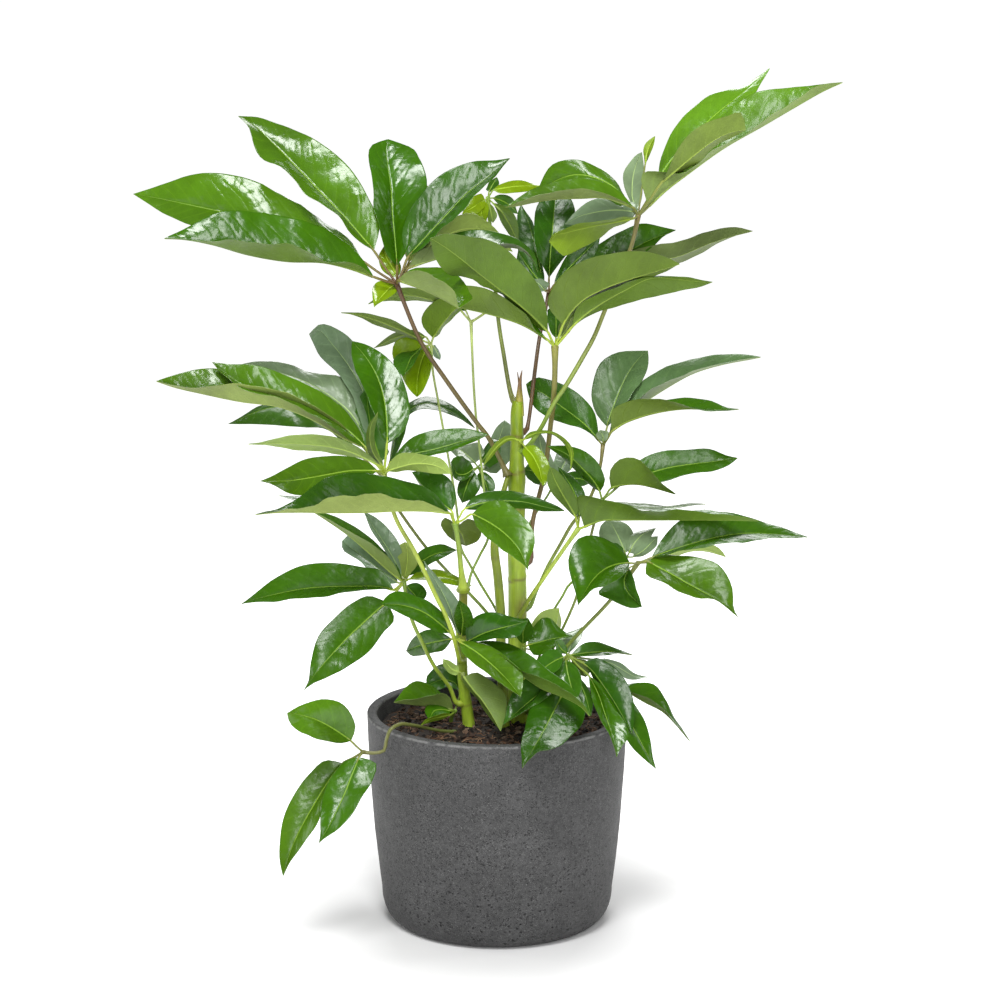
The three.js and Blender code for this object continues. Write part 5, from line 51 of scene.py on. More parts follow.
LEAVES = [
    {'node': 'leaf_crown_left', 'slot': 'leaf_green', 'key': 'A',
     'petiole': [(9.6, -11, 493.3, 2.50), (-9.4, -15, 531.5, 2.50), (-20.9, -20, 547.4, 2.50), (-53.1, -30, 594.6, 2.40), (-77.7, -38, 633.7, 2.30), (-96.9, -44, 680.4, 2.30), (-102.9, -45, 697.1, 2.50)],
     'leaflets': [
        {'tone': 'b', 'rib': [(-126.7,-35,730.1),(-139.7,-31.5,744.8),(-158.3,-25.3,764.9),(-183.3,-16.6,789.8),(-208.4,-7.2,814.8),(-233.8,2.6,839.5),(-255,10.4,857.6),(-269,15,865)],
         'right': [(-121,-29.6,754.6),(-132.1,-22.4,782.6),(-153.1,-12.8,814.8),(-183.2,-1.6,838.4),(-219.5,11.3,854.9),(-250.9,17.6,863.3)],
         'left': [(-142.3,-45.9,742),(-159.5,-49,764.2),(-189.5,-44.9,785.6),(-214.8,-32.5,810),(-246.1,-15.6,828.3),(-257.5,1.8,854.4)]},
        {'tone': 'b', 'rib': [(-136.9,-40,719.3),(-158.1,-35.4,732.4),(-189.8,-27.4,746.7),(-233.8,-16,758.2),(-279.2,-3.9,765.8),(-324.9,8.8,774.1),(-360.7,19.1,780.3),(-381.5,25,783.1)],
         'right': [(-153,-20.1,739.9),(-184.9,-4.3,760.6),(-227.1,3.2,786.7),(-272.3,5.1,804.4),(-319.8,13.5,804),(-359.7,23.1,789.8)],
         'left': [(-161.3,-50.7,724.1),(-193.8,-53.1,733.3),(-237.7,-45.9,740.1),(-282.6,-30.1,747.1),(-328.8,-9.1,757.5),(-362.1,10.4,773.3)]},
        {'tone': 'm', 'rib': [(-126.1,-55,705.6),(-146.5,-57.5,713.7),(-176.1,-61.8,721.4),(-215.1,-67.9,723.7),(-253.3,-74.5,731),(-290.3,-81.3,742.3),(-319.6,-86.8,748.1),(-336.6,-90,749.1)],
         'right': [(-141.7,-44.4,726.7),(-168,-45.6,750),(-208.6,-52.7,765.4),(-246.2,-62.6,773),(-286.1,-73.5,773.1),(-319.6,-81.1,756.5)],
         'left': [(-143.4,-72.3,721),(-173.5,-87.7,727),(-210.3,-96.6,743.6),(-247.4,-101.2,746.7),(-287.1,-101.4,748.2),(-318.2,-97.1,749.5)]},
        {'tone': 'm', 'rib': [(-103.3,-30,713.9),(-104.2,-25.8,726.7),(-106,-18.4,744.3),(-108.6,-7.9,767),(-110.2,3.3,789.7),(-113.7,15.1,812.4),(-115.8,24.5,830.1),(-113.9,30,840.1)],
         'right': [(-94.2,-37.5,728.7),(-88.1,-37.3,748.7),(-80,-22.5,772.7),(-72.6,-0.2,796.9),(-80.8,16.7,820.6),(-92.6,25.5,833.3)],
         'left': [(-112.6,-39.6,726.9),(-119.4,-41.6,745.7),(-125.1,-34.8,770.5),(-127.2,-19.5,794.3),(-133.1,3,817.5),(-129.4,21.8,835.3)]},
        {'tone': 'd', 'rib': [(-91.6,-37,724.1),(-81.8,-35.8,734.9),(-67.9,-33.7,749.9),(-49.8,-30.7,768.9),(-31.7,-27.6,787.9),(-10.9,-24.2,803.8),(4.9,-21.6,816.5),(13.5,-20,824.4)],
         'right': [(-78.8,-47.9,733.4),(-63.2,-54.1,747.8),(-43.4,-54.7,765.5),(-26.4,-49.8,784.3),(-7.5,-40.4,801.2),(5.5,-29.6,816.3)],
         'left': [(-97.8,-35.4,743.6),(-91.5,-32.7,766.7),(-75.6,-29.3,791),(-54.3,-26.1,809.9),(-24.4,-21.4,820.8),(-0.1,-18.1,822.2)]},
        {'tone': 'p', 'rib': [(-91.2,-20,716.9),(-89.1,-17.5,725.9),(-86.3,-13.2,738.5),(-83.8,-7.1,754.7),(-82.8,-0.5,771),(-88.3,6.3,786.6),(-97.1,11.8,796.3),(-102.2,15,801.7)],
         'right': [(-96.3,-7.5,725.1),(-96,3.7,736.6),(-94.8,12.6,751.9),(-93.1,17.6,766.7),(-93.7,19.5,782.8),(-99.2,18.5,794.5)],
         'left': [(-79.5,-10.2,722.6),(-66,-6,733.8),(-54.6,-4.4,752.6),(-56.1,0.6,776.9),(-72.1,8.9,793.5),(-92.5,15.3,799.3)]},
        {'tone': 'd', 'rib': [(-91.8,-34.9,712.4),(-77.5,-36.4,717.7),(-57.2,-39,724.2),(-30.5,-42.7,729.9),(-3.7,-46.6,733.8),(23.2,-50.8,734.3),(37.6,-54.1,721.8),(42.2,-56,710.9)],
         'right': [(-82.8,-38.2,728.3),(-62.8,-47.6,737.8),(-33.8,-56.8,740.8),(-5.2,-60.8,740.4),(22.8,-61.2,737.7),(37.4,-59.4,723.1)],
         'left': [(-81.4,-21.4,723.8),(-62,-24.3,739),(-33.8,-32,750.1),(-5,-37.5,751),(25.2,-41.7,740.7),(40.4,-48.5,723.4)]},
        {'tone': 'b', 'rib': [(-101.3,-60,703.1),(-94.6,-66.7,701.8),(-85.1,-78.4,700),(-73.3,-95,697.5),(-61.8,-112.8,694.7),(-50.7,-131.4,691.3),(-42.3,-146.3,688.5),(-37.5,-155,687.1)],
         'right': [(-93.5,-77.6,712.6),(-81.5,-96.8,717.1),(-67.4,-116.6,716.1),(-54.5,-132.8,711.7),(-44,-145.9,703.6),(-39.2,-153.7,693.9)],
         'left': [(-89.3,-57.2,712.4),(-69.7,-64.6,717.2),(-48.5,-81.4,717.1),(-35.6,-101.9,709.3),(-27.9,-123.7,700),(-25.5,-144,692.9)]},
        {'tone': 'y', 'rib': [(-103.2,-35.4,696.9),(-106,-36.8,695.1),(-109.9,-39.4,692.6),(-114.3,-42.9,688.7),(-118.5,-46.7,684.8),(-122.1,-50.7,680.3),(-124.8,-53.9,676.7),(-126.3,-55.8,674.7)],
         'right': [(-108,-32.5,696.6),(-115.7,-34.3,698.6),(-123.6,-40.5,698.5),(-127.9,-45.2,693.2),(-128.3,-48.1,684.4),(-127.1,-51.6,678)],
         'left': [(-101.2,-40.8,692.2),(-104.3,-47.1,688.9),(-109.1,-52.6,685.7),(-114.1,-55.7,682.5),(-119.5,-57.2,679.2),(-123.8,-57.2,676.5)]},
        {'tone': 'y', 'rib': [(-102.4,-30,702.5),(-104.2,-28.2,705.4),(-106.8,-25.2,709.4),(-110.3,-20.8,714.5),(-114,-16.1,719.3),(-116.6,-11.2,724.6),(-117.2,-7.3,729.2),(-117.6,-5,731.8)],
         'right': [(-99.9,-26.3,706.6),(-99.4,-22.5,711.9),(-101.8,-18.5,718.2),(-104.5,-14.8,723.4),(-107.6,-10.5,727.6),(-113.6,-7,730.3)],
         'left': [(-107.9,-29.6,702.4),(-113.6,-26.4,704.6),(-119.2,-21.8,709),(-122.3,-17.3,716),(-122.5,-13,724),(-119.4,-8.9,729.1)]},
        {'tone': 'p', 'rib': [(-87.9,-25,717.5),(-78.5,-22.2,725.3),(-65.3,-17.2,736.1),(-46.3,-10.2,746.9),(-25.6,-2.8,750.3),(-4.5,5.1,742.1),(9.1,11.3,730.1),(16.9,15,723.3)],
         'right': [(-80.6,-29.2,730.2),(-67.9,-28.7,745),(-49.3,-21.5,761.6),(-24.1,-11.9,766.7),(-2.3,-2.9,749.5),(10.5,6.6,733.2)],
         'left': [(-76.4,-16.3,719.1),(-60.7,-11.9,722.5),(-41.1,-10,727.5),(-24.8,-5.2,729),(-9.1,4.7,729.5),(7.2,13,725.8)]},
     ]},
    {'node': 'leaf_young_top', 'slot': 'leaf_young', 'key': 'C',
     'petiole': [(16.4, 6.5, 569, 2.20), (6.4, 20, 618.7, 2.20), (1.1, 33, 652.1, 2.10), (-3.1, 44, 700.8, 2.00), (-7.4, 53, 747.6, 1.90), (-9.5, 55, 776, 2.10)],
     'leaflets': [
        {'tone': 'y', 'rib': [(-4.2,55,784.4),(1,56.4,785.2),(8.2,58.9,786.3),(17.5,62.4,787.2),(26.9,66.1,787.5),(36.4,70,787.3),(43.7,73.2,787),(48,75,786.8)],
         'right': [(1,54.6,781.5),(8.3,55.5,780.6),(17.8,58.2,781.1),(27.3,62.7,781.4),(36.7,68.2,782.5),(43.9,72.4,784.8)],
         'left': [(-0,58.9,788.2),(7,62.9,791.1),(16.5,66.9,793.3),(26.4,70.6,793),(36.1,73.8,789.9),(43.6,75.2,787.9)]},
        {'tone': 'y', 'rib': [(-12.6,50,774.4),(-15,48.9,773),(-18.4,47.1,771),(-22.8,44.5,768.6),(-27.2,41.7,766.4),(-31.5,38.7,764),(-34.9,36.4,762.1),(-36.8,35,761.1)],
         'right': [(-15.4,49.7,780.7),(-20.8,48,780.2),(-26.3,46,777.7),(-30.2,44.7,773.3),(-33.4,42.2,767.9),(-35.6,38.5,763.5)],
         'left': [(-11.8,47,770),(-14,43.5,766.2),(-18.2,40.1,762.4),(-23.3,38.3,760.3),(-28.7,36.9,758.9),(-33.8,35.3,760.3)]},
        {'tone': 'y', 'rib': [(-11.6,50,772.2),(-12.7,48.6,770.1),(-14.4,46.1,767),(-16,42.6,763.1),(-16.6,38.9,758.8),(-14.8,35,755.2),(-12.7,31.8,752.6),(-11.5,30,751.1)],
         'right': [(-16.9,48.9,773.5),(-20.6,46.4,770.5),(-24.2,42.9,766.1),(-24.2,38.2,760),(-19.2,33.1,755.9),(-14.3,30.1,752.9)],
         'left': [(-9.5,46.3,769.8),(-8.6,42.5,766.8),(-9.1,38.9,763.1),(-9.7,35.7,759.4),(-10.5,32.3,755.7),(-11.1,30.1,752.8)]},
        {'tone': 'm', 'rib': [(-4.2,47,771.5),(-0.7,45.4,768.1),(4.2,42.7,763.5),(9.2,38.9,756.6),(13.8,34.8,749.4),(17.6,30.5,741.9),(20.5,27,736),(22.2,25,732.6)],
         'right': [(1.7,43.5,771),(9.5,41,768.2),(16.9,38.7,762.2),(21.2,35.2,754.1),(22.8,30.4,744.6),(22.7,26.5,737.1)],
         'left': [(-1.6,48.7,767),(0.8,47.9,760.6),(3.8,44.2,752.7),(8.2,38.9,745.6),(13.3,33.2,738.9),(18.9,28.6,734.8)]},
        {'tone': 'd', 'rib': [(-4.2,55,776),(-1.1,56.1,775),(3.2,57.9,773.5),(8.5,60.5,770.9),(13.3,63.3,767.4),(17.7,66.3,763.3),(20.7,68.6,759.6),(22.4,70,757.5)],
         'right': [(-2,53.2,773.3),(1.3,53.3,770.3),(5.7,55.5,766.9),(10.3,59.4,763.5),(14.8,64.1,759.9),(19.5,67.6,758.2)],
         'left': [(-0.5,56.9,778.6),(4.8,58.7,779.4),(11.6,61.2,778.1),(17.5,64.7,773.6),(19.7,68.5,766.3),(21.4,70.4,760.6)]},
        {'tone': 'd', 'rib': [(-8.4,60,781.9),(-7.6,60.7,783.4),(-6.5,61.9,785.5),(-5.1,63.7,788.3),(-3.5,65.6,791),(-1.9,67.5,793.6),(-0.7,69.1,795.7),(0,70,796.8)],
         'right': [(-6,58.8,782.6),(-3.3,59.2,783.9),(-0.7,61.5,786.3),(1.9,64.7,788.6),(2.3,67.2,791.8),(0.9,68.8,795)],
         'left': [(-11.6,61.2,783.9),(-10.6,63.8,786.3),(-9.3,66.6,789.5),(-7.4,68.6,792.3),(-4,70,794.3),(-1.4,70.5,795.9)]},
        {'tone': 'o', 'rib': [(-8.4,51,771.1),(-7.9,50.6,769),(-7.3,49.8,766.1),(-6.4,48.8,762.5),(-5.7,47.7,758.8),(-5,46.5,755.1),(-4.5,45.5,752.2),(-4.2,45,750.5)],
         'right': [(-6.3,52.5,769.3),(-3.7,52.6,766.8),(-1.7,50.9,763),(0.2,48.4,759.4),(-0.5,46.7,755.5),(-2.8,45.8,752.3)],
         'left': [(-10.1,51.9,768.7),(-11.6,51.6,765.5),(-11.6,50,761.5),(-11.5,48.3,757.5),(-8.2,47.5,754.3),(-5.6,46.5,751.8)]},
     ]},
    {'node': 'leaf_crown_right', 'slot': 'leaf_green', 'key': 'D',
     'petiole': [(30.2, -6, 517, 2.40), (46.3, -14, 541, 2.40), (58.8, -18, 566.2, 2.40), (73.4, -16, 588.1, 2.40), (90.2, -9, 615.6, 2.40), (101.8, -5, 636.2, 2.30), (113.3, 0, 664, 2.30), (126.8, 4, 695.1, 2.20), (139.3, 8, 726.2, 2.20), (144.4, 10, 744.8, 2.20), (147.4, 10, 761.5, 2.60)],
     'leaflets': [
        {'tone': 'b', 'rib': [(141.7,25,770.5),(134,28.2,778.9),(122.7,33.7,789.8),(104.2,41.6,798.5),(83.7,50,801.1),(64,58.8,794.8),(50.1,65.9,785.8),(42.6,70,779.9)],
         'right': [(134.1,34.8,779.8),(124.7,44.8,794.8),(105.4,51.5,809.6),(81.8,54.4,816.7),(57,60.2,809.7),(46.3,66.4,791)],
         'left': [(128.8,26.5,770.6),(116.7,29.1,777.6),(100.2,35,783.7),(82.5,44.9,786.4),(66.7,56.6,783),(52,65.4,780.8)]},
        {'tone': 'b', 'rib': [(142.9,5,770.4),(130.1,3.2,775.9),(111.6,0.2,781.8),(87,-4.2,781.8),(62.3,-8.9,781.4),(38,-13.8,778.3),(19.2,-17.7,774.8),(8.4,-20,773.9)],
         'right': [(133.1,8.9,781.9),(115.2,7.3,795.6),(87,3.8,801.1),(60.8,-2.1,798.4),(35.1,-9.6,790.8),(17.9,-15.7,780.1)],
         'left': [(130.7,-3.9,778.8),(112,-11.8,787.6),(86.4,-17.8,792.1),(61.5,-21.5,790.9),(37.2,-23,784.5),(18.8,-22.4,777.8)]},
        {'tone': 'g', 'rib': [(147.2,30,763.7),(145.1,33.5,769.6),(142.3,39.7,777.7),(142.6,48.4,788.7),(144.2,57.8,799.6),(147.7,67.6,810.3),(151.9,75.4,818),(154.3,80,822.5)],
         'right': [(150.2,32,770.5),(152.9,38.6,778.8),(153.8,47.8,788.1),(154.7,57.1,797.7),(155.8,66.7,808.1),(155,74.6,817.2)],
         'left': [(143.1,29.4,769.6),(138.4,33.1,778.1),(134.3,43.3,790),(133.6,56.4,802.3),(141.2,67.6,813),(148.3,75.5,819.9)]},
        {'tone': 'y', 'rib': [(154.4,15,814.2),(154.8,15.7,817.4),(155.4,16.9,821.8),(157,18.7,827.2),(158.7,20.6,832.6),(161.6,22.5,837.5),(163.8,24.1,841.4),(165.1,25,843.6)],
         'right': [(153.8,14,817.7),(153.2,15,822.5),(152.5,18.2,828.6),(154.2,21,834.8),(158.4,22.8,839.3),(162.5,24.2,842.1)],
         'left': [(156,17.3,817),(158.1,19.5,821),(160.4,21.1,826.1),(162.5,22.1,831.1),(164.2,23.4,836.4),(164.8,24.8,840.9)]},
        {'tone': 'c', 'rib': [(157.7,10,770.9),(175.1,10.7,787.6),(201.9,11.9,808.1),(237.4,13.7,833),(275.1,15.6,854),(312.5,17.5,875.7),(341.8,19.1,892),(359.4,20,899.7)],
         'right': [(150.5,7.8,804.1),(188.2,-4.9,807.5),(226.6,-10.1,832.5),(267.1,-6.4,854.9),(305.1,2,880.9),(338,11.5,897.6)],
         'left': [(171.9,23.7,791),(194.7,33.2,818.7),(225.6,32.4,852),(259.9,24.4,885),(302.4,22,893.8),(339.2,23.8,896.8)]},
        {'tone': 'c', 'rib': [(169.2,35,796.8),(178.3,39.2,810.5),(193.1,46.6,828.1),(214.6,57.1,848.9),(237.5,68.3,868.2),(262,80.1,886.2),(280.4,89.5,901),(290.3,95,910.2)],
         'right': [(182,29.4,807.5),(201,29.7,820.5),(224,37.3,840.3),(248.1,50.5,860),(269,67.3,880.3),(282.9,83.2,899)],
         'left': [(171.4,48.2,813.8),(181.2,59.9,837),(198.8,70.8,862.4),(225.6,81.9,881.6),(257.3,91.6,890.5),(279.3,96,902)]},
        {'tone': 'o', 'rib': [(171.6,2,797.7),(179.3,-2.4,804.8),(190,-10,814.9),(203.6,-20.9,827.7),(217.4,-32.5,840.1),(232.3,-44.6,850.3),(245,-54.3,855),(252.7,-60,856)],
         'right': [(176.5,-8.3,809.9),(182.9,-15.6,826.3),(194.4,-21.4,845.3),(211.4,-30.6,859.9),(232.9,-43.4,868.3),(249.6,-53.6,871.3)],
         'left': [(181.2,4.6,802.3),(194.3,1.6,809.1),(209,-7.5,819.9),(221.5,-19.9,833.7),(235.1,-35.6,843.9),(246.1,-49.8,851.1)]},
        {'tone': 'y', 'rib': [(142.8,0,760.5),(133.4,-3.5,758.9),(120.3,-9.7,757),(103.4,-18.4,755.2),(86.7,-27.8,752.7),(70.3,-37.6,749.5),(57.7,-45.4,746.7),(53.5,-50,741)],
         'right': [(133.9,4.1,754.7),(120.9,2.8,749.1),(105.2,-8.9,739.5),(88.9,-26.2,733),(74.6,-40.3,727.1),(65.2,-47.7,728.8)],
         'left': [(132.4,-11.3,762.5),(119,-22.9,761.8),(101.8,-33.9,760.5),(85,-42.1,758.1),(68.8,-47.9,753.9),(57.6,-50.7,748.1)]},
        {'tone': 'g', 'rib': [(146.8,20,764.7),(139.1,21.8,765.4),(128.3,24.8,766.3),(114.3,29.2,765.1),(100.6,33.9,762.4),(87.1,38.8,758.3),(77.5,42.7,752.7),(72,45,749.5)],
         'right': [(145.5,23.7,773.9),(132.5,28.2,774.4),(116.2,31.8,778.7),(99.5,36.1,775.6),(85.8,42,765.4),(76.6,45.3,755.2)],
         'left': [(140.6,20.8,757.2),(129.9,22.6,755.7),(116.5,25.8,753.5),(103.3,31.6,750.9),(90.2,37.7,748.7),(78.9,42.3,748.7)]},
     ]},
    {'node': 'leaf_crown_back', 'slot': 'leaf_dark', 'key': 'E',
     'petiole': [(31.3, 6, 535.3, 2.20), (33.4, 9, 543.3, 2.20), (36.6, 16, 565.8, 2.20), (40.4, 27, 596.2, 2.20), (45.8, 43, 631.4, 2.10), (51.3, 58, 654, 2.00), (55.7, 70, 673.9, 2.20)],
     'leaflets': [
        {'tone': 's', 'rib': [(55.7,75,688.4),(56.2,77.8,697.5),(57,82.8,710.2),(58.5,89.8,726.5),(60.1,97.2,742.7),(61.7,105.1,758.9),(62.9,111.3,771.6),(63.7,115,778.8)],
         'right': [(62.3,70.3,698.1),(72.1,74.4,709.8),(82.5,86.2,725.8),(84.5,96.6,743.1),(83.4,104.7,761),(75.8,111.3,773.8)],
         'left': [(50.7,69.8,698.9),(43.8,70.8,712.7),(39.6,80.3,730),(39.8,93.8,746.8),(43.5,105.3,763.7),(53.4,111.8,774.7)]},
        {'tone': 's', 'rib': [(50.6,85,678.5),(48.8,88.2,687.1),(46.3,93.7,699.2),(42.6,101.6,714.4),(38.7,110,729.6),(34,118.8,744.6),(29,125.9,755.9),(26,130,762.2)],
         'right': [(50.5,81.3,688.4),(48.3,82.2,701.1),(43.8,88.1,716.5),(41.7,97.5,731.9),(36.9,109.8,746.4),(30,121.3,756.6)],
         'left': [(41.9,83.3,685.5),(33.1,88.5,695.7),(23.7,99.4,709.3),(22.3,109.6,725.1),(21.6,118.5,741.3),(22.6,125.8,754.3)]},
        {'tone': 'd', 'rib': [(51.3,65,677.8),(48.3,66.1,681.7),(44.2,67.9,687.1),(38.7,70.5,693.9),(33.3,73.3,700.7),(28.3,76.3,707.9),(24.6,78.6,713.6),(22.5,80,716.8)],
         'right': [(50.5,68.5,682.9),(49.4,71.1,690.3),(44.5,73.1,698.2),(39.4,74.6,706),(34.2,76.8,713.2),(27.7,78.9,716.4)],
         'left': [(46.3,63.3,680.6),(39.5,64.6,684.2),(32.2,68.5,689.8),(25.9,72.5,696.4),(21,75.9,704.4),(21.6,78.5,712.2)]},
        {'tone': 'd', 'rib': [(60.9,65,682.1),(65.6,65.7,687.4),(72,66.9,694.9),(80.9,68.7,703.9),(90,70.6,712.8),(99,72.5,721.6),(106.1,74.1,728.5),(110.1,75,732.4)],
         'right': [(68.8,62.7,684.4),(77.2,62.1,690.2),(87.7,64.5,697.9),(97.7,68.4,705.9),(105.9,71.6,716.1),(109.1,73.7,726.1)],
         'left': [(62.7,69.4,689.3),(67.1,71.4,698.9),(73.4,71.1,711.1),(82.1,71.7,720.7),(93.7,73.3,727.5),(103.9,74.4,730.9)]},
        {'tone': 'g', 'rib': [(51.2,55,677),(50,53.9,678.6),(48.2,52.1,680.8),(46,49.5,683.8),(43.3,46.7,686.3),(40.5,43.7,688.7),(38.4,41.4,690.6),(37.1,40,691.7)],
         'right': [(53.7,54.5,680.5),(55.9,53.6,685),(51.8,52.7,687.6),(47.8,50.9,690.3),(43,47.4,690.8),(39.3,43.4,691.2)],
         'left': [(48.4,50.8,676.9),(45.1,46.9,677.6),(42.6,43.4,680.5),(40.1,40.9,683.3),(38.5,39.5,686.9),(37.6,39.2,690)]},
        {'tone': 'd', 'rib': [(67.5,70,676.1),(87.5,71.4,684.5),(115.7,73.9,695.3),(153.7,77.4,704.3),(192.4,81.1,710.3),(228.8,85,724.5),(257.8,88.2,733.3),(274.8,90,737.2)],
         'right': [(83.2,82.5,692.3),(111.3,91.9,707.3),(150.8,96.2,717.9),(189.3,95.5,724.1),(226.2,94.8,735.5),(256.6,92.6,741.3)],
         'left': [(90.7,79.8,673.9),(120.2,88.6,678),(157.9,95.7,687.5),(196,99.2,700.9),(231.1,98.3,718.9),(258.3,95.1,731.9)]},
        {'tone': 'm', 'rib': [(64.5,82,681),(76.6,84.3,688.1),(93.5,88.4,697.9),(117.1,94.2,706.9),(141.4,100.3,714.2),(164.3,106.8,725.1),(182.9,112,731.8),(193.7,115,735.6)],
         'right': [(79.1,75.9,683.7),(98.3,74.1,689),(121.4,77.3,697.9),(145.7,84.6,706.7),(167.8,95.3,719.5),(183.1,106.6,731.4)],
         'left': [(72.4,92.5,693.6),(88.7,101,706.7),(110.8,104.9,722.4),(133.6,105.6,735),(158.4,109,743.5),(181,112.8,738.6)]},
     ]},
    {'node': 'leaf_crown_front', 'slot': 'leaf_pale', 'key': 'F',
     'petiole': [(35.3, 3, 393.8, 2.40), (36.3, 3, 411.3, 2.50), (38.3, 2, 437.6, 2.50), (43.6, 3, 460.2, 2.50), (48.9, 4, 481.7, 2.50), (53.1, 4, 507.6, 2.60), (56.1, 3, 535.8, 2.70), (59, -6, 564.1, 2.80), (60.3, -16, 587.1, 2.90), (60.7, -22, 610.2, 3.00), (60.5, -25, 628.6, 3.40)],
     'leaflets': [
        {'tone': 'm', 'rib': [(53.1,-30.3,645.1),(42.1,-40.5,658.1),(25.9,-58.2,675.4),(3.9,-83.4,696.1),(-18,-110.3,716.1),(-38.9,-138.4,736.6),(-55.5,-161,751.4),(-65.5,-174.2,758.9)],
         'right': [(37.6,-28.9,650.8),(21.3,-37.9,667.6),(-0.2,-59.3,690.3),(-25.1,-90.9,706.9),(-52.4,-130.6,720.9),(-62.6,-160.2,743)],
         'left': [(51.7,-47.6,667.3),(44,-63.4,695.1),(25.3,-82.6,722.2),(2.4,-107,744.9),(-25.7,-136.2,756),(-50.9,-159.9,761.2)]},
        {'tone': 'u', 'rib': [(53.1,-33,637.1),(42.8,-36.7,644.8),(27.7,-43.1,654.3),(6.8,-52.2,663.2),(-14.7,-61.9,670.1),(-36,-72.1,676.5),(-51.6,-80.2,684.2),(-59.8,-85,689.9)],
         'right': [(43.9,-27.2,646.9),(31.7,-27,662.5),(7.1,-32.6,675.8),(-21.6,-38.6,679.8),(-46.6,-50,683.6),(-59.9,-66.6,690)],
         'left': [(41.7,-45.7,646.1),(31.2,-56.4,664.5),(12.5,-61.6,682.1),(-9.1,-62.7,693.8),(-30.6,-69.2,698.7),(-47.8,-78.4,698.2)]},
        {'tone': 'u', 'rib': [(68.5,-35,653.1),(75.6,-39.6,666),(89,-47.6,681.2),(110.7,-59,694.6),(133.7,-71.1,704.9),(156.9,-83.8,713.7),(174.8,-94.1,720.5),(185,-100,724.4)],
         'right': [(52.9,-38.2,673.4),(61.9,-44.7,700.2),(88.6,-55,722.5),(119.8,-67.5,731.6),(149.1,-81,734.8),(171.9,-92.7,730.7)],
         'left': [(79.3,-27.6,661.7),(93.4,-27.3,673.6),(114.9,-35.4,684.9),(137.2,-49.1,696.9),(159.2,-67.8,708.4),(176.4,-86,717.5)]},
        {'tone': 'm', 'rib': [(77.9,-33,650.7),(89.4,-35.6,662.5),(107.5,-40.2,676.4),(132.4,-46.6,691.7),(158,-53.6,704.9),(186.4,-60.8,704.4),(208.3,-66.6,702.7),(220.8,-70,702.3)],
         'right': [(81.7,-41.4,670.4),(100.2,-52.6,685.8),(127.7,-62.9,698.2),(155.8,-69.1,707.3),(185.1,-71.9,708),(207.8,-72.2,704.8)],
         'left': [(91.4,-27.4,658.8),(111.1,-26.9,668),(138.9,-34.8,676.4),(162.7,-46.9,684.5),(187.4,-55.9,691.1),(209.1,-63.2,696.7)]},
        {'tone': 'd', 'rib': [(61.7,-15,636.6),(61.8,-12.5,639.6),(61.8,-8.2,643.6),(61.9,-2.1,648.7),(62,4.5,653.7),(60.9,11.3,658.6),(59.8,16.8,662.4),(59.1,20,664.5)],
         'right': [(64.9,-15,639.8),(68.4,-11.2,643.9),(70.2,-3.9,649.5),(70.6,4,655.3),(68.2,11.5,661.4),(63.1,16.9,663.9)],
         'left': [(58.3,-14.9,639.4),(55.6,-11.7,643.5),(53.9,-4.5,648.9),(52.7,3.8,654.1),(53.3,11.5,659),(53.9,17,662.8)]},
        {'tone': 'd', 'rib': [(66.9,-19,637.2),(68.8,-17.7,640.2),(71.5,-15.3,644.3),(74.5,-12,649.9),(77,-8.4,655.6),(79.6,-4.7,661.3),(81.7,-1.7,665.7),(82.8,0,668.2)],
         'right': [(64.5,-17.3,641.7),(63.7,-14.7,647.2),(66.4,-11.4,653.2),(69.5,-7.8,659),(73.3,-4.1,664.9),(78.8,-1.4,667.4)],
         'left': [(70.4,-14.8,638.8),(75.3,-10.8,641.2),(79.2,-6.8,647),(82.4,-4.3,653.1),(84.2,-2.5,659.5),(84,-0.9,664.9)]},
     ]},
    {'node': 'leaf_small_upper', 'slot': 'leaf_green', 'key': 'G',
     'petiole': [(-31.1, -38, 373.8, 1.40), (-27.4, -30, 387.1, 1.40), (-18, -16, 404.6, 1.40), (-9.5, -4, 420.4, 1.40), (-10.6, 2, 444.1, 1.30), (-13.8, 6, 470.5, 1.30), (-19.1, 14, 519.8, 1.30), (-22.3, 19, 548, 1.30), (-24.4, 22, 576.6, 1.30), (-26.4, 24, 620.2, 1.30), (-27.4, 25, 647.9, 1.60)],
     'leaflets': [
        {'tone': 'o', 'rib': [(-42.2,22,665.3),(-51.5,18.7,668),(-64.5,12.9,672),(-81,4.7,677.7),(-98,-4.1,680.6),(-114.6,-13.3,679.4),(-126.9,-20.7,675.9),(-133.9,-25,673.7)],
         'right': [(-52,24,665.5),(-65,21.9,668.4),(-81.7,14.9,671.4),(-97.7,5.2,672.8),(-114.2,-6.4,674.8),(-126.8,-17.1,674.2)],
         'left': [(-51,13.5,671.5),(-63.4,4.3,678.6),(-80.4,-5.2,686.8),(-97.6,-13.3,689.1),(-115.6,-20.1,685.1),(-127.5,-24.1,678.7)]},
        {'tone': 'd', 'rib': [(-32.8,30,658.9),(-35.5,32.5,661.7),(-39.3,36.8,665.4),(-43.8,42.9,670.5),(-48.3,49.5,675.7),(-52.5,56.3,681),(-55.8,61.8,685.1),(-57.7,65,687.5)],
         'right': [(-29.8,32.9,664.2),(-32.7,37.3,668.9),(-36.7,43.6,674.8),(-41.9,50.1,679.8),(-48.2,57.1,683.8),(-54.3,62.7,686.1)],
         'left': [(-37.5,29.6,659.7),(-42.4,31.9,663),(-48.1,37.4,667.9),(-52.6,44.9,673.2),(-56.5,53.5,678.9),(-57.2,60.4,684.4)]},
        {'tone': 'd', 'rib': [(-12.6,28.5,657),(-7.8,36.5,658.8),(-0.9,50.4,661.1),(8.7,70.2,662.5),(18.9,91.4,662.5),(29.4,113.6,661),(37.8,131.3,659.1),(42.7,141.7,658)],
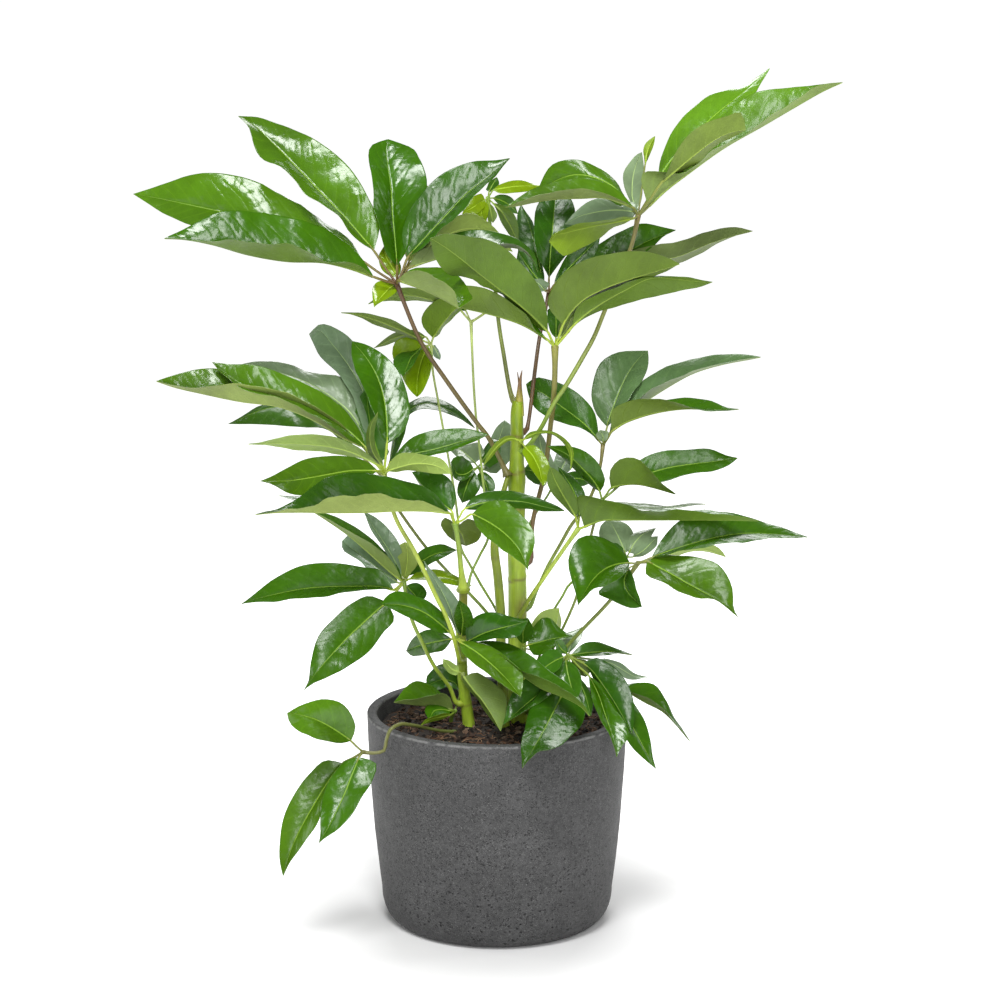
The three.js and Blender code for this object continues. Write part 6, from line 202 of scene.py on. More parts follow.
         'right': [(-6.5,42.7,655),(0.8,61,654.9),(10.2,82.6,655.5),(19.9,102.8,656),(30,121.9,656.7),(38.1,135.6,657.4)],
         'left': [(-9.4,43.4,660.2),(-3.2,62.1,663.6),(6.7,84.1,666.8),(17.9,104.2,666.4),(29.2,122.8,663.7),(37.9,135.9,660.1)]},
     ]},
    {'node': 'leaf_small_hanging', 'slot': 'leaf_young', 'key': 'H',
     'petiole': [(3.2, 6, 326, 1.60), (0, 6, 337, 1.50), (-18.2, 5, 369.2, 1.50), (-28.8, 5, 388.9, 1.40), (-38.4, 7, 407.1, 1.40), (-41.6, 10, 437, 1.30), (-45.8, 16, 468.5, 1.30), (-52.2, 22, 504.2, 1.20), (-57.5, 26, 533.9, 1.20), (-62.8, 28, 563.8, 1.20), (-68, 30, 593.6, 1.20), (-70, 30, 623.6, 1.50)],
     'leaflets': [
        {'tone': 'v', 'rib': [(-67.7,26.7,630.5),(-64.7,23.9,635.8),(-60.4,19,643.3),(-54.1,12.1,652.4),(-47.3,4.7,661.2),(-40,-3.1,669.4),(-35,-9.3,676.4),(-32.2,-12.9,680.5)],
         'right': [(-76.3,24.2,639.8),(-79.6,19.7,651.6),(-73.7,13.2,664.5),(-62.9,6,673.9),(-50.9,-1.9,680),(-40.5,-8.6,682.2)],
         'left': [(-62.2,31.7,632.5),(-57.5,32.3,638.9),(-51,27.6,647.6),(-44,19,656.4),(-36.3,7.3,665.5),(-33.6,-4,674.8)]},
        {'tone': 'o', 'rib': [(-77.3,25,627.6),(-85.6,23.9,632),(-97.3,22.1,638),(-112.6,19.5,645),(-128.1,16.7,651.5),(-144,13.7,656.7),(-156.7,11.4,659),(-164,10,660)],
         'right': [(-86.8,28.4,628.1),(-98.8,29.8,632.9),(-114.7,28.5,639.3),(-130,25,645.7),(-144.9,19.9,653.5),(-156.9,14.6,658)],
         'left': [(-84.3,19.4,634.9),(-95.2,14.4,643.1),(-109.8,10.7,652.4),(-126.2,8.3,657),(-143.1,7.5,659.8),(-156.3,8.2,660.3)]},
        {'tone': 'o', 'rib': [(-75.3,33,630.7),(-81.1,34.9,631.5),(-89.3,38.2,632.6),(-99.9,43,631.2),(-110.2,48,627.5),(-120,53.3,622.1),(-127.5,57.5,617.5),(-131.8,60,614.9)],
         'right': [(-81.1,35.3,626.5),(-88.8,41.4,625.7),(-98.7,48.5,624.8),(-108.8,53.7,622.3),(-118.8,57.5,618.3),(-127.1,59.7,616)],
         'left': [(-80.2,32.2,635.1),(-88.3,33.4,638.3),(-100.2,36.9,637.3),(-111,42.2,632.6),(-120.6,49.1,625.5),(-127.7,55.3,618.8)]},
        {'tone': 'y', 'rib': [(-73.1,26,622.1),(-75.3,23.8,617.2),(-78.4,20,610.5),(-81.4,14.6,601.8),(-83.5,8.8,592.7),(-84.3,2.7,583.6),(-84.2,-2.2,576.5),(-84.1,-5,572.5)],
         'right': [(-91.2,25.3,630.8),(-105.8,21.7,629),(-110,11.2,615.7),(-103.8,-2.8,602.4),(-97.1,-10.3,588.6),(-89.8,-9.2,578.1)],
         'left': [(-69.6,12.2,617.7),(-68.8,0.5,611.6),(-68.9,-8.2,602.8),(-71.1,-12.4,593.2),(-74.4,-12.6,584.2),(-79.7,-9.9,577)]},
        {'tone': 'd', 'rib': [(-79.2,18,622.2),(-81.9,15.3,619.9),(-85.5,10.6,616.8),(-90.2,4,612.9),(-92.8,-3.1,607.7),(-95.2,-10.6,602.5),(-97.1,-16.5,598.5),(-98.2,-20,596.2)],
         'right': [(-83.8,21,619.9),(-90.3,19.7,617.6),(-101.4,11.3,616.2),(-108.3,-0.6,612.5),(-107.7,-10.4,606.2),(-101.9,-16.5,599.8)],
         'left': [(-80.6,9.6,619.8),(-82.6,0.9,616),(-85.8,-7.4,611.7),(-89,-13.6,607.3),(-93,-18.1,602.5),(-96.3,-20.3,598.7)]},
        {'tone': 'g', 'rib': [(-68,34,620.9),(-67.1,35.1,619.3),(-65.8,37.1,617.1),(-64.2,39.9,614.1),(-63.1,42.9,610.9),(-62.1,46,607.5),(-61.4,48.5,604.9),(-60.9,50,603.4)],
         'right': [(-68.5,33.8,618.8),(-68.9,35.6,615.8),(-68.2,39.1,612.3),(-67.4,42.4,608.8),(-65,45.6,606.2),(-62.4,48.1,604.5)],
         'left': [(-66.3,36.2,622),(-64.6,39.5,619.2),(-62.3,43.2,615.8),(-60.9,45.8,612),(-59.8,47.9,608.2),(-60.5,49.5,605.1)]},
     ]},
    {'node': 'leaf_left_tier_front', 'slot': 'leaf_green', 'key': 'I',
     'petiole': [(-39.3, -31.5, 292.6, 2.20), (-42.1, -54, 310.5, 2.30), (-46, -67, 330.1, 2.30), (-53.2, -74, 352.3, 2.30), (-63.4, -80, 375.2, 2.30), (-73.6, -81, 397.8, 2.30), (-87, -80, 425.2, 2.30), (-103.5, -78, 454.5, 2.20), (-112.7, -76, 482.6, 2.20), (-116.7, -75, 504.6, 2.60)],
     'leaflets': [
        {'tone': 'm', 'rib': [(-113.5,-70,534.1),(-113.6,-65.4,545.1),(-114.6,-57.4,560.2),(-117.8,-46,579.3),(-124.2,-33.9,597.7),(-134.7,-21.2,614.4),(-145.4,-10.9,625.7),(-151.9,-5,632)],
         'right': [(-99.5,-65.3,543),(-90.8,-56.7,559.8),(-93.2,-44.6,583.1),(-103.2,-31.9,605.5),(-121.7,-19.8,622.3),(-140,-10.7,630.3)],
         'left': [(-121.1,-74.3,545.1),(-124.8,-72.5,560.5),(-131.6,-62.5,578),(-140.7,-45.4,593.5),(-148.8,-25.7,607.8),(-152.6,-11.9,621.7)]},
        {'tone': 'b', 'rib': [(-135,-75,530.8),(-148,-73.9,544),(-168.7,-72.1,559.4),(-197.5,-69.5,575.6),(-229.5,-66.7,584.4),(-261.2,-63.7,594.3),(-282.5,-61.4,608.6),(-293.6,-60,618.2)],
         'right': [(-142.2,-64,547.1),(-158.9,-55.6,569.5),(-189,-54.3,589.6),(-220.8,-58.3,605.4),(-251,-59.6,615.2),(-277.3,-59.7,616.2)],
         'left': [(-150.5,-84.5,541),(-171.4,-89.4,556.8),(-198.7,-89.2,574.7),(-229.6,-84.5,585.9),(-262.2,-77,593.9),(-283.5,-68.2,608)]},
        {'tone': 'b', 'rib': [(-139.5,-67,531.5),(-159.9,-66.5,541.1),(-186.8,-65.6,557.6),(-223.9,-64.4,572.5),(-264.2,-63.1,577.8),(-304,-61.7,585.6),(-334.8,-60.6,592.6),(-351.8,-60,598.4)],
         'right': [(-153.4,-57.2,551.2),(-177.5,-50.4,572.7),(-217,-47.4,593.5),(-258.7,-43.8,602.1),(-298.8,-51.4,610.5),(-332.2,-57.5,604.5)],
         'left': [(-155.1,-75.8,550.6),(-179.8,-81.6,572.2),(-219.4,-82.7,590.2),(-258.8,-78.7,598.5),(-300.2,-74.3,594.6),(-333.7,-67.6,595.3)]},
        {'tone': 'p', 'rib': [(-120.5,-81,513.1),(-132.6,-83.4,520.4),(-150.2,-87.6,529.5),(-174.1,-93.5,536.4),(-198.7,-99.9,539.9),(-223.3,-106.5,541.9),(-242.3,-111.9,542.3),(-253.1,-115,542.4)],
         'right': [(-133.6,-76.3,517.6),(-152.1,-76,522.7),(-176.1,-80.3,527),(-200.4,-87.7,530.9),(-224.5,-97.5,536.1),(-242.6,-107.2,540.1)],
         'left': [(-130.3,-89.9,525.8),(-146.7,-98.6,539),(-171.6,-106.2,548.7),(-196.8,-111.5,552.2),(-222.2,-115.4,548.3),(-241.5,-116.6,544.3)]},
        {'tone': 'b', 'rib': [(-122.2,-90,509.6),(-134.1,-95.3,511.1),(-150.7,-104.5,512.5),(-171.5,-117.7,511.5),(-192.1,-131.7,510.3),(-212.5,-146.4,510.3),(-228.3,-158.1,512.5),(-237.3,-165,513.8)],
         'right': [(-133,-89.3,518.8),(-150.5,-96.2,525.6),(-173.3,-110.9,529.2),(-194.4,-126.8,528.9),(-213.7,-141.7,521.7),(-228.3,-154.5,515.8)],
         'left': [(-132.9,-102.4,504.9),(-148.5,-115.3,501.5),(-169,-127.1,495.9),(-190.6,-137.8,493.6),(-211.9,-151.3,499.1),(-227.7,-161.7,510.7)]},
        {'tone': 'm', 'rib': [(-108.5,-70,516.2),(-99.1,-69.3,520.9),(-84.9,-68.1,523.7),(-66.6,-66.3,527.3),(-48.5,-64.4,532.1),(-30.4,-62.5,537),(-16.3,-60.9,540.4),(-8.2,-60,542.3)],
         'right': [(-98,-76.3,520.6),(-83.9,-80,522.9),(-64.7,-80.6,524.7),(-46.2,-77.9,528),(-29,-72.1,534.9),(-15.7,-65.7,539.8)],
         'left': [(-102.2,-64.9,526),(-89.8,-63.8,538.4),(-71.8,-63.1,545.9),(-53,-61.6,548.4),(-33.1,-59.7,548.7),(-17.2,-58.7,545)]},
        {'tone': 'p', 'rib': [(-112,-87,509),(-105.3,-91.5,512.1),(-95.8,-99.2,516.3),(-83.5,-110.2,521.1),(-71,-122,523.2),(-59.1,-134.3,522.8),(-50.8,-144.2,519.8),(-46.1,-150,518.1)],
         'right': [(-109.1,-90.2,519.7),(-99.8,-98.6,529.2),(-85.4,-113.6,533),(-69.8,-126.9,532.2),(-55.5,-136,530.7),(-48.4,-143.9,523.7)],
         'left': [(-105.1,-87.2,508.1),(-95.7,-91.8,510.3),(-84.2,-102.4,511.8),(-72.9,-116.4,513.3),(-61.8,-131.6,514.7),(-51.9,-142.6,516.6)]},
        {'tone': 'o', 'rib': [(-117.5,-79,511.7),(-121.2,-79.8,516.9),(-126.3,-81.1,524.3),(-129.8,-83.1,535.4),(-130.6,-85.1,546.9),(-128.4,-87.3,558.4),(-124.1,-89,566.5),(-121.7,-90,571.1)],
         'right': [(-123.7,-76.8,514.6),(-130.2,-75.9,521.7),(-134.3,-76.7,533.2),(-134.6,-79.1,545.6),(-131.2,-82.8,557.9),(-125.1,-86.7,566.2)],
         'left': [(-118,-76.4,517.6),(-122.4,-75.4,524.3),(-125.3,-76.7,534.8),(-126.1,-79.4,545.6),(-124.6,-83.6,556.5),(-122.4,-87.4,565.3)]},
     ]},
    {'node': 'leaf_left_tier_back', 'slot': 'leaf_green', 'key': 'W',
     'petiole': [(8.6, -2, 291.5, 1.80), (3.2, 3, 315.7, 1.80), (-10.7, 8, 335.4, 1.80), (-32.2, 10, 359.2, 1.80), (-52.5, 12, 379.7, 1.70), (-77.1, 14, 407.7, 1.70), (-90.9, 14, 426.4, 1.70), (-103.6, 14, 444.9, 1.70), (-116.3, 15, 464.3, 1.70), (-120.4, 15, 481.7, 2.00)],
     'leaflets': [
        {'tone': 'g', 'rib': [(-129,25,515.6),(-131.5,28.5,530.3),(-135,34.7,550.6),(-145.3,43.4,574.9),(-159.4,52.8,597.5),(-176.4,62.6,618.2),(-191.7,70.4,632.5),(-202.3,75,627.8)],
         'right': [(-121.1,33.9,530.5),(-121.5,45.2,553.5),(-130,54.6,582.4),(-144.3,59.6,608.8),(-165.7,66.4,631.1),(-190.9,72.6,638.4)],
         'left': [(-138.4,20.5,528.7),(-146.4,20.7,547.2),(-155.1,26.7,570.5),(-168.6,39.5,589.8),(-188.6,56.2,605),(-196.9,67.9,617.6)]},
        {'tone': 'g', 'rib': [(-133.1,20,514.4),(-142.2,22.5,528.7),(-155.1,26.8,548.7),(-178.7,32.9,567.8),(-205.8,39.5,582.2),(-235.5,46.3,591),(-259.4,51.8,595.9),(-273.1,55,598.3)],
         'right': [(-131.4,27.4,533.8),(-141.2,35.4,559.9),(-163.6,45.4,583.7),(-199.5,54.3,590),(-231.8,59.2,599),(-258.5,57.9,600.9)],
         'left': [(-151,17.6,519.5),(-165.2,14.3,536.9),(-186.6,14.7,556.5),(-210.8,21.3,571.9),(-237.8,32.9,584),(-260.3,45.1,593)]},
        {'tone': 'd', 'rib': [(-147.6,10,510.8),(-159.3,9.6,521.4),(-176.1,9,535.6),(-199.3,8.2,551.6),(-225.7,7.2,560.4),(-252.9,6.2,555.5),(-272.9,5.5,546.5),(-284.6,5,541.9)],
         'right': [(-157.4,18.4,523.2),(-174.3,23.6,537.6),(-197.7,25.4,555.7),(-225.9,22.9,563.1),(-254.8,17.5,557.2),(-273.9,11.1,547.1)],
         'left': [(-160.4,0.9,519.6),(-174.9,-4.7,535.9),(-202.3,-5.9,539.9),(-226.8,-0.4,541),(-249.9,2.8,541.7),(-271.5,2.4,542.3)]},
        {'tone': 'd', 'rib': [(-123.6,18,498.5),(-126,19.2,506.1),(-129.4,21.3,516.7),(-132.8,24.3,530.4),(-135.7,27.4,544.3),(-137.6,30.8,558.4),(-138.9,33.4,569.3),(-139.6,35,575.6)],
         'right': [(-115.4,18.3,506.5),(-118,16.7,518),(-121.1,17,532.6),(-124,20.8,546.7),(-129.5,25.9,560.2),(-135.9,30.5,570.2)],
         'left': [(-132.9,16.6,503),(-140.1,17.3,513.8),(-147.4,21.7,527.6),(-151.6,26.2,542.1),(-149.6,30,557.7),(-144.7,33.2,569.4)]},
        {'tone': 'd', 'rib': [(-115.3,23,493.2),(-112.1,25.6,507.1),(-107.4,30.2,526.4),(-96.1,36.6,549.1),(-74.5,43.6,557.5),(-50.2,50.8,547.8),(-33.4,56.6,535.1),(-23.7,60,527.8)],
         'right': [(-107.3,17.8,506.7),(-99.4,16.9,525.1),(-93.8,21.1,548.2),(-73.6,28.6,553.9),(-50.6,40.2,546.7),(-33.4,51.4,535.4)],
         'left': [(-113.8,33.3,506.7),(-110,43.3,526.2),(-101.5,52.3,551.4),(-74.9,58.6,561.7),(-47.6,62.1,552.5),(-31.5,62.2,537.1)]},
        {'tone': 'g', 'rib': [(-126.8,15,479.5),(-136.9,16.4,474.3),(-151,18.9,466.9),(-169.9,22.4,459.3),(-189.8,26.1,454.9),(-209.8,30,454.8),(-225.3,33.2,457.3),(-234.1,35,458.7)],
         'right': [(-138.9,20.3,482.3),(-153,28.3,474.8),(-171.2,35.4,466.1),(-190.1,38.5,460.4),(-209.6,38.8,457.5),(-225.3,37.4,458)],
         'left': [(-136.4,10.3,474.5),(-150,8.3,466.1),(-168.2,9.7,456.3),(-189,14.6,453.3),(-209.4,21.7,454.1),(-225,29.1,457.2)]},
     ]},
    {'node': 'leaf_middle_front', 'slot': 'leaf_green', 'key': 'J',
     'petiole': [(-35.9, -46, 381.1, 3.30), (-37.7, -51, 397.3, 2.90), (-39.6, -56, 419.9, 2.70), (-41.6, -59, 436.6, 2.60), (-43.7, -60, 447.5, 3.00)],
     'leaflets': [
        {'tone': 't', 'rib': [(-48.6,-72.9,461.9),(-68.5,-83.4,466.5),(-96.1,-101.6,470.8),(-130.9,-127.4,474.5),(-165.1,-155.1,479.7),(-198.4,-184,486.1),(-223.8,-207.3,490.1),(-238.1,-220.8,491.2)],
         'right': [(-64.3,-72.4,482.1),(-96.5,-84.8,499.1),(-139.5,-106.3,510.4),(-170.8,-137.8,512.6),(-198.8,-168,497.5),(-224.1,-197,490.2)],
         'left': [(-67.7,-96.7,475.9),(-95,-123.9,487.4),(-130.3,-152.7,498.1),(-163.5,-178.9,499.3),(-196.9,-202.7,493.4),(-223.1,-216.9,492.7)]},
        {'tone': 'b', 'rib': [(-25.8,-75,461.3),(-18,-78.9,458.5),(-7.5,-85.7,454.2),(5.1,-95.3,447.4),(16.1,-105.6,439),(24.7,-116.3,428.7),(29.2,-125,419.6),(31.8,-130,414.4)],
         'right': [(-22.6,-89.1,454.8),(-15.6,-102.7,447.4),(-5.3,-115.1,440.2),(5.9,-123.8,434.2),(18.1,-129.2,427.7),(27.3,-131.2,419.9)],
         'left': [(-13.9,-76,472.5),(4.5,-81,477.1),(21.7,-91.2,467.5),(36.3,-102.9,452.7),(38.5,-113.3,436.1),(32.8,-121.5,421.5)]},
        {'tone': 's', 'rib': [(-46.9,-55,460.3),(-51.6,-53.2,463.5),(-58.2,-50.2,467.9),(-66.2,-45.8,474.2),(-73.9,-41.1,480.7),(-81.4,-36.2,487.5),(-86.3,-32.3,493.5),(-89.1,-30,496.9)],
         'right': [(-42.9,-49.5,469.8),(-43.9,-46.2,481),(-48.7,-42.2,491),(-58,-37.6,496.8),(-70.1,-33.4,498.8),(-81.5,-30.5,498.2)],
         'left': [(-52.6,-45.1,460.4),(-59.9,-36.3,463),(-68.7,-29.7,468.4),(-76.4,-26.1,475.4),(-82.6,-25.2,484.3),(-86.8,-26.7,492)]},
        {'tone': 'd', 'rib': [(-34.3,-55,462.4),(-24.2,-53.9,466.1),(-9.7,-52.1,469.3),(9.6,-49.5,470),(29,-46.7,468.2),(48,-43.7,462.9),(62.9,-41.4,459.2),(71.4,-40,457.2)],
         'right': [(-23.4,-49.3,460.2),(-8.7,-44,460.3),(10.1,-39.9,460.4),(28.6,-37.8,459.2),(47.2,-37.3,456.2),(62.6,-38,456.6)],
         'left': [(-27.6,-49.2,471.5),(-13,-43.3,478),(8.9,-37.9,478.9),(28.9,-35.4,474.3),(48.9,-35.5,467.9),(63.7,-37.5,462.2)]},
        {'tone': 's', 'rib': [(-41.8,-50,442.2),(-40.5,-47.5,439.8),(-38.8,-43.2,436.3),(-36.6,-37.1,431.6),(-35.4,-30.5,426.3),(-34.3,-23.7,420.8),(-33.3,-18.2,416.6),(-32.8,-15,414.1)],
         'right': [(-32.4,-45.5,449.1),(-26.1,-41.1,448),(-20.3,-35.5,442.9),(-16.6,-29.4,433.2),(-18.7,-22.8,424.6),(-24,-17.8,418)],
         'left': [(-52.2,-45.4,451.1),(-58.9,-39.1,444.1),(-53.3,-28.4,430.7),(-48.4,-19,423.5),(-42.3,-14.4,418.1),(-36.3,-13.3,415.2)]},
     ]},
    {'node': 'leaf_left_low', 'slot': 'leaf_green', 'key': 'K',
     'petiole': [(-43.3, -15, 241.8, 2.10), (-50.2, -20, 259.8, 2.10), (-66.9, -32, 287.3, 2.10), (-80.3, -41, 318, 2.00), (-89.6, -45, 340.8, 2.00), (-94.7, -46, 362.7, 1.90), (-97.8, -45, 382, 2.20)],
     'leaflets': [
        {'tone': 'm', 'rib': [(-108.4,-45,373.3),(-124.4,-43.9,376.3),(-147.4,-42.1,376.4),(-177,-39.5,375.4),(-206.6,-36.7,372.3),(-235.9,-33.7,365.6),(-258.5,-31.4,359.4),(-271.1,-30,354.5)],
         'right': [(-118.8,-40.3,391),(-143.8,-37.3,396.7),(-175.9,-33.8,400.2),(-208.6,-30.9,395.8),(-238.6,-28.1,379.5),(-259.6,-27.2,362.3)],
         'left': [(-124,-53.1,376.6),(-146.8,-57.8,375.5),(-175.4,-58.8,370.1),(-204.7,-54.6,367.3),(-233.5,-47,360.6),(-257.3,-37.6,358.8)]},
        {'tone': 'm', 'rib': [(-115.4,-55,362.7),(-125.1,-59.6,355.5),(-138.1,-67.6,345.1),(-154.4,-79,332),(-169.5,-91.1,318),(-183.7,-103.8,303.5),(-194,-114.1,291.9),(-199.3,-120,284.9)],
         'right': [(-132.5,-56.5,369.7),(-151.1,-63.1,364),(-170.2,-74.3,349.7),(-185.9,-84.9,333.7),(-193,-95.8,309.5),(-195.5,-108.3,291.8)],
         'left': [(-107.6,-61,347),(-118.9,-69.7,333.4),(-132.9,-82.7,316.8),(-151.8,-97.4,305.6),(-172.7,-111.8,298.1),(-189.8,-119.5,291.3)]},
        {'tone': 'o', 'rib': [(-100.1,-39,381.6),(-109.6,-36.9,388.8),(-122.3,-33.4,399.4),(-138.4,-28.3,413.2),(-155.2,-22.9,426.3),(-173.2,-17.2,437.9),(-187.6,-12.7,446.4),(-195.9,-10,451)],
         'right': [(-103.3,-31,392.5),(-113.9,-23.6,405.3),(-130.6,-16,419.9),(-149.1,-11.2,432.9),(-168.7,-8.9,444),(-185.6,-8.7,449.2)],
         'left': [(-105,-41.4,394.3),(-114.8,-41.1,408.8),(-132.1,-38.7,421.9),(-151.9,-33.6,431.7),(-170.7,-25,441.8),(-186.4,-16.6,448.1)]},
        {'tone': 'g', 'rib': [(-104.6,-30,377.4),(-110.8,-26.1,380.9),(-119.4,-19.3,385.6),(-130.4,-9.7,391.6),(-141.4,0.6,397.8),(-152.6,11.3,403.7),(-161.4,20,408.2),(-166.5,25,410.8)],
         'right': [(-107.1,-21.6,384.2),(-115.4,-11.4,390),(-126.4,-0.8,397.8),(-137.6,7.1,406),(-149.1,14.9,413.6),(-159.2,22.2,418.2)],
         'left': [(-113.2,-30.4,376.6),(-123.4,-27.1,380),(-135.3,-19.5,386.8),(-144.9,-8.1,395.2),(-157.1,5.8,399.8),(-166.1,17.8,404.3)]},
        {'tone': 'g', 'rib': [(-100.3,-33,383.5),(-103.6,-30,390.4),(-108.3,-24.7,399.7),(-115.6,-17.1,411),(-123.7,-9.1,421.8),(-131.9,-0.7,432.5),(-138.2,6.1,440.9),(-141.8,10,445.7)],
         'right': [(-99.1,-26.5,391.2),(-99.4,-20.7,402.9),(-104,-14.5,417.2),(-112.9,-7.2,428.6),(-123.9,0.8,438),(-134.4,6.8,443.7)],
         'left': [(-105,-34.8,390.5),(-110.9,-32.8,400),(-118.6,-26.7,411.3),(-126.8,-18,421.7),(-134.4,-7.2,432.4),(-139.1,2.8,441)]},
        {'tone': 'p', 'rib': [(-98,-37,383.3),(-97.2,-35.1,386.9),(-96,-31.8,391.7),(-94.9,-27,397.9),(-94.5,-22,404.1),(-95.1,-16.7,410.1),(-96.7,-12.5,414.7),(-97.6,-10,417.4)],
         'right': [(-100.5,-31.4,386.4),(-103.9,-26.9,391.6),(-105.6,-23.8,398.4),(-106.8,-21.2,405.3),(-105.2,-16.9,411),(-103,-12.6,415.1)],
         'left': [(-93.8,-31.4,385),(-88.7,-26.7,389.1),(-84.4,-23.5,396),(-83.8,-20.7,403.8),(-87.6,-15.8,411.8),(-93.6,-11.5,415.7)]},
        {'tone': 'y', 'rib': [(-92.7,-40,384),(-86,-38.2,384.6),(-76.6,-35.2,385.3),(-64.5,-30.8,384.5),(-52.3,-26.1,382.2),(-40.7,-21.2,377.3),(-31.7,-17.3,373.1),(-26.5,-15,370.6)],
         'right': [(-85.8,-42.4,383.5),(-76.3,-42.3,383.5),(-64.5,-39.2,381.5),(-53,-33.9,377.8),(-41.9,-26.7,373.5),(-32.2,-19.9,371.7)],
         'left': [(-87.2,-34.4,388.3),(-77.5,-28.6,390.1),(-64.7,-22.8,390.5),(-51.9,-18.5,387),(-40,-15.6,379.6),(-31.4,-14.5,373.7)]},
        {'tone': 'd', 'rib': [(-94,-30,385),(-90.1,-26.8,389),(-84.7,-21.3,394.4),(-76.2,-13.4,399.4),(-66.6,-5,402.8),(-56.1,3.8,403.5),(-47.7,10.9,403.3),(-42.8,15,403.1)],
         'right': [(-87.9,-30.4,387.1),(-80,-27.3,389.8),(-72.4,-20.5,394.7),(-63.7,-11.9,397.4),(-54.6,-1.2,399.7),(-47.1,8.3,402.1)],
         'left': [(-92.6,-23.2,390.5),(-89.4,-16.9,398.9),(-81.4,-10.4,407.9),(-70.6,-3.2,411.6),(-57.3,5.6,411.7),(-48.1,11.6,406.4)]},
        {'tone': 'd', 'rib': [(-95.9,-40,376.5),(-94.2,-38.2,374.3),(-92,-35.2,371.1),(-89.1,-30.8,367),(-86.5,-26.1,362.4),(-84,-21.2,357.8),(-82,-17.3,354.1),(-80.9,-15,352)],
         'right': [(-96.3,-43,373.9),(-96.2,-43.3,369.9),(-93.4,-40.2,365.7),(-90.6,-34.9,361),(-86.2,-27.5,357.3),(-82.8,-20.4,354.2)],
         'left': [(-91.2,-35.5,377.9),(-85.5,-32.3,378.1),(-79.8,-28.6,374.9),(-76.3,-24.1,369.7),(-74.7,-19.7,363),(-78,-16.7,356.2)]},
     ]},
    {'node': 'leaf_heart_front', 'slot': 'leaf_green', 'key': 'L',
     'petiole': [(-41.1, -34.5, 310.9, 2.20), (-41.2, -42, 315, 2.20), (-43.2, -50, 322.5, 2.40)],
     'leaflets': [
        {'tone': 'm', 'rib': [(-49.4,-55,329.2),(-55.3,-58.9,335.9),(-63.8,-65.7,345.2),(-75.5,-75.3,356.1),(-88.6,-85.6,364.2),(-102.3,-96.3,369.8),(-113.2,-105,372.3),(-119.4,-110,373.8)],
         'right': [(-50,-55.4,339.8),(-57,-59.1,352.1),(-70.1,-67.5,365.9),(-85.5,-79.6,375.2),(-102.7,-92.3,383.2),(-114,-103.1,380.4)],
         'left': [(-58,-63.5,331),(-68.4,-73.3,337.5),(-80.1,-84.4,346.6),(-91.5,-94.5,355.5),(-103.3,-103.4,364.3),(-113.5,-108.7,370.8)]},
        {'tone': 'b', 'rib': [(-38.8,-58.8,320.4),(-31.3,-63,316.9),(-21,-70.4,312),(-8.8,-80.9,304.7),(2.7,-92.1,296.8),(13.2,-103.9,288.3),(20.7,-113.3,281.1),(24.9,-118.8,277.1)],
         'right': [(-37.6,-67.2,313.1),(-28.9,-79.1,306.9),(-16.8,-92.4,300.1),(-4.2,-103.4,293.2),(8.9,-112.2,286.6),(19.2,-117.4,281)],
         'left': [(-28.5,-57.6,320.9),(-14.1,-63.9,320),(1.7,-76.6,315.6),(15.2,-89.4,307.3),(27.1,-101.6,297.3),(26.6,-112.4,284.6)]},
        {'tone': 'm', 'rib': [(-28.4,-49.7,315.9),(-15.6,-57.3,310.1),(2.3,-70.5,302.4),(25.1,-89.3,293.5),(46.8,-109.3,283.7),(70.8,-130.3,279.5),(87.7,-147.2,273.6),(95.2,-157,267.5)],
         'right': [(-13.7,-65.2,315.7),(5.4,-84.1,311.1),(27.2,-105.5,302),(51.4,-123.3,295.7),(74.3,-140.4,288.4),(89.4,-152.6,276.9)],
         'left': [(-10.6,-52,319.8),(11.9,-61.6,319.7),(35.1,-77.5,310.6),(56.5,-96.2,298),(76.2,-119.4,288.3),(89.6,-141.4,275)]},
        {'tone': 's', 'rib': [(-31.6,-50,318.2),(-25.5,-52.5,322.1),(-17,-56.8,327.8),(-5.5,-62.9,333.7),(6.3,-69.5,338.6),(18.1,-76.3,343.4),(27.2,-81.8,347.3),(32.4,-85,349.6)],
         'right': [(-23.9,-60.2,321.1),(-13.9,-70.1,325.1),(-1.6,-78.3,329.1),(11.1,-81.8,329.6),(23,-82.8,333.2),(29.2,-84.5,343.4)],
         'left': [(-33,-50.5,330.5),(-27,-53.2,342.6),(-14.5,-57.5,351.4),(0.3,-61.6,353),(14.8,-68.1,350.1),(26,-76.7,349.2)]},
        {'tone': 'd', 'rib': [(-47.6,-40,318.9),(-52.6,-36.8,317.2),(-59.7,-31.3,314.6),(-68.9,-23.4,310.8),(-78.1,-15,306.6),(-87.1,-6.2,301.7),(-93.9,0.9,296.9),(-97.8,5,294.1)],
         'right': [(-53.1,-31.9,320.8),(-61.2,-25.2,323.1),(-71.6,-18.8,324.1),(-81.7,-11.9,319.2),(-90.6,-3.8,309.5),(-95.6,2.6,299.8)],
         'left': [(-51.1,-41.3,313.4),(-56.6,-38.5,306.1),(-66.1,-31.5,301.9),(-75.5,-21.6,297.1),(-85.1,-9.7,292.4),(-92.9,-0.7,290.7)]},
        {'tone': 'g', 'rib': [(-42.2,-41.4,324.7),(-44.3,-43.8,333.8),(-47.3,-48,346.7),(-52.6,-53.9,362.7),(-59.4,-60.3,378.1),(-66.8,-66.9,393.1),(-72.5,-72.3,404.8),(-75.8,-75.4,411.5)],
         'right': [(-33.5,-43.6,334.2),(-34.1,-45.4,348.2),(-41.8,-46.9,363.2),(-52.2,-51.1,377.9),(-63.4,-59.9,392.5),(-71.6,-68.8,404.3)],
         'left': [(-45.4,-49,334.6),(-50.4,-57,347.6),(-58,-64.6,363),(-64.5,-70.3,378),(-70.1,-74.2,393.1),(-73.7,-75.9,405)]},
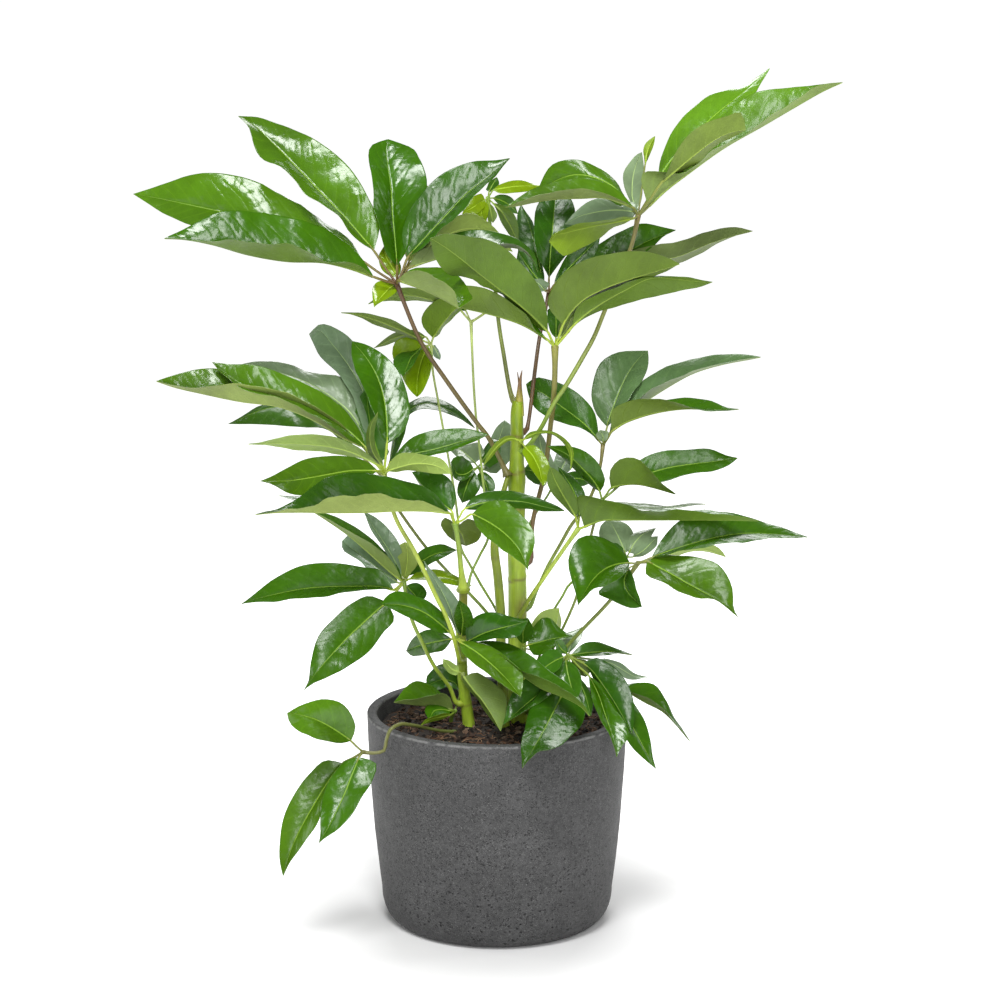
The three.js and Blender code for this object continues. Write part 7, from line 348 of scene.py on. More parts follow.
        {'tone': 'd', 'rib': [(-38.1,-37.3,321.5),(-37.5,-41.7,326.5),(-36.7,-49.3,333.9),(-35.7,-60.1,343.7),(-36.6,-71.7,353.5),(-37.8,-83.8,363.4),(-38.7,-93.5,371.1),(-39.2,-99.2,375.5)],
         'right': [(-30.8,-42.2,324.3),(-27.1,-50.4,332.3),(-24.8,-61.6,344),(-26.2,-72.1,354.7),(-30,-83.9,365),(-35.8,-94.4,371.9)],
         'left': [(-40,-45.9,327.6),(-42.8,-56,335.6),(-44.2,-67.3,345.3),(-44.5,-78.3,354.6),(-42.9,-88.9,364.2),(-40.5,-96.3,371.6)]},
     ]},
    {'node': 'leaf_low_front', 'slot': 'leaf_pale', 'key': 'M',
     'petiole': [(-36.2, -27, 271.6, 1.80), (-36.1, -36, 279.5, 2.00)],
     'leaflets': [
        {'tone': 'o', 'rib': [(-34.9,-48,279.5),(-30.8,-51,274.5),(-24.9,-56.3,267.9),(-16.6,-63.9,260.2),(-9.5,-71.9,251.9),(-3.1,-80.3,243.2),(1.6,-87.1,236.4),(4.3,-91,232.6)],
         'right': [(-23.8,-48.2,284.9),(-12.5,-52.7,281.2),(-0.4,-60.2,273.7),(9.7,-68.5,264.4),(9.9,-79.4,250.4),(6.3,-88.3,239.5)],
         'left': [(-36.2,-42.8,273.8),(-30.1,-43.2,264),(-21.7,-48.6,255.1),(-13.9,-57.9,246.8),(-5.9,-70.1,239.5),(0.6,-81.9,234.7)]},
        {'tone': 'p', 'rib': [(-40.3,-38.9,282.5),(-42.4,-40.2,283.5),(-45.5,-42.3,285),(-48.8,-45.4,287.9),(-51.3,-48.7,292),(-53.8,-52.2,296.2),(-55.7,-55,299.5),(-56.8,-56.6,301.4)],
         'right': [(-42.8,-40.7,279.5),(-46.6,-41.7,280.3),(-51.3,-43.8,283.4),(-54.4,-47.6,288.2),(-57,-52.1,293.4),(-56.9,-54.8,298.4)],
         'left': [(-40.3,-39.3,286.6),(-41.8,-41,289.6),(-44.6,-44.5,292.5),(-47.6,-48.7,295.7),(-51.2,-52.6,299),(-54.8,-55.5,300.6)]},
     ]},
    {'node': 'leaf_sucker_left', 'slot': 'leaf_green', 'key': 'N',
     'petiole': [(-47.7, 12, 202.9, 2.40), (-49.7, 5, 216.1, 2.20), (-47.3, -8, 227.6, 2.00), (-45, -15, 232.9, 2.10)],
     'leaflets': [
        {'tone': 'b', 'rib': [(-47.1,-20,235.4),(-53.3,-22.8,237.7),(-61.9,-27.8,241),(-73.1,-34.8,244.2),(-84.2,-42.2,247.4),(-95.3,-50.1,250.9),(-103.8,-56.3,253.7),(-108.7,-60,255.4)],
         'right': [(-51.1,-12.9,242.9),(-59.9,-13.1,252.7),(-72.7,-20.4,263.3),(-85.7,-30.7,270.6),(-96,-43.4,267.5),(-104,-52.9,259.7)],
         'left': [(-48.5,-27.6,248),(-55.9,-37.2,257.8),(-69.1,-48.4,259.7),(-81.4,-56,259.7),(-93.6,-60.5,258.4),(-103.1,-61.8,256.9)]},
        {'tone': 'd', 'rib': [(-39.9,5.8,248.3),(-42,5.5,252.3),(-45,4.9,258),(-52,4.1,261.6),(-59.4,3.3,262.6),(-66.8,2.4,260.4),(-72.2,1.7,257.7),(-75.4,1.3,256.2)],
         'right': [(-39.5,12.3,253),(-39.8,14,263.2),(-46.8,11.4,277.8),(-62.2,7.4,278.4),(-71.7,5.1,270.9),(-76.4,3.2,263.6)],
         'left': [(-43.4,-1.2,252.6),(-48.1,-7,255.8),(-54,-10,257.7),(-59.4,-9.9,256),(-65.6,-6.7,254),(-71.8,-2.5,254.4)]},
        {'tone': 'm', 'rib': [(-49.2,-25,235.7),(-52.1,-27.1,236.9),(-56.2,-30.8,238.8),(-61.3,-36.1,240.6),(-66.5,-41.7,240.8),(-69.4,-47.5,238.4),(-71,-52.3,235.8),(-72,-55,234.3)],
         'right': [(-52.3,-23.5,238),(-56.9,-24.6,241.4),(-64.1,-30.4,244.4),(-73.8,-38.8,245.9),(-76.6,-46.8,241.7),(-73.9,-52,236.9)],
         'left': [(-51.3,-30.1,233.8),(-54.5,-34.7,233.6),(-58.6,-39.1,232.9),(-62.7,-43.8,232.9),(-66.9,-49.3,233.6),(-70.1,-53.6,234.2)]},
        {'tone': 'y', 'rib': [(-48,-29,233.5),(-51.4,-32.3,233.6),(-56.2,-37.9,233.9),(-62.2,-46,234.7),(-68.3,-54.6,235.8),(-73.7,-63.6,235.7),(-77.7,-70.8,234.9),(-79.9,-75,234.5)],
         'right': [(-51.2,-29.6,231.9),(-55.5,-33.7,230.4),(-61.5,-41,230.5),(-67.1,-50.2,231.3),(-72.7,-60.4,232.5),(-77.3,-69.1,233.6)],
         'left': [(-51.6,-34.7,235.7),(-56.6,-42,237.9),(-62.6,-51,238.3),(-68.8,-59.4,238.7),(-74.7,-67,238.3),(-78,-72.6,236)]},
     ]},
    {'node': 'leaf_low_right', 'slot': 'leaf_green', 'key': 'O',
     'petiole': [(36.6, -3, 230.7, 1.80), (46, -18, 257, 1.80), (58.5, -34, 276.8, 1.80), (66.8, -44, 289.3, 1.70), (75, -50, 304, 2.00)],
     'leaflets': [
        {'tone': 'd', 'rib': [(78.2,-50,304),(84.8,-48.9,304.6),(94,-47.1,305.4),(105.9,-44.5,305.7),(117.9,-41.7,305.6),(129.8,-38.7,303.3),(139.1,-36.4,301.3),(144.4,-35,300.1)],
         'right': [(84.7,-53.3,303.4),(94,-54.4,303.5),(105.8,-53,303.5),(117.5,-49.4,304),(129.5,-43.8,304.5),(138.9,-38.8,302.4)],
         'left': [(83.3,-47.6,309.7),(91.6,-44.5,315.3),(104.7,-40.1,315.9),(117.3,-35.6,311),(130.1,-33,305.9),(139.2,-33.5,302)]},
        {'tone': 'g', 'rib': [(76.6,-28,300.5),(77.5,-25.5,302.9),(78.7,-21.1,306.2),(80.6,-14.9,310.1),(83.8,-8.3,313.4),(87.1,-1.3,316.5),(89.8,4.3,318.8),(91.3,7.5,320.1)],
         'right': [(79.3,-30.2,303.3),(82.7,-29.3,306.4),(86.1,-24.6,309.7),(89.2,-17.3,312.6),(91.5,-7.8,315.8),(91.6,1,318.6)],
         'left': [(71.6,-24,303.2),(67.9,-19.8,307.7),(68,-12.4,313.5),(74.9,-3.1,316.3),(82.5,4.2,317.3),(88.1,7.4,318.8)]},
        {'tone': 'd', 'rib': [(74,-49.5,305),(72.6,-50.1,306.3),(70.6,-51.2,308.3),(68,-52.7,310.8),(66.1,-54.3,314),(64.3,-56,317.3),(62.9,-57.3,319.8),(62.1,-58.1,321.3)],
         'right': [(74.7,-48.4,307.8),(74.2,-49.1,310.9),(72.6,-51.3,314.6),(71,-53.3,318.3),(68.3,-55,321.3),(65.2,-56.7,322.5)],
         'left': [(71.6,-52.6,305.8),(68.7,-55.5,307.2),(65.5,-57.3,310),(62.4,-58.4,312.6),(62.1,-59,316.6),(62.1,-58.9,319.7)]},
        {'tone': 's', 'rib': [(90.6,-60,297.9),(97.7,-62.1,292.7),(105.7,-65.8,283.7),(115,-71.1,271.4),(123.9,-76.7,258.9),(132,-82.5,246),(138,-87.3,235.9),(141.5,-90,230.1)],
         'right': [(96.5,-54.7,289.3),(103.2,-53.3,277.8),(112.1,-56.5,264.6),(121,-63.2,252.6),(129.3,-72.7,241.3),(137,-82.3,233.7)],
         'left': [(102.4,-59.4,303.7),(118.4,-62.6,297.9),(131.9,-67.8,286.2),(140.8,-74.2,270.8),(144.3,-80.5,252.9),(143.4,-85.4,238.2)]},
        {'tone': 'm', 'rib': [(96.5,-75,287.8),(100.9,-79.2,280.8),(106.2,-86.6,271.1),(111,-97.1,258.1),(115.8,-108.3,245.4),(120.2,-120.1,232.9),(122.7,-129.5,223),(124.1,-135,217.4)],
         'right': [(96.7,-85.2,280.8),(99.1,-96.6,271.6),(103.9,-108.6,259.2),(110.4,-119,246.4),(118.2,-127.6,234.7),(122.5,-133.2,224.2)],
         'left': [(104.8,-84.4,284.3),(112.1,-95.4,274.8),(121.1,-104.8,262.1),(132.1,-110.9,249.3),(136.7,-120.3,234.9),(127.6,-129.4,224)]},
        {'tone': 'm', 'rib': [(104.5,-55,291.2),(111.4,-57.8,281.2),(120.9,-62.8,267.6),(132.8,-69.8,250.1),(143.3,-77.2,232),(153.7,-85.1,214),(162,-91.3,200.2),(166.8,-95,192.4)],
         'right': [(107.4,-64.6,280.7),(113.4,-74,266.1),(122.3,-82.1,247.4),(132.2,-87.5,228.7),(145.5,-92.1,211),(158.6,-95,199.2)],
         'left': [(117.7,-52.7,285.5),(130.1,-53.5,272.1),(144.3,-59.2,255.2),(155.7,-68.4,236.7),(161.9,-78.3,216.8),(164.5,-87.5,200.6)]},
        {'tone': 'm', 'rib': [(121.9,-45,279.8),(130,-43.9,271.9),(141.5,-42.1,260.8),(158.3,-39.5,249.3),(176,-36.7,239.2),(190.5,-33.7,224.2),(200.6,-31.4,211.3),(206.4,-30,203.9)],
         'right': [(129.3,-51,273.5),(141.8,-53.5,265.5),(160,-52.3,256.8),(176.6,-48.9,244.7),(190.5,-42.8,227.4),(200.6,-36,212.9)],
         'left': [(129.3,-38,269),(148.9,-33,269.4),(168,-29.5,265.6),(181.8,-25.5,246),(192.3,-23.8,224.8),(201.3,-26.4,211)]},
        {'tone': 'g', 'rib': [(106,-40,295.9),(111.8,-37.9,294),(119.9,-34.2,291.1),(129.4,-28.9,284.7),(138.8,-23.3,277.6),(148.5,-17.5,271.3),(157,-12.7,270),(161.9,-10,269.3)],
         'right': [(111.3,-41.8,293.6),(118.6,-41,289.4),(127.7,-36.7,282.8),(136.4,-30.9,273.8),(147.9,-22.7,269.8),(156.9,-15.3,269.8)],
         'left': [(112.2,-33.6,296),(120.7,-27.2,293.2),(131.8,-20.7,287.8),(140.3,-15.9,279.6),(149,-11.9,273.1),(157.1,-10.1,270.4)]},
        {'tone': 's', 'rib': [(69.5,-70.4,268.1),(65.3,-79.6,262.3),(59.2,-95.7,255.3),(51.5,-118.5,247.1),(43.6,-142.9,239.6),(35.4,-168.5,232.9),(29,-189,228.1),(25.4,-200.9,225.5)],
         'right': [(52.4,-74.1,274.5),(40.9,-82.8,268.1),(33.5,-98.4,255.4),(28.5,-121.8,244.4),(24.9,-152.6,235.1),(25.3,-181.1,228.2)],
         'left': [(90,-81.2,259.3),(90.8,-98.8,247.8),(79.9,-126.1,239.6),(63,-157.7,236.2),(42.3,-182.5,235.8),(30.3,-196.2,230.7)]},
        {'tone': 'd', 'rib': [(72.8,-54.2,299.7),(73.5,-56,295.4),(74.3,-59.1,289.6),(76,-63.6,282.4),(78.1,-68.4,275.3),(79.9,-73.4,268.3),(81.2,-77.4,262.9),(81.9,-79.7,259.8)],
         'right': [(62.9,-55.4,297),(59.2,-58.7,290.1),(59.9,-63.6,281.1),(63,-69.9,272.7),(71.4,-76.6,267.5),(78,-80.2,263)],
         'left': [(78.8,-60,298.4),(83.9,-65.4,294.4),(87.8,-70.6,287.7),(88.8,-75,279.5),(87.8,-78.5,270.9),(84,-80.3,264.1)]},
        {'tone': 'd', 'rib': [(70.6,-58,303.9),(67,-60.3,303),(61.8,-64.2,301.9),(55.8,-69.8,299.7),(49.9,-75.8,297.1),(44.8,-82,293.8),(40.9,-87.1,291.1),(38.7,-90,289.6)],
         'right': [(65.6,-58.2,310.8),(58.3,-61.2,313.4),(50.3,-66.7,311.4),(43.7,-73.3,306.2),(38.9,-80.1,299.7),(38.3,-85.8,293.4)],
         'left': [(68.8,-64.9,300.9),(66.3,-71.8,296),(61,-78.2,293.4),(55.4,-82.8,290.8),(49.3,-86.3,288.2),(42.8,-89.1,288.9)]},
        {'tone': 'd', 'rib': [(66.4,-62,282.1),(60.2,-64.7,278),(51.4,-69.4,272.5),(40.4,-76,265.4),(29.4,-83.1,258.3),(19,-90.6,250.8),(10.9,-96.5,245),(6.4,-100,241.7)],
         'right': [(55.6,-60.9,291.9),(43.2,-64.9,288.7),(28.8,-71.1,283.1),(17.9,-77.8,273.2),(11.2,-84.6,258.8),(8.4,-92.2,247.1)],
         'left': [(67.9,-71.4,273.5),(58.2,-82.1,270.5),(45.7,-91.7,265.3),(33.4,-97.5,258.9),(21.5,-100.8,251.7),(11.9,-101.6,245.7)]},
        {'tone': 'o', 'rib': [(79.2,-53,299.3),(81,-52.1,297.5),(83.5,-50.5,294.8),(86.8,-48.2,291.3),(89.7,-45.8,287.4),(91.8,-43.2,282.9),(93.5,-41.2,279.3),(94.5,-40,277.3)],
         'right': [(83.3,-54,301.3),(88.1,-52.3,300.4),(94.2,-47.9,297.7),(98.4,-44.6,293.1),(100.5,-42.6,286.5),(97,-40.9,280.7)],
         'left': [(78.5,-48.9,294.8),(79.7,-45.1,290.6),(82,-42.4,286.1),(84.2,-41,282.1),(88.3,-39.7,279.3),(92.3,-39.1,277.9)]},
        {'tone': 'd', 'rib': [(79.1,-60,292.5),(81.8,-60.7,287.8),(85.6,-61.9,281.2),(89.7,-63.7,272.5),(93.4,-65.6,263.5),(96,-67.5,254.3),(98,-69.1,247),(99.1,-70,242.9)],
         'right': [(77.8,-62.8,286.7),(77.7,-63.8,278.6),(79.5,-64.7,268.8),(83.6,-66.3,260),(89.1,-68.4,251.8),(95.4,-70.1,246.3)],
         'left': [(82.3,-57,286.9),(87.8,-55.6,280.3),(94.8,-56.2,272.3),(99.5,-59.1,263.4),(101.1,-63.2,254.1),(100.1,-66.9,246.8)]},
     ]},
    {'node': 'leaf_heart_right', 'slot': 'leaf_green', 'key': 'U',
     'petiole': [(26.8, -13, 288.9, 1.80), (28.8, -24, 300.5, 1.80), (28.7, -30, 306.5, 2.00)],
     'leaflets': [
        {'tone': 'm', 'rib': [(32.9,-35,311),(37.7,-34.3,312.1),(44.3,-33.1,313.5),(52.8,-31.3,315.1),(61.4,-29.4,316.7),(70.1,-27.5,317.6),(77,-25.9,318.1),(80.9,-25,318.3)],
         'right': [(36.9,-42.8,303.8),(43.9,-48.4,303.7),(52.7,-49.8,308.1),(60.9,-46.2,313.2),(69.6,-39.2,316.7),(76.7,-31.7,318.2)],
         'left': [(33.5,-27.4,319.8),(38.7,-24,327.9),(47,-23.9,337.2),(57.5,-21.7,336.7),(68.1,-18.7,325.1),(76.2,-20,319.5)]},
        {'tone': 'd', 'rib': [(27.7,-20.4,308.4),(27.7,-22.5,311.9),(27.7,-26.2,316.9),(27.6,-31.4,323.6),(29,-37,330),(30.7,-42.9,336.4),(32,-47.6,341.4),(32.7,-50.3,344.3)],
         'right': [(31.4,-26,312),(35.4,-31.2,316.6),(37.1,-35.8,322.6),(38.7,-40.2,328.5),(36.8,-45.8,335.6),(34.2,-49.8,341.4)],
         'left': [(24.2,-26.3,312.8),(20.9,-30.9,319.1),(17.8,-33.9,327.3),(18.1,-36.8,334.5),(21.9,-41.8,340.5),(28.8,-47.2,342.9)]},
        {'tone': 'p', 'rib': [(41.9,1.3,296.2),(46,2.1,299.5),(51.8,3.5,304.1),(57.5,5.4,311.4),(62,7.5,319.7),(64.6,9.6,328.6),(65.9,11.4,335.8),(66.6,12.4,339.9)],
         'right': [(38.2,0.4,305.8),(33.4,5.3,317.5),(37.4,8.7,323.7),(41.9,10.4,330.3),(48.8,11.8,336.3),(58.4,12.4,339.3)],
         'left': [(49.3,8.9,292.6),(56.6,15.6,295.2),(64.7,19.9,302.5),(67.7,21.4,313.2),(69.6,20,324.7),(67.7,16.7,334)]},
     ]},
    {'node': 'leaf_right_low', 'slot': 'leaf_green', 'key': 'P',
     'petiole': [(35.5, -2, 248.2, 2.00), (40.8, -8, 258.8, 2.00), (56.5, -24, 286.2, 2.00), (77.4, -36, 313.5, 2.00), (92, -42, 331.4, 2.00), (115.8, -49, 359.1, 2.00), (134.3, -54, 384.1, 2.00), (147.7, -55, 404.7, 2.40)],
     'leaflets': [
        {'tone': 'm', 'rib': [(161.3,-55,410.1),(177,-53.2,415.9),(199.5,-50.2,422.6),(229,-45.8,429.8),(259.3,-41.1,433.4),(290.1,-36.2,431.7),(314.1,-32.3,428.8),(327.9,-30,427.1)],
         'right': [(177.5,-63.5,415.3),(199.4,-67.3,422),(228.8,-66.4,426.4),(258.5,-60.4,429),(288.9,-49.9,429.6),(313.4,-39,428.5)],
         'left': [(171.4,-48.1,426.5),(190.1,-43.3,446.6),(221.8,-36.4,455.4),(257.4,-27.1,450),(290,-22.7,439.4),(314.1,-25.2,430.9)]},
        {'tone': 'b', 'rib': [(156.9,-60,408),(166.7,-61.8,402.9),(180.5,-64.8,396),(197.8,-69.2,386.6),(215.3,-73.9,377.8),(232.6,-78.8,368.8),(245.1,-82.7,360.3),(250.9,-85,353.9)],
         'right': [(154.8,-71.6,397.2),(169.2,-83.8,391.4),(187.8,-92.3,384.3),(208,-95,377),(229.4,-93.4,371.8),(242.9,-90.1,361.4)],
         'left': [(171.3,-50.7,411.9),(189.7,-51.3,411.5),(212.9,-60.7,411.4),(232.3,-69,405),(245.1,-74.5,383.3),(246.3,-78.6,361.6)]},
        {'tone': 'm', 'rib': [(138.4,-75,409.2),(130.8,-79.2,409.9),(120.4,-86.6,409.4),(108.4,-97.1,405.4),(98.6,-108.3,398.5),(91,-120.1,389.9),(85.7,-129.5,382.9),(82.9,-135,378.8)],
         'right': [(131.8,-65.3,420.2),(113.2,-69.5,434.1),(85.7,-83.5,437.8),(74.2,-94.7,419.6),(76,-105.1,398.3),(81.7,-120.1,384.4)],
         'left': [(134.5,-95.6,404.6),(126.6,-113.8,402.3),(116.3,-128,401.1),(105.3,-136,398.3),(94.3,-139.7,391.4),(86.8,-139.3,384.2)]},
        {'tone': 'd', 'rib': [(138.2,-58,400),(136.3,-58.8,395.6),(133.6,-60.3,389.4),(134,-62.4,381.7),(138,-64.7,374.1),(144.1,-67,368.1),(148.9,-68.9,363.6),(151.6,-70,361)],
         'right': [(128.1,-64.9,399),(121.9,-68.9,392.2),(105.3,-68.7,376.2),(118.9,-73.3,368.7),(133.5,-75.8,363.3),(143.7,-72.9,360.4)],
         'left': [(140.9,-69,397.5),(143.1,-77.4,393.4),(144.1,-81.9,388.2),(145.3,-82.1,382),(147.3,-79.7,373.4),(149.8,-75.4,365.9)]},
        {'tone': 'p', 'rib': [(160.8,-45,403.5),(168.8,-41.5,405.9),(180,-35.3,409),(194.7,-26.6,412.4),(210.6,-17.2,411.3),(226.2,-7.4,407.7),(237.9,0.4,401.3),(244.6,5,397.7)],
         'right': [(168.1,-46.2,408.8),(178.8,-43.3,414.5),(194.6,-36.3,417.4),(211.1,-25.5,418.2),(228.4,-11.8,414.9),(239.8,-0.3,405.7)],
         'left': [(169.7,-36.7,402.8),(181.7,-27.5,403.2),(196.1,-17.3,406.1),(210.9,-8.2,406.8),(226.2,-1,403.9),(238.1,3.8,400.1)]},
     ]},
    {'node': 'leaf_small_right', 'slot': 'leaf_pale', 'key': 'X',
     'petiole': [(35.6, 12, 260, 1.40), (44.2, 14, 281.8, 1.40), (53.9, 16, 309.1, 1.40), (60.3, 17, 334.3, 1.40), (69.9, 17, 350.9, 1.40), (78.4, 16, 365.5, 1.40), (105.1, 14, 381.4, 1.40), (126.4, 12, 390.6, 1.40), (139.1, 10, 396.6, 1.60)],
     'leaflets': [
        {'tone': 'g', 'rib': [(137.1,15,399.8),(135.8,17.5,403.2),(134,21.8,407.7),(131.3,27.9,413.1),(128.3,34.5,418.4),(125.1,41.3,423.5),(122.5,46.8,427.5),(121.1,50,429.7)],
         'right': [(144.9,19.2,403.7),(147.9,25.8,409.9),(147,33.5,417.2),(142.1,40.4,423.7),(134,46.7,427.5),(125.9,50.2,428.8)],
         'left': [(130.1,13.5,401.1),(120.9,18.6,401.6),(115.5,26.7,406.1),(110.8,33.6,411.4),(110.2,40.8,419),(114.3,46.8,426.2)]},
        {'tone': 'g', 'rib': [(141.3,13,400.3),(143.2,14.6,403.7),(145.8,17.3,408.3),(150.6,21.1,413.3),(156,25.2,417.7),(162.7,29.5,420.3),(168.1,33,422),(171.2,35,423)],
         'right': [(147.7,13.4,399.3),(152.6,15.4,401.7),(158.1,19,405.3),(162.2,22.6,410.1),(165.8,26.4,415.6),(169.2,30.7,420.5)],
         'left': [(138.5,17.2,404.6),(139.3,22.5,410.6),(144.4,28.3,416.6),(151.6,32.6,420.1),(160.5,35.1,421.1),(167.3,35.7,422.1)]},
        {'tone': 'g', 'rib': [(145.5,10,396.6),(148.6,11.4,398),(153.1,13.9,399.9),(158.1,17.4,403.2),(162.8,21.1,406.9),(167.4,25,410.7),(171.1,28.2,413.6),(173.1,30,415.2)],
         'right': [(149.5,9.1,396.8),(155.1,10.4,397),(161.7,14.6,399.4),(167.4,19.4,402.6),(171.9,24,406.9),(172.7,27.8,412.2)],
         'left': [(146.2,12.2,400.8),(148.8,15.1,404.6),(153.9,18.5,407.5),(158.7,22.3,411.3),(163.7,26.2,415),(169.7,28.6,415.2)]},
        {'tone': 'd', 'rib': [(133.6,6,399.7),(131.8,5.6,400.9),(129.3,4.8,402.6),(126.1,3.8,404.9),(123.2,2.7,407.5),(120.5,1.5,410.5),(118.4,0.5,412.8),(117.2,0,414.1)],
         'right': [(134.8,6.1,403.7),(134.4,5.7,407.4),(131.3,4.7,410.2),(128.3,4,413),(123.5,3,413.4),(119.5,1.8,413.7)],
         'left': [(130.7,3.1,399.4),(126.9,0.6,398.7),(123.2,-1,401.7),(119.5,-1.9,404.6),(118.4,-1.9,409),(117.6,-1.3,412.4)]},
     ]},
    {'node': 'leaf_right_middle', 'slot': 'leaf_pale', 'key': 'Q',
     'petiole': [(23.5, -13.5, 335.2, 2.30), (33, -22, 355.9, 2.30), (48.7, -32, 382.2, 2.20), (65.3, -38, 408.4, 2.20), (74.7, -40, 422.9, 2.20), (85.1, -40, 437.9, 2.50)],
     'leaflets': [
        {'tone': 'm', 'rib': [(91.3,-45,441.1),(107.8,-47.1,448.8),(133.5,-50.8,450.6),(166.5,-56.1,451.7),(199.3,-61.7,452.8),(232,-67.5,453.7),(257.4,-72.3,454.2),(271.8,-75,454.4)],
         'right': [(83.6,-44.4,472.9),(117.4,-58.2,470.9),(153.8,-74.2,465.3),(189.4,-80.7,466),(226.4,-81.4,463.6),(255.4,-79.4,458.8)],
         'left': [(97.5,-22.4,453.1),(124.6,-27.9,458.6),(159.9,-31.4,455.6),(195.4,-37.7,458.7),(230.7,-50.2,458.2),(257.3,-63.5,456.6)]},
        {'tone': 'm', 'rib': [(82.7,-48,451.4),(79.8,-49.9,457.2),(75.7,-53.2,465.4),(70,-58,475.8),(64.6,-63,486.3),(59.7,-68.3,497.2),(56.6,-72.5,505.9),(54.9,-75,510.9)],
         'right': [(77.9,-46.4,455.3),(72,-47.6,462.3),(63.7,-53.5,471.8),(55.9,-61.9,482.6),(51.9,-68.6,494.7),(52.9,-72.6,505)],
         'left': [(84.7,-50.1,458.9),(83.8,-52.9,469),(79.4,-57.2,480.6),(73.6,-62.3,491.2),(66.9,-67.7,501),(60.4,-72.2,508)]},
        {'tone': 'd', 'rib': [(86.4,-30,447.6),(86.1,-26.8,453.1),(85.7,-21.3,460.6),(82.3,-13.4,469.4),(77.9,-5,477.8),(72.1,3.8,485.4),(67.6,10.9,491.4),(65,15,494.7)],
         'right': [(91,-25.5,452.8),(93.4,-19.5,461.5),(92.3,-11.6,472.5),(85.5,-2.2,480.9),(77,7,487.5),(69.4,12.9,492)],
         'left': [(83.6,-30.3,453.4),(79.8,-26.9,460.4),(75.3,-19.5,468.3),(70.9,-9.9,475.8),(66.7,0.7,483.3),(65.6,9.2,490.7)]},
     ]},
    {'node': 'leaf_right_upper', 'slot': 'leaf_green', 'key': 'R',
     'petiole': [(34.8, 0, 344, 1.90), (41.7, 0, 360.5, 1.90), (54.4, -2, 389.4, 1.90), (67, -5, 413, 1.90), (79.6, -8, 436.5, 1.90), (89.1, -9, 448.6, 1.90), (98.5, -9, 464.8, 1.80), (105.8, -8, 484.1, 1.80), (110, -6, 503.1, 1.80), (112, -5, 521.1, 2.10)],
     'leaflets': [
        {'tone': 'h', 'rib': [(116.5,5,538.7),(119.1,7.8,547.3),(123.5,12.8,559),(129.7,19.8,573.7),(136.8,27.2,588.1),(146.1,35.1,601.3),(155.1,41.3,610.2),(161.1,45,614.4)],
         'right': [(123.5,-3.5,546.9),(130.3,-6.2,558.8),(140.4,-2.5,572.4),(151,7.1,583.4),(158.4,22,595.7),(161.5,35.8,606.1)],
         'left': [(106.9,13.6,548.5),(100.8,18.4,565.1),(102,23.2,584),(110.7,30.7,604.4),(131.4,39.3,613.7),(151.3,45.5,613.9)]},
        {'tone': 'h', 'rib': [(118.3,-5,532.9),(130.9,-4.3,546.3),(150.2,-3.1,563.2),(177.6,-1.3,581.4),(206.7,0.6,597.1),(238.3,2.5,606.4),(263.6,4.1,610.9),(278.1,5,613.5)],
         'right': [(128.3,-13.4,550.1),(146.2,-18.4,569.6),(173.3,-19.1,589.8),(204.8,-16.6,601),(236.9,-10,609.3),(262.6,-2.1,612.7)],
         'left': [(123.1,3.9,552.2),(138.7,11.1,575.2),(167.8,16.8,594.9),(200.9,19,608.2),(236.5,16.3,614),(262.7,11,615.6)]},
        {'tone': 'u', 'rib': [(121,-15,537.9),(132.2,-18.5,546.4),(149.8,-24.7,554.7),(173.3,-33.4,562.3),(197.2,-42.8,566.6),(221.1,-52.6,567.3),(239.5,-60.4,568.2),(250,-65,569.9)],
         'right': [(119.7,-16.1,557.8),(139,-24.8,571.6),(166,-41.3,576.7),(192.2,-55,572.6),(218.2,-62.6,567.6),(238.3,-65.5,568)],
         'left': [(131.3,-8,548.6),(148.9,-8.3,560.6),(171.7,-17.2,568.9),(195.9,-27.6,575.9),(221,-42,574.8),(239.1,-55.3,569.5)]},
        {'tone': 'd', 'rib': [(108,2.5,524.1),(101.8,4.9,531.4),(92.4,9,541),(78.6,14.8,551.2),(64.4,21.1,560.9),(50.1,27.6,570.5),(38,32.8,576.6),(30.9,35.9,579.7)],
         'right': [(107.1,10.3,534.7),(104.3,14.4,551.4),(91.2,18.3,568),(75.3,23.7,578.7),(56.6,29.8,585),(40,34.4,586.5)],
         'left': [(100.2,-2.6,531.8),(87.3,-4,538.8),(70.3,2.3,543.6),(52.8,14.5,548.1),(39.2,25.1,557.2),(32.9,31.9,570.4)]},
        {'tone': 'g', 'rib': [(111.8,-9,525.1),(111.8,-9.8,526.6),(111.7,-11.1,528.7),(111.7,-13.1,531.5),(110.8,-15.1,534.2),(109.6,-17.3,536.7),(108.7,-19,538.7),(108.2,-20,539.9)],
         'right': [(114,-11.8,526.8),(116.2,-13.8,529.4),(117.1,-14.8,533.7),(117,-15.8,537.2),(113,-18.3,538.5),(109.9,-20,539.5)],
         'left': [(109.3,-11.6,526.4),(107.5,-13.8,528.3),(105.8,-14.9,530.4),(104.2,-15.7,532.5),(104.3,-17.3,535.3),(106.8,-19,538.2)]},
     ]},
    {'node': 'leaf_right_back', 'slot': 'leaf_green', 'key': 'S',
     'petiole': [(35.6, 8, 234.3, 1.50), (46.3, 6, 261.6, 1.50), (57, 2, 290.5, 1.50), (69.6, -3, 319.4, 1.50), (77, -5, 336.4, 1.50), (84.3, -7, 355.6, 1.50), (91.5, -9, 386.7, 1.50), (98.7, -12, 420, 1.50), (102.8, -13, 437.5, 1.50), (106.9, -14, 450.7, 1.50), (111, -15, 463.9, 1.80)],
     'leaflets': [
        {'tone': 'm', 'rib': [(120.1,-23,478.4),(126.6,-25.6,481.4),(136,-30.2,484.1),(148.3,-36.6,485.4),(160.4,-43.6,484.2),(172.1,-50.8,482.1),(181.1,-56.6,480.3),(186.3,-60,479.4)],
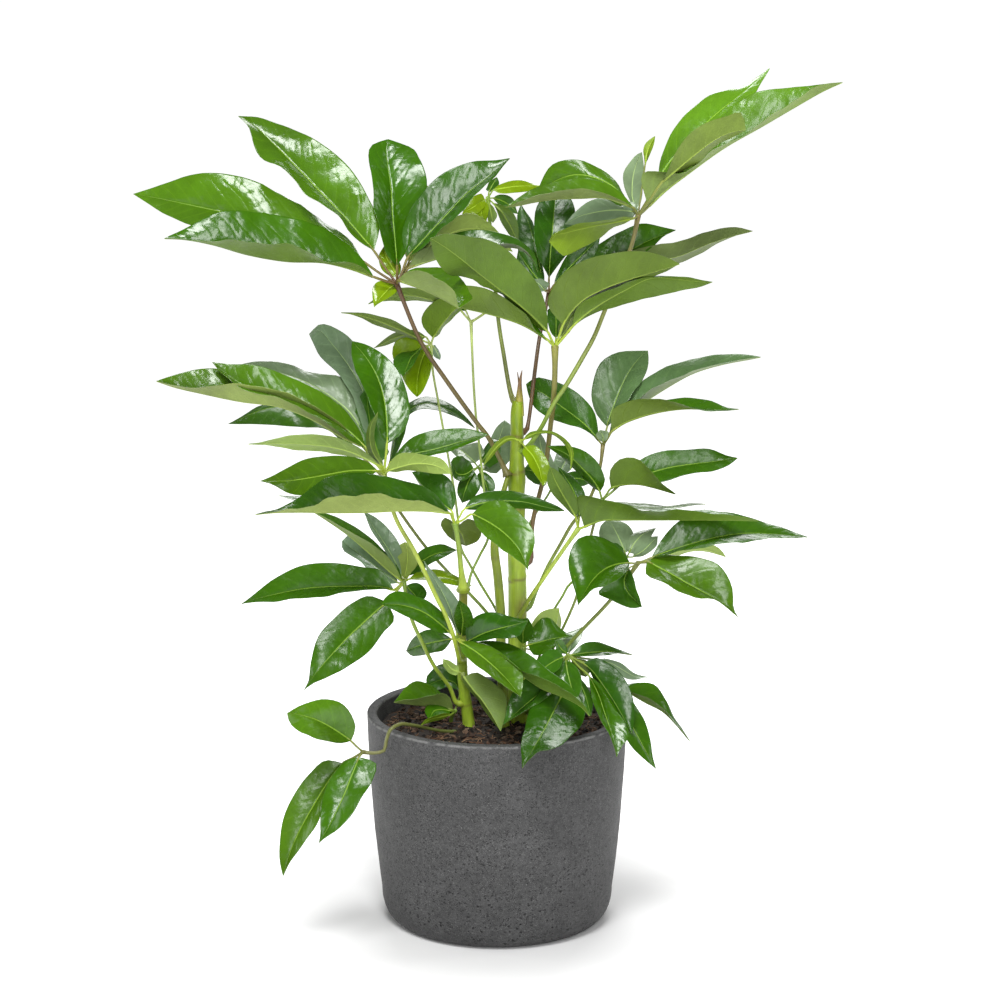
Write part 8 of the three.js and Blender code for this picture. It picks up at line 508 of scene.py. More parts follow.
         'right': [(118.1,-22.9,493.6),(127,-25.2,508.2),(144.6,-35.4,512.8),(159.2,-51.5,502.6),(170.6,-61.3,491.2),(180.5,-62.2,484.8)],
         'left': [(126.4,-14.9,483.6),(140.5,-8.2,489.1),(152.7,-12.7,492.7),(160.3,-25.4,488.7),(171.3,-37.3,483.5),(181,-50,480.4)]},
        {'tone': 'm', 'rib': [(130.1,-10,479.1),(141.7,-9.6,484.5),(158.6,-9,490.7),(180.9,-8.2,497),(203.7,-7.2,500.6),(226.8,-6.2,503.1),(244.6,-5.5,505.7),(254.8,-5,507.2)],
         'right': [(143.3,-16.8,481.5),(161.2,-21.3,482.5),(183.3,-22.6,487.7),(205.4,-20.3,493.1),(228.4,-14.5,495.3),(246.1,-8.2,500.7)],
         'left': [(137.9,-6.1,491.6),(152.4,-4.9,505.7),(175.7,-3.6,514.5),(200.9,-2.2,515.5),(225.3,-1.7,516.2),(243.9,-2.8,509.4)]},
        {'tone': 'g', 'rib': [(121.9,-7,460.1),(131.9,-4.7,457.5),(145.8,-0.8,453.7),(164.1,4.8,451.6),(182.6,10.8,451),(201.1,17,451.8),(215.6,22.1,451.7),(223.9,25,451.4)],
         'right': [(131.3,-10.6,457),(145.3,-10.6,453.6),(163.6,-6.8,450.8),(182,0.2,450.7),(200.6,9.3,451.5),(215.3,18.2,451.7)],
         'left': [(132.6,1.2,458.4),(146.5,9.4,455.6),(164.7,16.4,452.6),(183.3,21.2,450.1),(201.7,24.7,451.8),(215.9,25.9,451.7)]},
        {'tone': 'm', 'rib': [(108.7,-18.2,473.2),(105.2,-19.2,480.3),(98.9,-20.9,489.4),(89.3,-23.4,500),(79.5,-26,510.3),(68.1,-28.7,518.7),(58.2,-30.9,523),(52.4,-32.2,525.1)],
         'right': [(113.9,-19,483.2),(110.5,-19.8,497.2),(101.7,-20.9,510.3),(88,-21,519.7),(72.4,-22.8,523.8),(59.7,-27.2,524.6)],
         'left': [(102.3,-14,476.8),(94.3,-12.2,483),(84.6,-13.3,492.5),(75.5,-16.7,503.3),(66,-22.4,513.4),(57.6,-28,520.4)]},
     ]},
    {'node': 'leaf_over_rim', 'slot': 'leaf_green', 'key': 'T',
     'petiole': [(-36, -20, 212, 1.90), (-58, -44, 219, 1.90), (-90, -80, 236, 1.90), (-101, -92, 240.5, 1.90), (-111, -101, 237, 1.90), (-116.3, -93, 220.7, 1.90), (-118.3, -92, 211.7, 1.90), (-129.8, -94, 209.5, 1.80), (-140.2, -95, 210.9, 2.10)],
     'leaflets': [
        {'tone': 'b', 'rib': [(-152.4,-100,224.3),(-158.1,-103.9,230),(-166.2,-110.7,238),(-176.9,-120.3,247.9),(-188,-130.6,256.7),(-199.8,-141.3,263.8),(-209.2,-150,268.2),(-214.6,-155,270.1)],
         'right': [(-147.8,-100.7,237.7),(-151.1,-105.2,253.5),(-161.4,-112.4,268.9),(-179,-120,275.3),(-196.1,-130.4,273.6),(-208.6,-143.3,271)],
         'left': [(-160.5,-115.2,226.2),(-170.5,-129.5,231.6),(-183.1,-141.5,238.9),(-194.3,-147.6,244.3),(-205.4,-150.3,250.7),(-212.5,-153,260.2)]},
        {'tone': 'b', 'rib': [(-161.6,-90,197.4),(-170.4,-92.5,187.5),(-180.9,-96.8,172.6),(-193.4,-102.9,152.8),(-205.1,-109.5,132.7),(-215,-116.3,111.9),(-220.6,-121.8,94.8),(-223.6,-125,85.1)],
         'right': [(-179,-89.2,200.4),(-196.3,-93.4,187.2),(-212.1,-99.9,167),(-223.5,-106.5,143.4),(-227.6,-113,116.8),(-226.7,-119.5,96.1)],
         'left': [(-165,-101.1,186.8),(-173.4,-111,173),(-182.7,-119.5,152.6),(-193.7,-124.9,132.2),(-207.4,-127.3,112.1),(-218.8,-127.1,96.1)]},
        {'tone': 'm', 'rib': [(-143.9,-105,208.5),(-147.5,-108.5,199.9),(-152.5,-114.7,188.4),(-158.5,-123.4,173.7),(-165.7,-132.8,160),(-173,-142.6,146.4),(-179.8,-150.4,136.6),(-183.6,-155,131.1)],
         'right': [(-156.7,-104.1,204.9),(-167.8,-107.4,195.3),(-177,-114.5,180.2),(-181.9,-123.1,165.4),(-183.6,-134.2,149.6),(-182.6,-145.6,136.8)],
         'left': [(-126.9,-106.6,203.5),(-128.9,-115.9,188.4),(-138.4,-129.7,174.3),(-149.1,-142.7,159.7),(-163,-151.6,146.2),(-176.1,-155.4,137.3)]},
     ]},
    {'node': 'young_shoot', 'slot': 'leaf_young', 'key': 'V',
     'petiole': [(24.8, -9.5, 524.1, 1.60), (25.3, -14, 527.1, 2.00)],
     'leaflets': [
        {'tone': 'y', 'rib': [(29.5,-20,521.8),(32.6,-22.4,518.7),(36.8,-26.6,514.6),(40.8,-32.5,508.4),(44.2,-38.9,502),(45.9,-45.5,495.1),(47.3,-50.9,489.7),(48,-54,486.7)],
         'right': [(26.4,-23.6,517.8),(29.3,-30.9,512.5),(33.2,-39.2,506.8),(37.2,-45.5,501.4),(41.8,-50.7,495.2),(45.8,-53.6,490)],
         'left': [(36.8,-21.4,524.3),(43.8,-25.3,521.8),(50.6,-31.6,514.5),(54.9,-38.4,505.6),(55.4,-45.4,496.8),(52.2,-50.9,490.3)]},
        {'tone': 'y', 'rib': [(27.4,-19.5,529.1),(33.8,-21.9,534.7),(44.5,-26,538.9),(58.8,-32,539.2),(71,-38.3,532.6),(78.3,-44.9,521.1),(77.6,-50.2,510.6),(77.1,-53.3,504.6)],
         'right': [(32.4,-26,537.1),(44,-33.3,541.8),(58.9,-40.5,541.8),(71.7,-46.3,534.8),(79.6,-50.8,522.3),(78.3,-53.2,511.2)],
         'left': [(34.8,-18.1,530.5),(44.4,-19,535),(58.1,-23.5,535.9),(68.7,-30.5,529.2),(75,-39,519.5),(76.5,-47.2,509.9)]},
        {'tone': 'y', 'rib': [(22.2,-16,528.5),(17.3,-17.3,530.5),(10.6,-19.5,530.3),(3.1,-22.6,525.8),(-3.3,-26,519.8),(-8.8,-29.5,513),(-12.5,-32.4,507.3),(-14.6,-34,504.1)],
         'right': [(17.4,-15,527.7),(11.5,-15.4,527.1),(4.6,-17.7,522.7),(-1.5,-21.5,516.8),(-6.9,-26.3,510.6),(-11.8,-30.7,506.3)],
         'left': [(18,-19.6,533),(10.1,-23.5,534),(1.3,-27.5,529.6),(-5.3,-30.5,522.9),(-10.4,-32.9,515.1),(-13.2,-34.1,508.3)]},
     ]},
    {'node': 'leaf_back_left', 'slot': 'leaf_dark', 'key': 'Y',
     'petiole': [(8.6, 8, 441.8, 1.30), (3.2, 14, 452.5, 1.30), (-5.3, 20, 467.7, 1.30), (-12.8, 26, 480.7, 1.20), (-20.3, 30, 490.8, 1.50)],
     'leaflets': [
        {'tone': 'g', 'rib': [(-23.6,35,494.2),(-26,37.8,496.1),(-29.4,42.8,498.6),(-34,49.8,501.5),(-39,57.2,504),(-44.4,65.1,504.7),(-49.3,71.3,503),(-52.1,75,502)],
         'right': [(-14,38.9,501.3),(-15.1,44.6,508),(-19.3,55.1,512.8),(-30.8,66.8,508.6),(-40.8,74.1,505.1),(-48,75.9,502.9)],
         'left': [(-27.4,30.8,495),(-32.4,30.6,495.8),(-37.6,35.5,497.7),(-42.9,43.8,499),(-47,55.2,500.8),(-50.2,66.5,501.8)]},
        {'tone': 'd', 'rib': [(-24.6,27,489.2),(-27.4,25.8,487.5),(-31.4,23.7,485.1),(-37,20.7,484.2),(-42.9,17.6,486),(-45.6,14.2,492.3),(-47.7,11.6,497.2),(-48.8,10,500)],
         'right': [(-28,31,494.5),(-30.4,31,497.2),(-32.7,26.7,499.8),(-35,21.4,502.6),(-37.2,16.8,505.2),(-45.8,12.9,504.1)],
         'left': [(-24.5,18.7,485.4),(-30,11.8,482.2),(-37.3,6.7,479.9),(-45.2,4.8,483.6),(-47,5.1,491.2),(-48.2,7,497)]},
        {'tone': 'd', 'rib': [(-16,33,495.6),(-14.5,34.6,498.1),(-12.2,37.3,501.3),(-9.3,41.1,505.4),(-6,45.2,509.2),(-2.5,49.5,512.7),(1.2,53,514.6),(3.2,55,515.6)],
         'right': [(-9.6,32.9,489.2),(-4,35.5,491.8),(2.3,38.7,495.4),(3.2,42.5,500.4),(4.2,47.1,505.3),(3.7,51.4,511.8)],
         'left': [(-17.4,40.2,498.4),(-17,46.8,502.1),(-14.3,52.3,506.8),(-10.3,55.7,511.2),(-5,57.3,515.2),(0.2,56.8,515.3)]},
        {'tone': 'g', 'rib': [(-15.1,45,484.6),(-12.1,48.9,489.1),(-7.9,55.7,495),(-2.9,65.3,502.8),(1.4,75.6,510.9),(5,86.3,519.2),(7.3,95,525.8),(8.7,100,529.6)],
         'right': [(-3,47.2,480),(5.3,53.7,485.1),(14.4,62,492.9),(16.3,71.8,505.1),(16.9,84.5,516.5),(15.1,94.8,524.9)],
         'left': [(-14.6,56.1,488.9),(-13.3,67.9,495.4),(-9.5,79.6,503.4),(-5.7,88.8,512),(-2.1,95.9,520.8),(4.1,99.8,526.5)]},
        {'tone': 'd', 'rib': [(-18.2,26,486.1),(-16.9,25.2,483.7),(-15.2,23.9,480.5),(-13.2,21.9,476.3),(-11.4,19.9,472),(-10,17.7,467.6),(-9,16,464.1),(-8.5,15,462.1)],
         'right': [(-21.3,23.1,483.3),(-20.2,19.1,480.2),(-18.9,15.6,475.8),(-16.6,13.9,471.5),(-12.9,13.3,467.5),(-10.1,13.7,464.2)],
         'left': [(-13.3,27.2,485.9),(-9.1,26.3,483.3),(-4.6,23.3,479.4),(-2.2,20.4,474.3),(-2.4,18,468.7),(-6.3,16.1,464.5)]},
        {'tone': 'd', 'rib': [(-24.6,25,487.4),(-26.3,23.2,484.4),(-28.7,20.2,480.4),(-31.5,15.8,475.2),(-33.6,11.1,469.8),(-35.5,6.2,464.3),(-36.5,2.3,460),(-37.1,0,457.6)],
         'right': [(-28.6,28.3,484.7),(-33.6,28.7,481.1),(-39.5,25.4,476.3),(-41.7,19.5,470.3),(-41.8,12,464.3),(-38.8,5.3,459.8)],
         'left': [(-21.3,20.7,483.3),(-18.1,18.4,477.2),(-18.1,15,470.8),(-21.5,10.4,465.6),(-26.4,5.1,461.1),(-33.2,1.1,459)]},
     ]},
    {'node': 'leaf_back_right', 'slot': 'leaf_dark', 'key': 'Z',
     'petiole': [(32, 7, 428.9, 1.30), (36.3, 13, 435.3, 1.30), (43.9, 20, 445.9, 1.30), (54.7, 29, 460.4, 1.20), (63.3, 35, 475.6, 1.50)],
     'leaflets': [
        {'tone': 'g', 'rib': [(58,40,480.1),(56.1,42.8,484.3),(53.4,47.8,490),(50.5,54.8,497.5),(47.7,62.2,504.9),(46.2,70.1,512.6),(45.1,76.3,518.6),(44.5,80,522.1)],
         'right': [(62.1,43.5,485.1),(61.4,50.6,490.9),(58,60,498),(54.9,67.6,505.3),(51.5,73.9,512.9),(47,78.5,518.6)],
         'left': [(50.3,42.2,480.7),(45.4,47.1,486),(40.5,54.2,493.7),(38,61.9,502.6),(39,69.5,511.4),(42.4,75.5,518.3)]},
        {'tone': 'd', 'rib': [(54.7,32,477.3),(52.2,31.5,479),(48.7,30.6,481.3),(44.1,29.4,484.2),(39.2,28.1,486.6),(34.2,26.7,488.1),(30.1,25.6,488.3),(27.8,25,488.5)],
         'right': [(53.8,35.7,480.6),(52.6,37.6,486),(47.4,36.9,490.2),(41.8,33.6,494.5),(33.9,29.7,494.8),(30,27.2,490.7)],
         'left': [(51.6,29.8,470.3),(46.5,28.7,471.3),(40.2,27.3,473.1),(36.4,26.1,476.3),(32.6,25,479.4),(29.6,25,484.9)]},
        {'tone': 'g', 'rib': [(66.7,43,480.6),(68.1,46,482.9),(70.2,51.1,486),(72.9,58.5,489.7),(75.6,66.3,493.5),(76.3,74.6,497.4),(75.5,81.2,500.6),(75,85,502.4)],
         'right': [(72,42.1,480.8),(76.8,44.9,483.1),(81.5,51.5,487),(83.9,60.2,492.5),(82.3,70.4,499.3),(77.7,78.8,501.4)],
         'left': [(62.7,44.7,484.3),(60.8,50.5,488.5),(62,59.1,493.3),(63.7,67.3,497.3),(66.4,75.3,500),(68.8,81.6,502)]},
        {'tone': 'd', 'rib': [(70.8,32,476.2),(73.8,32.9,476.6),(78.2,34.5,477.2),(83.8,36.8,477.2),(89.5,39.2,476.2),(94.9,41.8,474.1),(98.9,43.8,471.7),(101.2,45,470.4)],
         'right': [(72.1,31.6,469.7),(76.5,33,469.4),(82.1,35.2,469),(87.5,37.8,468.5),(92.9,40.6,467.9),(98.1,43.4,469.4)],
         'left': [(71.7,34.2,481.6),(76.8,36.8,483.3),(83.7,40.1,484.3),(90.3,42.7,482.4),(95.8,44.7,478.2),(99.3,45.6,473.1)]},
        {'tone': 'd', 'rib': [(65.5,35,469.1),(68.2,36.4,466.7),(72,38.9,463.3),(76.7,42.4,458.6),(81.1,46.1,453.4),(85.2,50,447.9),(88.1,53.2,443.4),(89.8,55,440.8)],
         'right': [(63.7,35.8,463.3),(66.4,38.1,458.8),(70.9,41.5,453.7),(75.8,45.3,448.9),(80.8,49.2,444.3),(86.5,52.6,442.1)],
         'left': [(70.4,37.4,471.9),(75.4,40.1,469.7),(81.2,43.5,464.6),(85.8,46.9,458.2),(88.8,50.9,450.9),(89.4,54,444.4)]},
     ]},
]


# ---------------------------------------------------------------- helpers
def unit(v):
    n = np.linalg.norm(v, axis=-1, keepdims=True)
    return v / np.maximum(n, 1e-12)


def mesh_object(name, verts, faces, mats, face_mat=None, attrs=None, smooth=True):
    """A mesh from millimetre vertices, with per-vertex colour or value attributes."""
    me = bpy.data.meshes.new(name)
    v = np.asarray(verts, dtype=float) * MM
    me.from_pydata(v.tolist(), [], [tuple(int(i) for i in f) for f in faces])
    for m in mats:
        me.materials.append(m)
    if face_mat is not None:
        me.polygons.foreach_set("material_index", np.asarray(face_mat, dtype=np.int32))
    me.polygons.foreach_set("use_smooth", [smooth] * len(me.polygons))
    for key, values in (attrs or {}).items():
        values = np.asarray(values, dtype=np.float32)
        if values.ndim == 1:
            a = me.attributes.new(key, "FLOAT", "POINT")
            a.data.foreach_set("value", values)
        else:
            a = me.attributes.new(key, "FLOAT_COLOR", "POINT")
            rgba = np.ones((len(values), 4), dtype=np.float32)
            rgba[:, :3] = values[:, :3]
            a.data.foreach_set("color", rgba.ravel())
    me.update()
    ob = bpy.data.objects.new(name, me)
    bpy.context.scene.collection.objects.link(ob)
    return ob


def spline(points, samples):
    """Centripetal Catmull-Rom through rows of points (first three columns are a place)."""
    P = np.asarray(points, dtype=float)
    if len(P) == 2:
        t = np.linspace(0, 1, samples)[:, None]
        return P[0] * (1 - t) + P[1] * t
    d = np.maximum(np.linalg.norm(np.diff(P[:, :3], axis=0), axis=1), 1e-6) ** 0.5
    a = P[0] - (P[1] - P[0])
    b = P[-1] + (P[-1] - P[-2])
    Q = np.vstack([a, P, b])
    k = np.concatenate([[0], np.cumsum(np.concatenate([[d[0]], d, [d[-1]]]))])
    arc = np.concatenate([[0], np.cumsum(np.linalg.norm(np.diff(P[:, :3], axis=0), axis=1))])
    want = np.linspace(0, arc[-1], samples)
    seg = np.clip(np.searchsorted(arc, want, side="right") - 1, 0, len(P) - 2)
    out = []
    for w, s in zip(want, seg):
        f = (w - arc[s]) / max(arc[s + 1] - arc[s], 1e-9)
        p0, p1, p2, p3 = Q[s], Q[s + 1], Q[s + 2], Q[s + 3]
        t0, t1, t2, t3 = k[s], k[s + 1], k[s + 2], k[s + 3]
        t = t1 + f * (t2 - t1)
        A1 = (t1 - t) / (t1 - t0) * p0 + (t - t0) / (t1 - t0) * p1
        A2 = (t2 - t) / (t2 - t1) * p1 + (t - t1) / (t2 - t1) * p2
        A3 = (t3 - t) / (t3 - t2) * p2 + (t - t2) / (t3 - t2) * p3
        B1 = (t2 - t) / (t2 - t0) * A1 + (t - t0) / (t2 - t0) * A2
        B2 = (t3 - t) / (t3 - t1) * A2 + (t - t1) / (t3 - t1) * A3
        out.append((t2 - t) / (t2 - t1) * B1 + (t - t1) / (t2 - t1) * B2)
    return np.array(out)


def tube(points, sides, steps, colours=None, radius=None):
    """Vertices, faces and colours of a closed tapered tube. radius(t, a, r) may shape it."""
    C = spline(points, steps)
    T = unit(np.gradient(C[:, :3], axis=0))
    side = np.cross(T[0], [0, 0, 1.0])
    if np.linalg.norm(side) < 0.1:
        side = np.cross(T[0], [0, 1.0, 0])
    side = unit(side)
    verts, cols = [], []
    for i in range(steps):
        side = unit(side - T[i] * (side @ T[i]))
        up = np.cross(side, T[i])
        t = i / (steps - 1)
        for s in range(sides):
            a = 2 * math.pi * s / sides
            r = C[i, 3]
            if radius:
                r = radius(t, a, r)
            verts.append(C[i, :3] + r * (math.cos(a) * side + math.sin(a) * up))
            if colours is not None:
                cols.append(colours(t, a))
    verts += [C[0, :3], C[-1, :3]]
    if colours is not None:
        cols += [colours(0, 0), colours(1, 0)]
    faces = []
    for i in range(steps - 1):
        for s in range(sides):
            q = (s + 1) % sides
            faces.append((i * sides + s, i * sides + q, (i + 1) * sides + q, (i + 1) * sides + s))
    a, b = steps * sides, steps * sides + 1
    for s in range(sides):
        q = (s + 1) % sides
        faces.append((a, q, s))
        faces.append((b, (steps - 1) * sides + s, (steps - 1) * sides + q))
    return verts, faces, cols


class Builder:
    """Collects pieces of one mesh."""

    def __init__(self):
        self.v, self.f, self.m, self.a = [], [], [], {}

    def add(self, verts, faces, mat=0, **attrs):
        n = len(self.v)
        self.v.extend([tuple(p) for p in verts])
        self.f.extend([tuple(i + n for i in f) for f in faces])
        self.m.extend([mat] * len(faces) if np.isscalar(mat) else list(mat))
        for k, val in attrs.items():
            self.a.setdefault(k, []).extend(list(val))

    def make(self, name, mats, smooth=True):
        return mesh_object(name, self.v, self.f, mats, self.m, self.a, smooth)


def outward(ob):
    """Faces point out."""
    import bmesh
    bm = bmesh.new()
    bm.from_mesh(ob.data)
    bmesh.ops.recalc_face_normals(bm, faces=bm.faces)
    bm.to_mesh(ob.data)
    bm.free()
    return ob


# ---------------------------------------------------------------- materials
class Nodes:
    """Small helper to write shader nodes as expressions."""

    def __init__(self, name):
        self.mat = bpy.data.materials.new(name)
        self.mat.use_nodes = True
        self.t = self.mat.node_tree
        self.t.nodes.clear()
        self.out = self.t.nodes.new("ShaderNodeOutputMaterial")
        self.bsdf = self.t.nodes.new("ShaderNodeBsdfPrincipled")
        self.t.links.new(self.bsdf.outputs[0], self.out.inputs[0])

    def put(self, socket, value):
        if hasattr(value, "is_output"):
            self.t.links.new(value, socket)
        else:
            if socket.type == "RGBA" and len(value) == 3:
                value = (*value, 1.0)
            socket.default_value = value

    def set(self, name, value):
        self.put(self.bsdf.inputs[name], value)

    def math(self, op, a, b=0.0, c=None, clamp=False):
        n = self.t.nodes.new("ShaderNodeMath")
        n.operation = op
        n.use_clamp = clamp
        self.put(n.inputs[0], a)
        self.put(n.inputs[1], b)
        if c is not None:
            self.put(n.inputs[2], c)
        return n.outputs[0]

    def ramp(self, x, lo, hi, to_lo=0.0, to_hi=1.0, smooth=True):
        n = self.t.nodes.new("ShaderNodeMapRange")
        n.interpolation_type = "SMOOTHSTEP" if smooth else "LINEAR"
        n.clamp = True
        for s, val in zip(("Value", "From Min", "From Max", "To Min", "To Max"), (x, lo, hi, to_lo, to_hi)):
            self.put(n.inputs[s], val)
        return n.outputs[0]

    def mix(self, fac, a, b, mode="MIX"):
        n = self.t.nodes.new("ShaderNodeMix")
        n.data_type = "RGBA"
        n.blend_type = mode
        self.put(n.inputs[0], fac)
        self.put(n.inputs[6], a)
        self.put(n.inputs[7], b)
        return n.outputs[2]

    def scaled(self, colour, factor):
        """A colour times a number."""
        n = self.t.nodes.new("ShaderNodeVectorMath")
        n.operation = "SCALE"
        self.put(n.inputs[0], colour)
        self.put(n.inputs["Scale"], factor)
        return n.outputs[0]

    def attribute(self, name, kind="Fac"):
        n = self.t.nodes.new("ShaderNodeAttribute")
        n.attribute_name = name
        return n.outputs[kind]

    def place(self):
        n = self.t.nodes.new("ShaderNodeTexCoord")
        return n.outputs["Object"]

    def noise(self, scale, detail=3.0, rough=0.55, vector=None, kind="Fac", distortion=0.0):
        n = self.t.nodes.new("ShaderNodeTexNoise")
        self.put(n.inputs["Vector"], vector if vector is not None else self.place())
        n.inputs["Scale"].default_value = scale
        n.inputs["Detail"].default_value = detail
        n.inputs["Roughness"].default_value = rough
        n.inputs["Distortion"].default_value = distortion
        return n.outputs[kind]

    def cells(self, scale, feature="F1", vector=None, output="Distance", randomness=1.0):
        n = self.t.nodes.new("ShaderNodeTexVoronoi")
        n.feature = feature
        self.put(n.inputs["Vector"], vector if vector is not None else self.place())
        n.inputs["Scale"].default_value = scale
        n.inputs["Randomness"].default_value = randomness
        return n.outputs[output]

    def stretch(self, vector, scale):
        n = self.t.nodes.new("ShaderNodeVectorMath")
        n.operation = "MULTIPLY"
        self.put(n.inputs[0], vector)
        self.put(n.inputs[1], scale)
        return n.outputs[0]

    def bump(self, height, distance, strength=1.0):
        n = self.t.nodes.new("ShaderNodeBump")
        n.inputs["Strength"].default_value = strength
        n.inputs["Distance"].default_value = distance
        self.put(n.inputs["Height"], height)
        self.t.links.new(n.outputs[0], self.bsdf.inputs["Normal"])


def leaf_material(name, upper):
    n = Nodes(name)
    u, v = n.attribute("leaf_u"), n.attribute("leaf_v")
    length, width = n.attribute("leaf_len"), n.attribute("leaf_wid")
    tint = n.attribute("tint", "Color")
    side = n.math("ABSOLUTE", v)
    off = n.math("MULTIPLY", side, width)                    # mm from the midrib
    # the midrib narrows towards the tip
    half = n.ramp(u, 0.0, 1.0, 1.25 if upper else 1.7, 0.25, smooth=False)
    rib = n.ramp(off, n.math("MULTIPLY", half, 0.45), half, 1.0, 0.0)
    # arching side veins, a little irregular, alternate on the two halves
    wobble = n.math("MULTIPLY", n.math("SUBTRACT", n.noise(22.0, 2.0), 0.5), 0.9)
    arch = n.math("MULTIPLY", off, n.math("MULTIPLY_ADD", side, 0.55, 0.62))
    run = n.math("SUBTRACT", n.math("MULTIPLY", u, length), arch)
    phase = n.math("ADD", n.math("DIVIDE", run, 17.0), n.math("MULTIPLY", n.math("SIGN", v), 0.24))
    phase = n.math("ADD", phase, wobble)
    gap = n.math("ABSOLUTE", n.math("SUBTRACT", n.math("FRACT", phase), 0.5))     # 0.5 is the vein
    reach = n.ramp(side, 0.70, 0.96, 1.0, 0.0)
    vein = n.math("MULTIPLY", n.ramp(gap, 0.472, 0.5), reach)
    soft = n.math("MULTIPLY", n.ramp(gap, 0.22, 0.5), reach)
    net = n.ramp(n.cells(330.0, "DISTANCE_TO_EDGE"), 0.0, 0.12, 1.0, 0.0)
    blotch = n.noise(9.0, 3.0, 0.6)
    grain = n.noise(150.0, 2.0)
    shade = n.math("MULTIPLY", n.ramp(blotch, 0.3, 0.7, 0.72, 1.28, False), n.ramp(grain, 0.3, 0.7, 0.94, 1.06, False))
    colour = n.scaled(tint, shade)
    if upper:
        light = n.mix(1.0, n.scaled(tint, 1.55), (0.03, 0.035, 0.0, 1.0), "ADD")
        colour = n.mix(n.math("MULTIPLY", soft, 0.05), colour, light)
        colour = n.mix(n.math("MULTIPLY", vein, n.ramp(n.noise(14.0, 2.0), 0.35, 0.65, 0.10, 0.46)), colour, light)
        colour = n.mix(n.math("MULTIPLY", net, 0.04), colour, light)
        ribc = n.mix(1.0, n.scaled(tint, 1.3), (0.14, 0.19, 0.02, 1.0), "ADD")
        colour = n.mix(n.math("MULTIPLY", rib, n.ramp(u, 0.55, 1.0, 0.95, 0.45)), colour, ribc)
        rough = n.math("ADD", n.ramp(n.noise(40.0, 3.0), 0.3, 0.7, 0.12, 0.23, False), n.math("MULTIPLY", rib, 0.30))
        rough = n.math("ADD", rough, n.ramp(n.attribute("gloss"), 0.0, 1.0, 0.13, 0.0, False))
        n.set("Roughness", rough)
        n.set("Specular IOR Level", n.ramp(n.attribute("gloss"), 0.0, 1.0, 0.27, 0.46, False))
        height = n.math("MULTIPLY", soft, -0.20)
        height = n.math("ADD", height, n.math("MULTIPLY", vein, -0.05))
        height = n.math("ADD", height, n.math("MULTIPLY", net, -0.03))
        height = n.math("ADD", height, n.math("MULTIPLY", rib, -0.3))
        height = n.math("ADD", height, n.math("MULTIPLY", n.noise(72.0, 1.0, 0.4), 2.1))
        height = n.math("ADD", height, n.math("MULTIPLY", n.noise(160.0, 1.0, 0.4), 0.55))
        n.bump(height, 0.0006, 1.0)
    else:
        light = n.mix(1.0, n.scaled(tint, 1.25), (0.05, 0.06, 0.01, 1.0), "ADD")
        colour = n.mix(n.math("MULTIPLY", soft, 0.16), colour, n.scaled(tint, 1.35))
        colour = n.mix(n.math("MULTIPLY", vein, 0.50), colour, light)
        colour = n.mix(n.math("MULTIPLY", net, 0.16), colour, n.scaled(tint, 1.35))
        ribc = n.mix(1.0, n.scaled(tint, 1.15), (0.13, 0.16, 0.03, 1.0), "ADD")
        colour = n.mix(n.math("MULTIPLY", rib, 0.9), colour, ribc)
        n.set("Roughness", n.ramp(n.noise(40.0, 3.0), 0.3, 0.7, 0.50, 0.62, False))
        n.set("Specular IOR Level", 0.35)
        height = n.math("ADD", n.math("MULTIPLY", vein, 0.6), n.math("MULTIPLY", net, 0.15))
        height = n.math("ADD", height, n.math("MULTIPLY", rib, 0.6))
        n.bump(height, 0.0004, 1.0)
    n.set("Base Color", colour)
    return n.mat


def stalk_material(name, base_rough=0.42):
    """Stems and stalks: the vertex colour with fine streaks, lenticels and small scars."""
    n = Nodes(name)
    tint = n.attribute("tint", "Color")
    along = n.stretch(n.place(), (1.0, 1.0, 0.12))
    streak = n.noise(420.0, 3.0, 0.6, vector=along)
    patch = n.noise(30.0, 3.0, 0.6)
    shade = n.math("MULTIPLY", n.ramp(streak, 0.3, 0.7, 0.86, 1.14, False), n.ramp(patch, 0.3, 0.7, 0.82, 1.18, False))
    colour = n.scaled(tint, shade)
    specks = n.ramp(n.cells(420.0, vector=n.stretch(n.place(), (1.0, 1.0, 0.45))), 0.10, 0.18, 1.0, 0.0)
    colour = n.mix(n.math("MULTIPLY", specks, 0.30), colour, (0.30, 0.30, 0.12, 1.0))
    marks = n.ramp(n.noise(75.0, 4.0, 0.7, vector=n.stretch(n.place(), (1.0, 1.0, 0.35))), 0.66, 0.74)
    colour = n.mix(n.math("MULTIPLY", marks, 0.45), colour, (0.10, 0.075, 0.02, 1.0))
    n.set("Base Color", colour)
    n.set("Roughness", n.ramp(patch, 0.3, 0.7, base_rough - 0.06, base_rough + 0.08, False))
    n.set("Specular IOR Level", 0.45)
    height = n.math("ADD", n.math("MULTIPLY", streak, 0.5), n.math("MULTIPLY", specks, 0.4))
    n.bump(height, 0.0003, 1.0)
    return n.mat


MAT_UP = leaf_material("leaf_upper", True)
MAT_LOW = leaf_material("leaf_under", False)
MAT_STALK = stalk_material("stalk_skin")


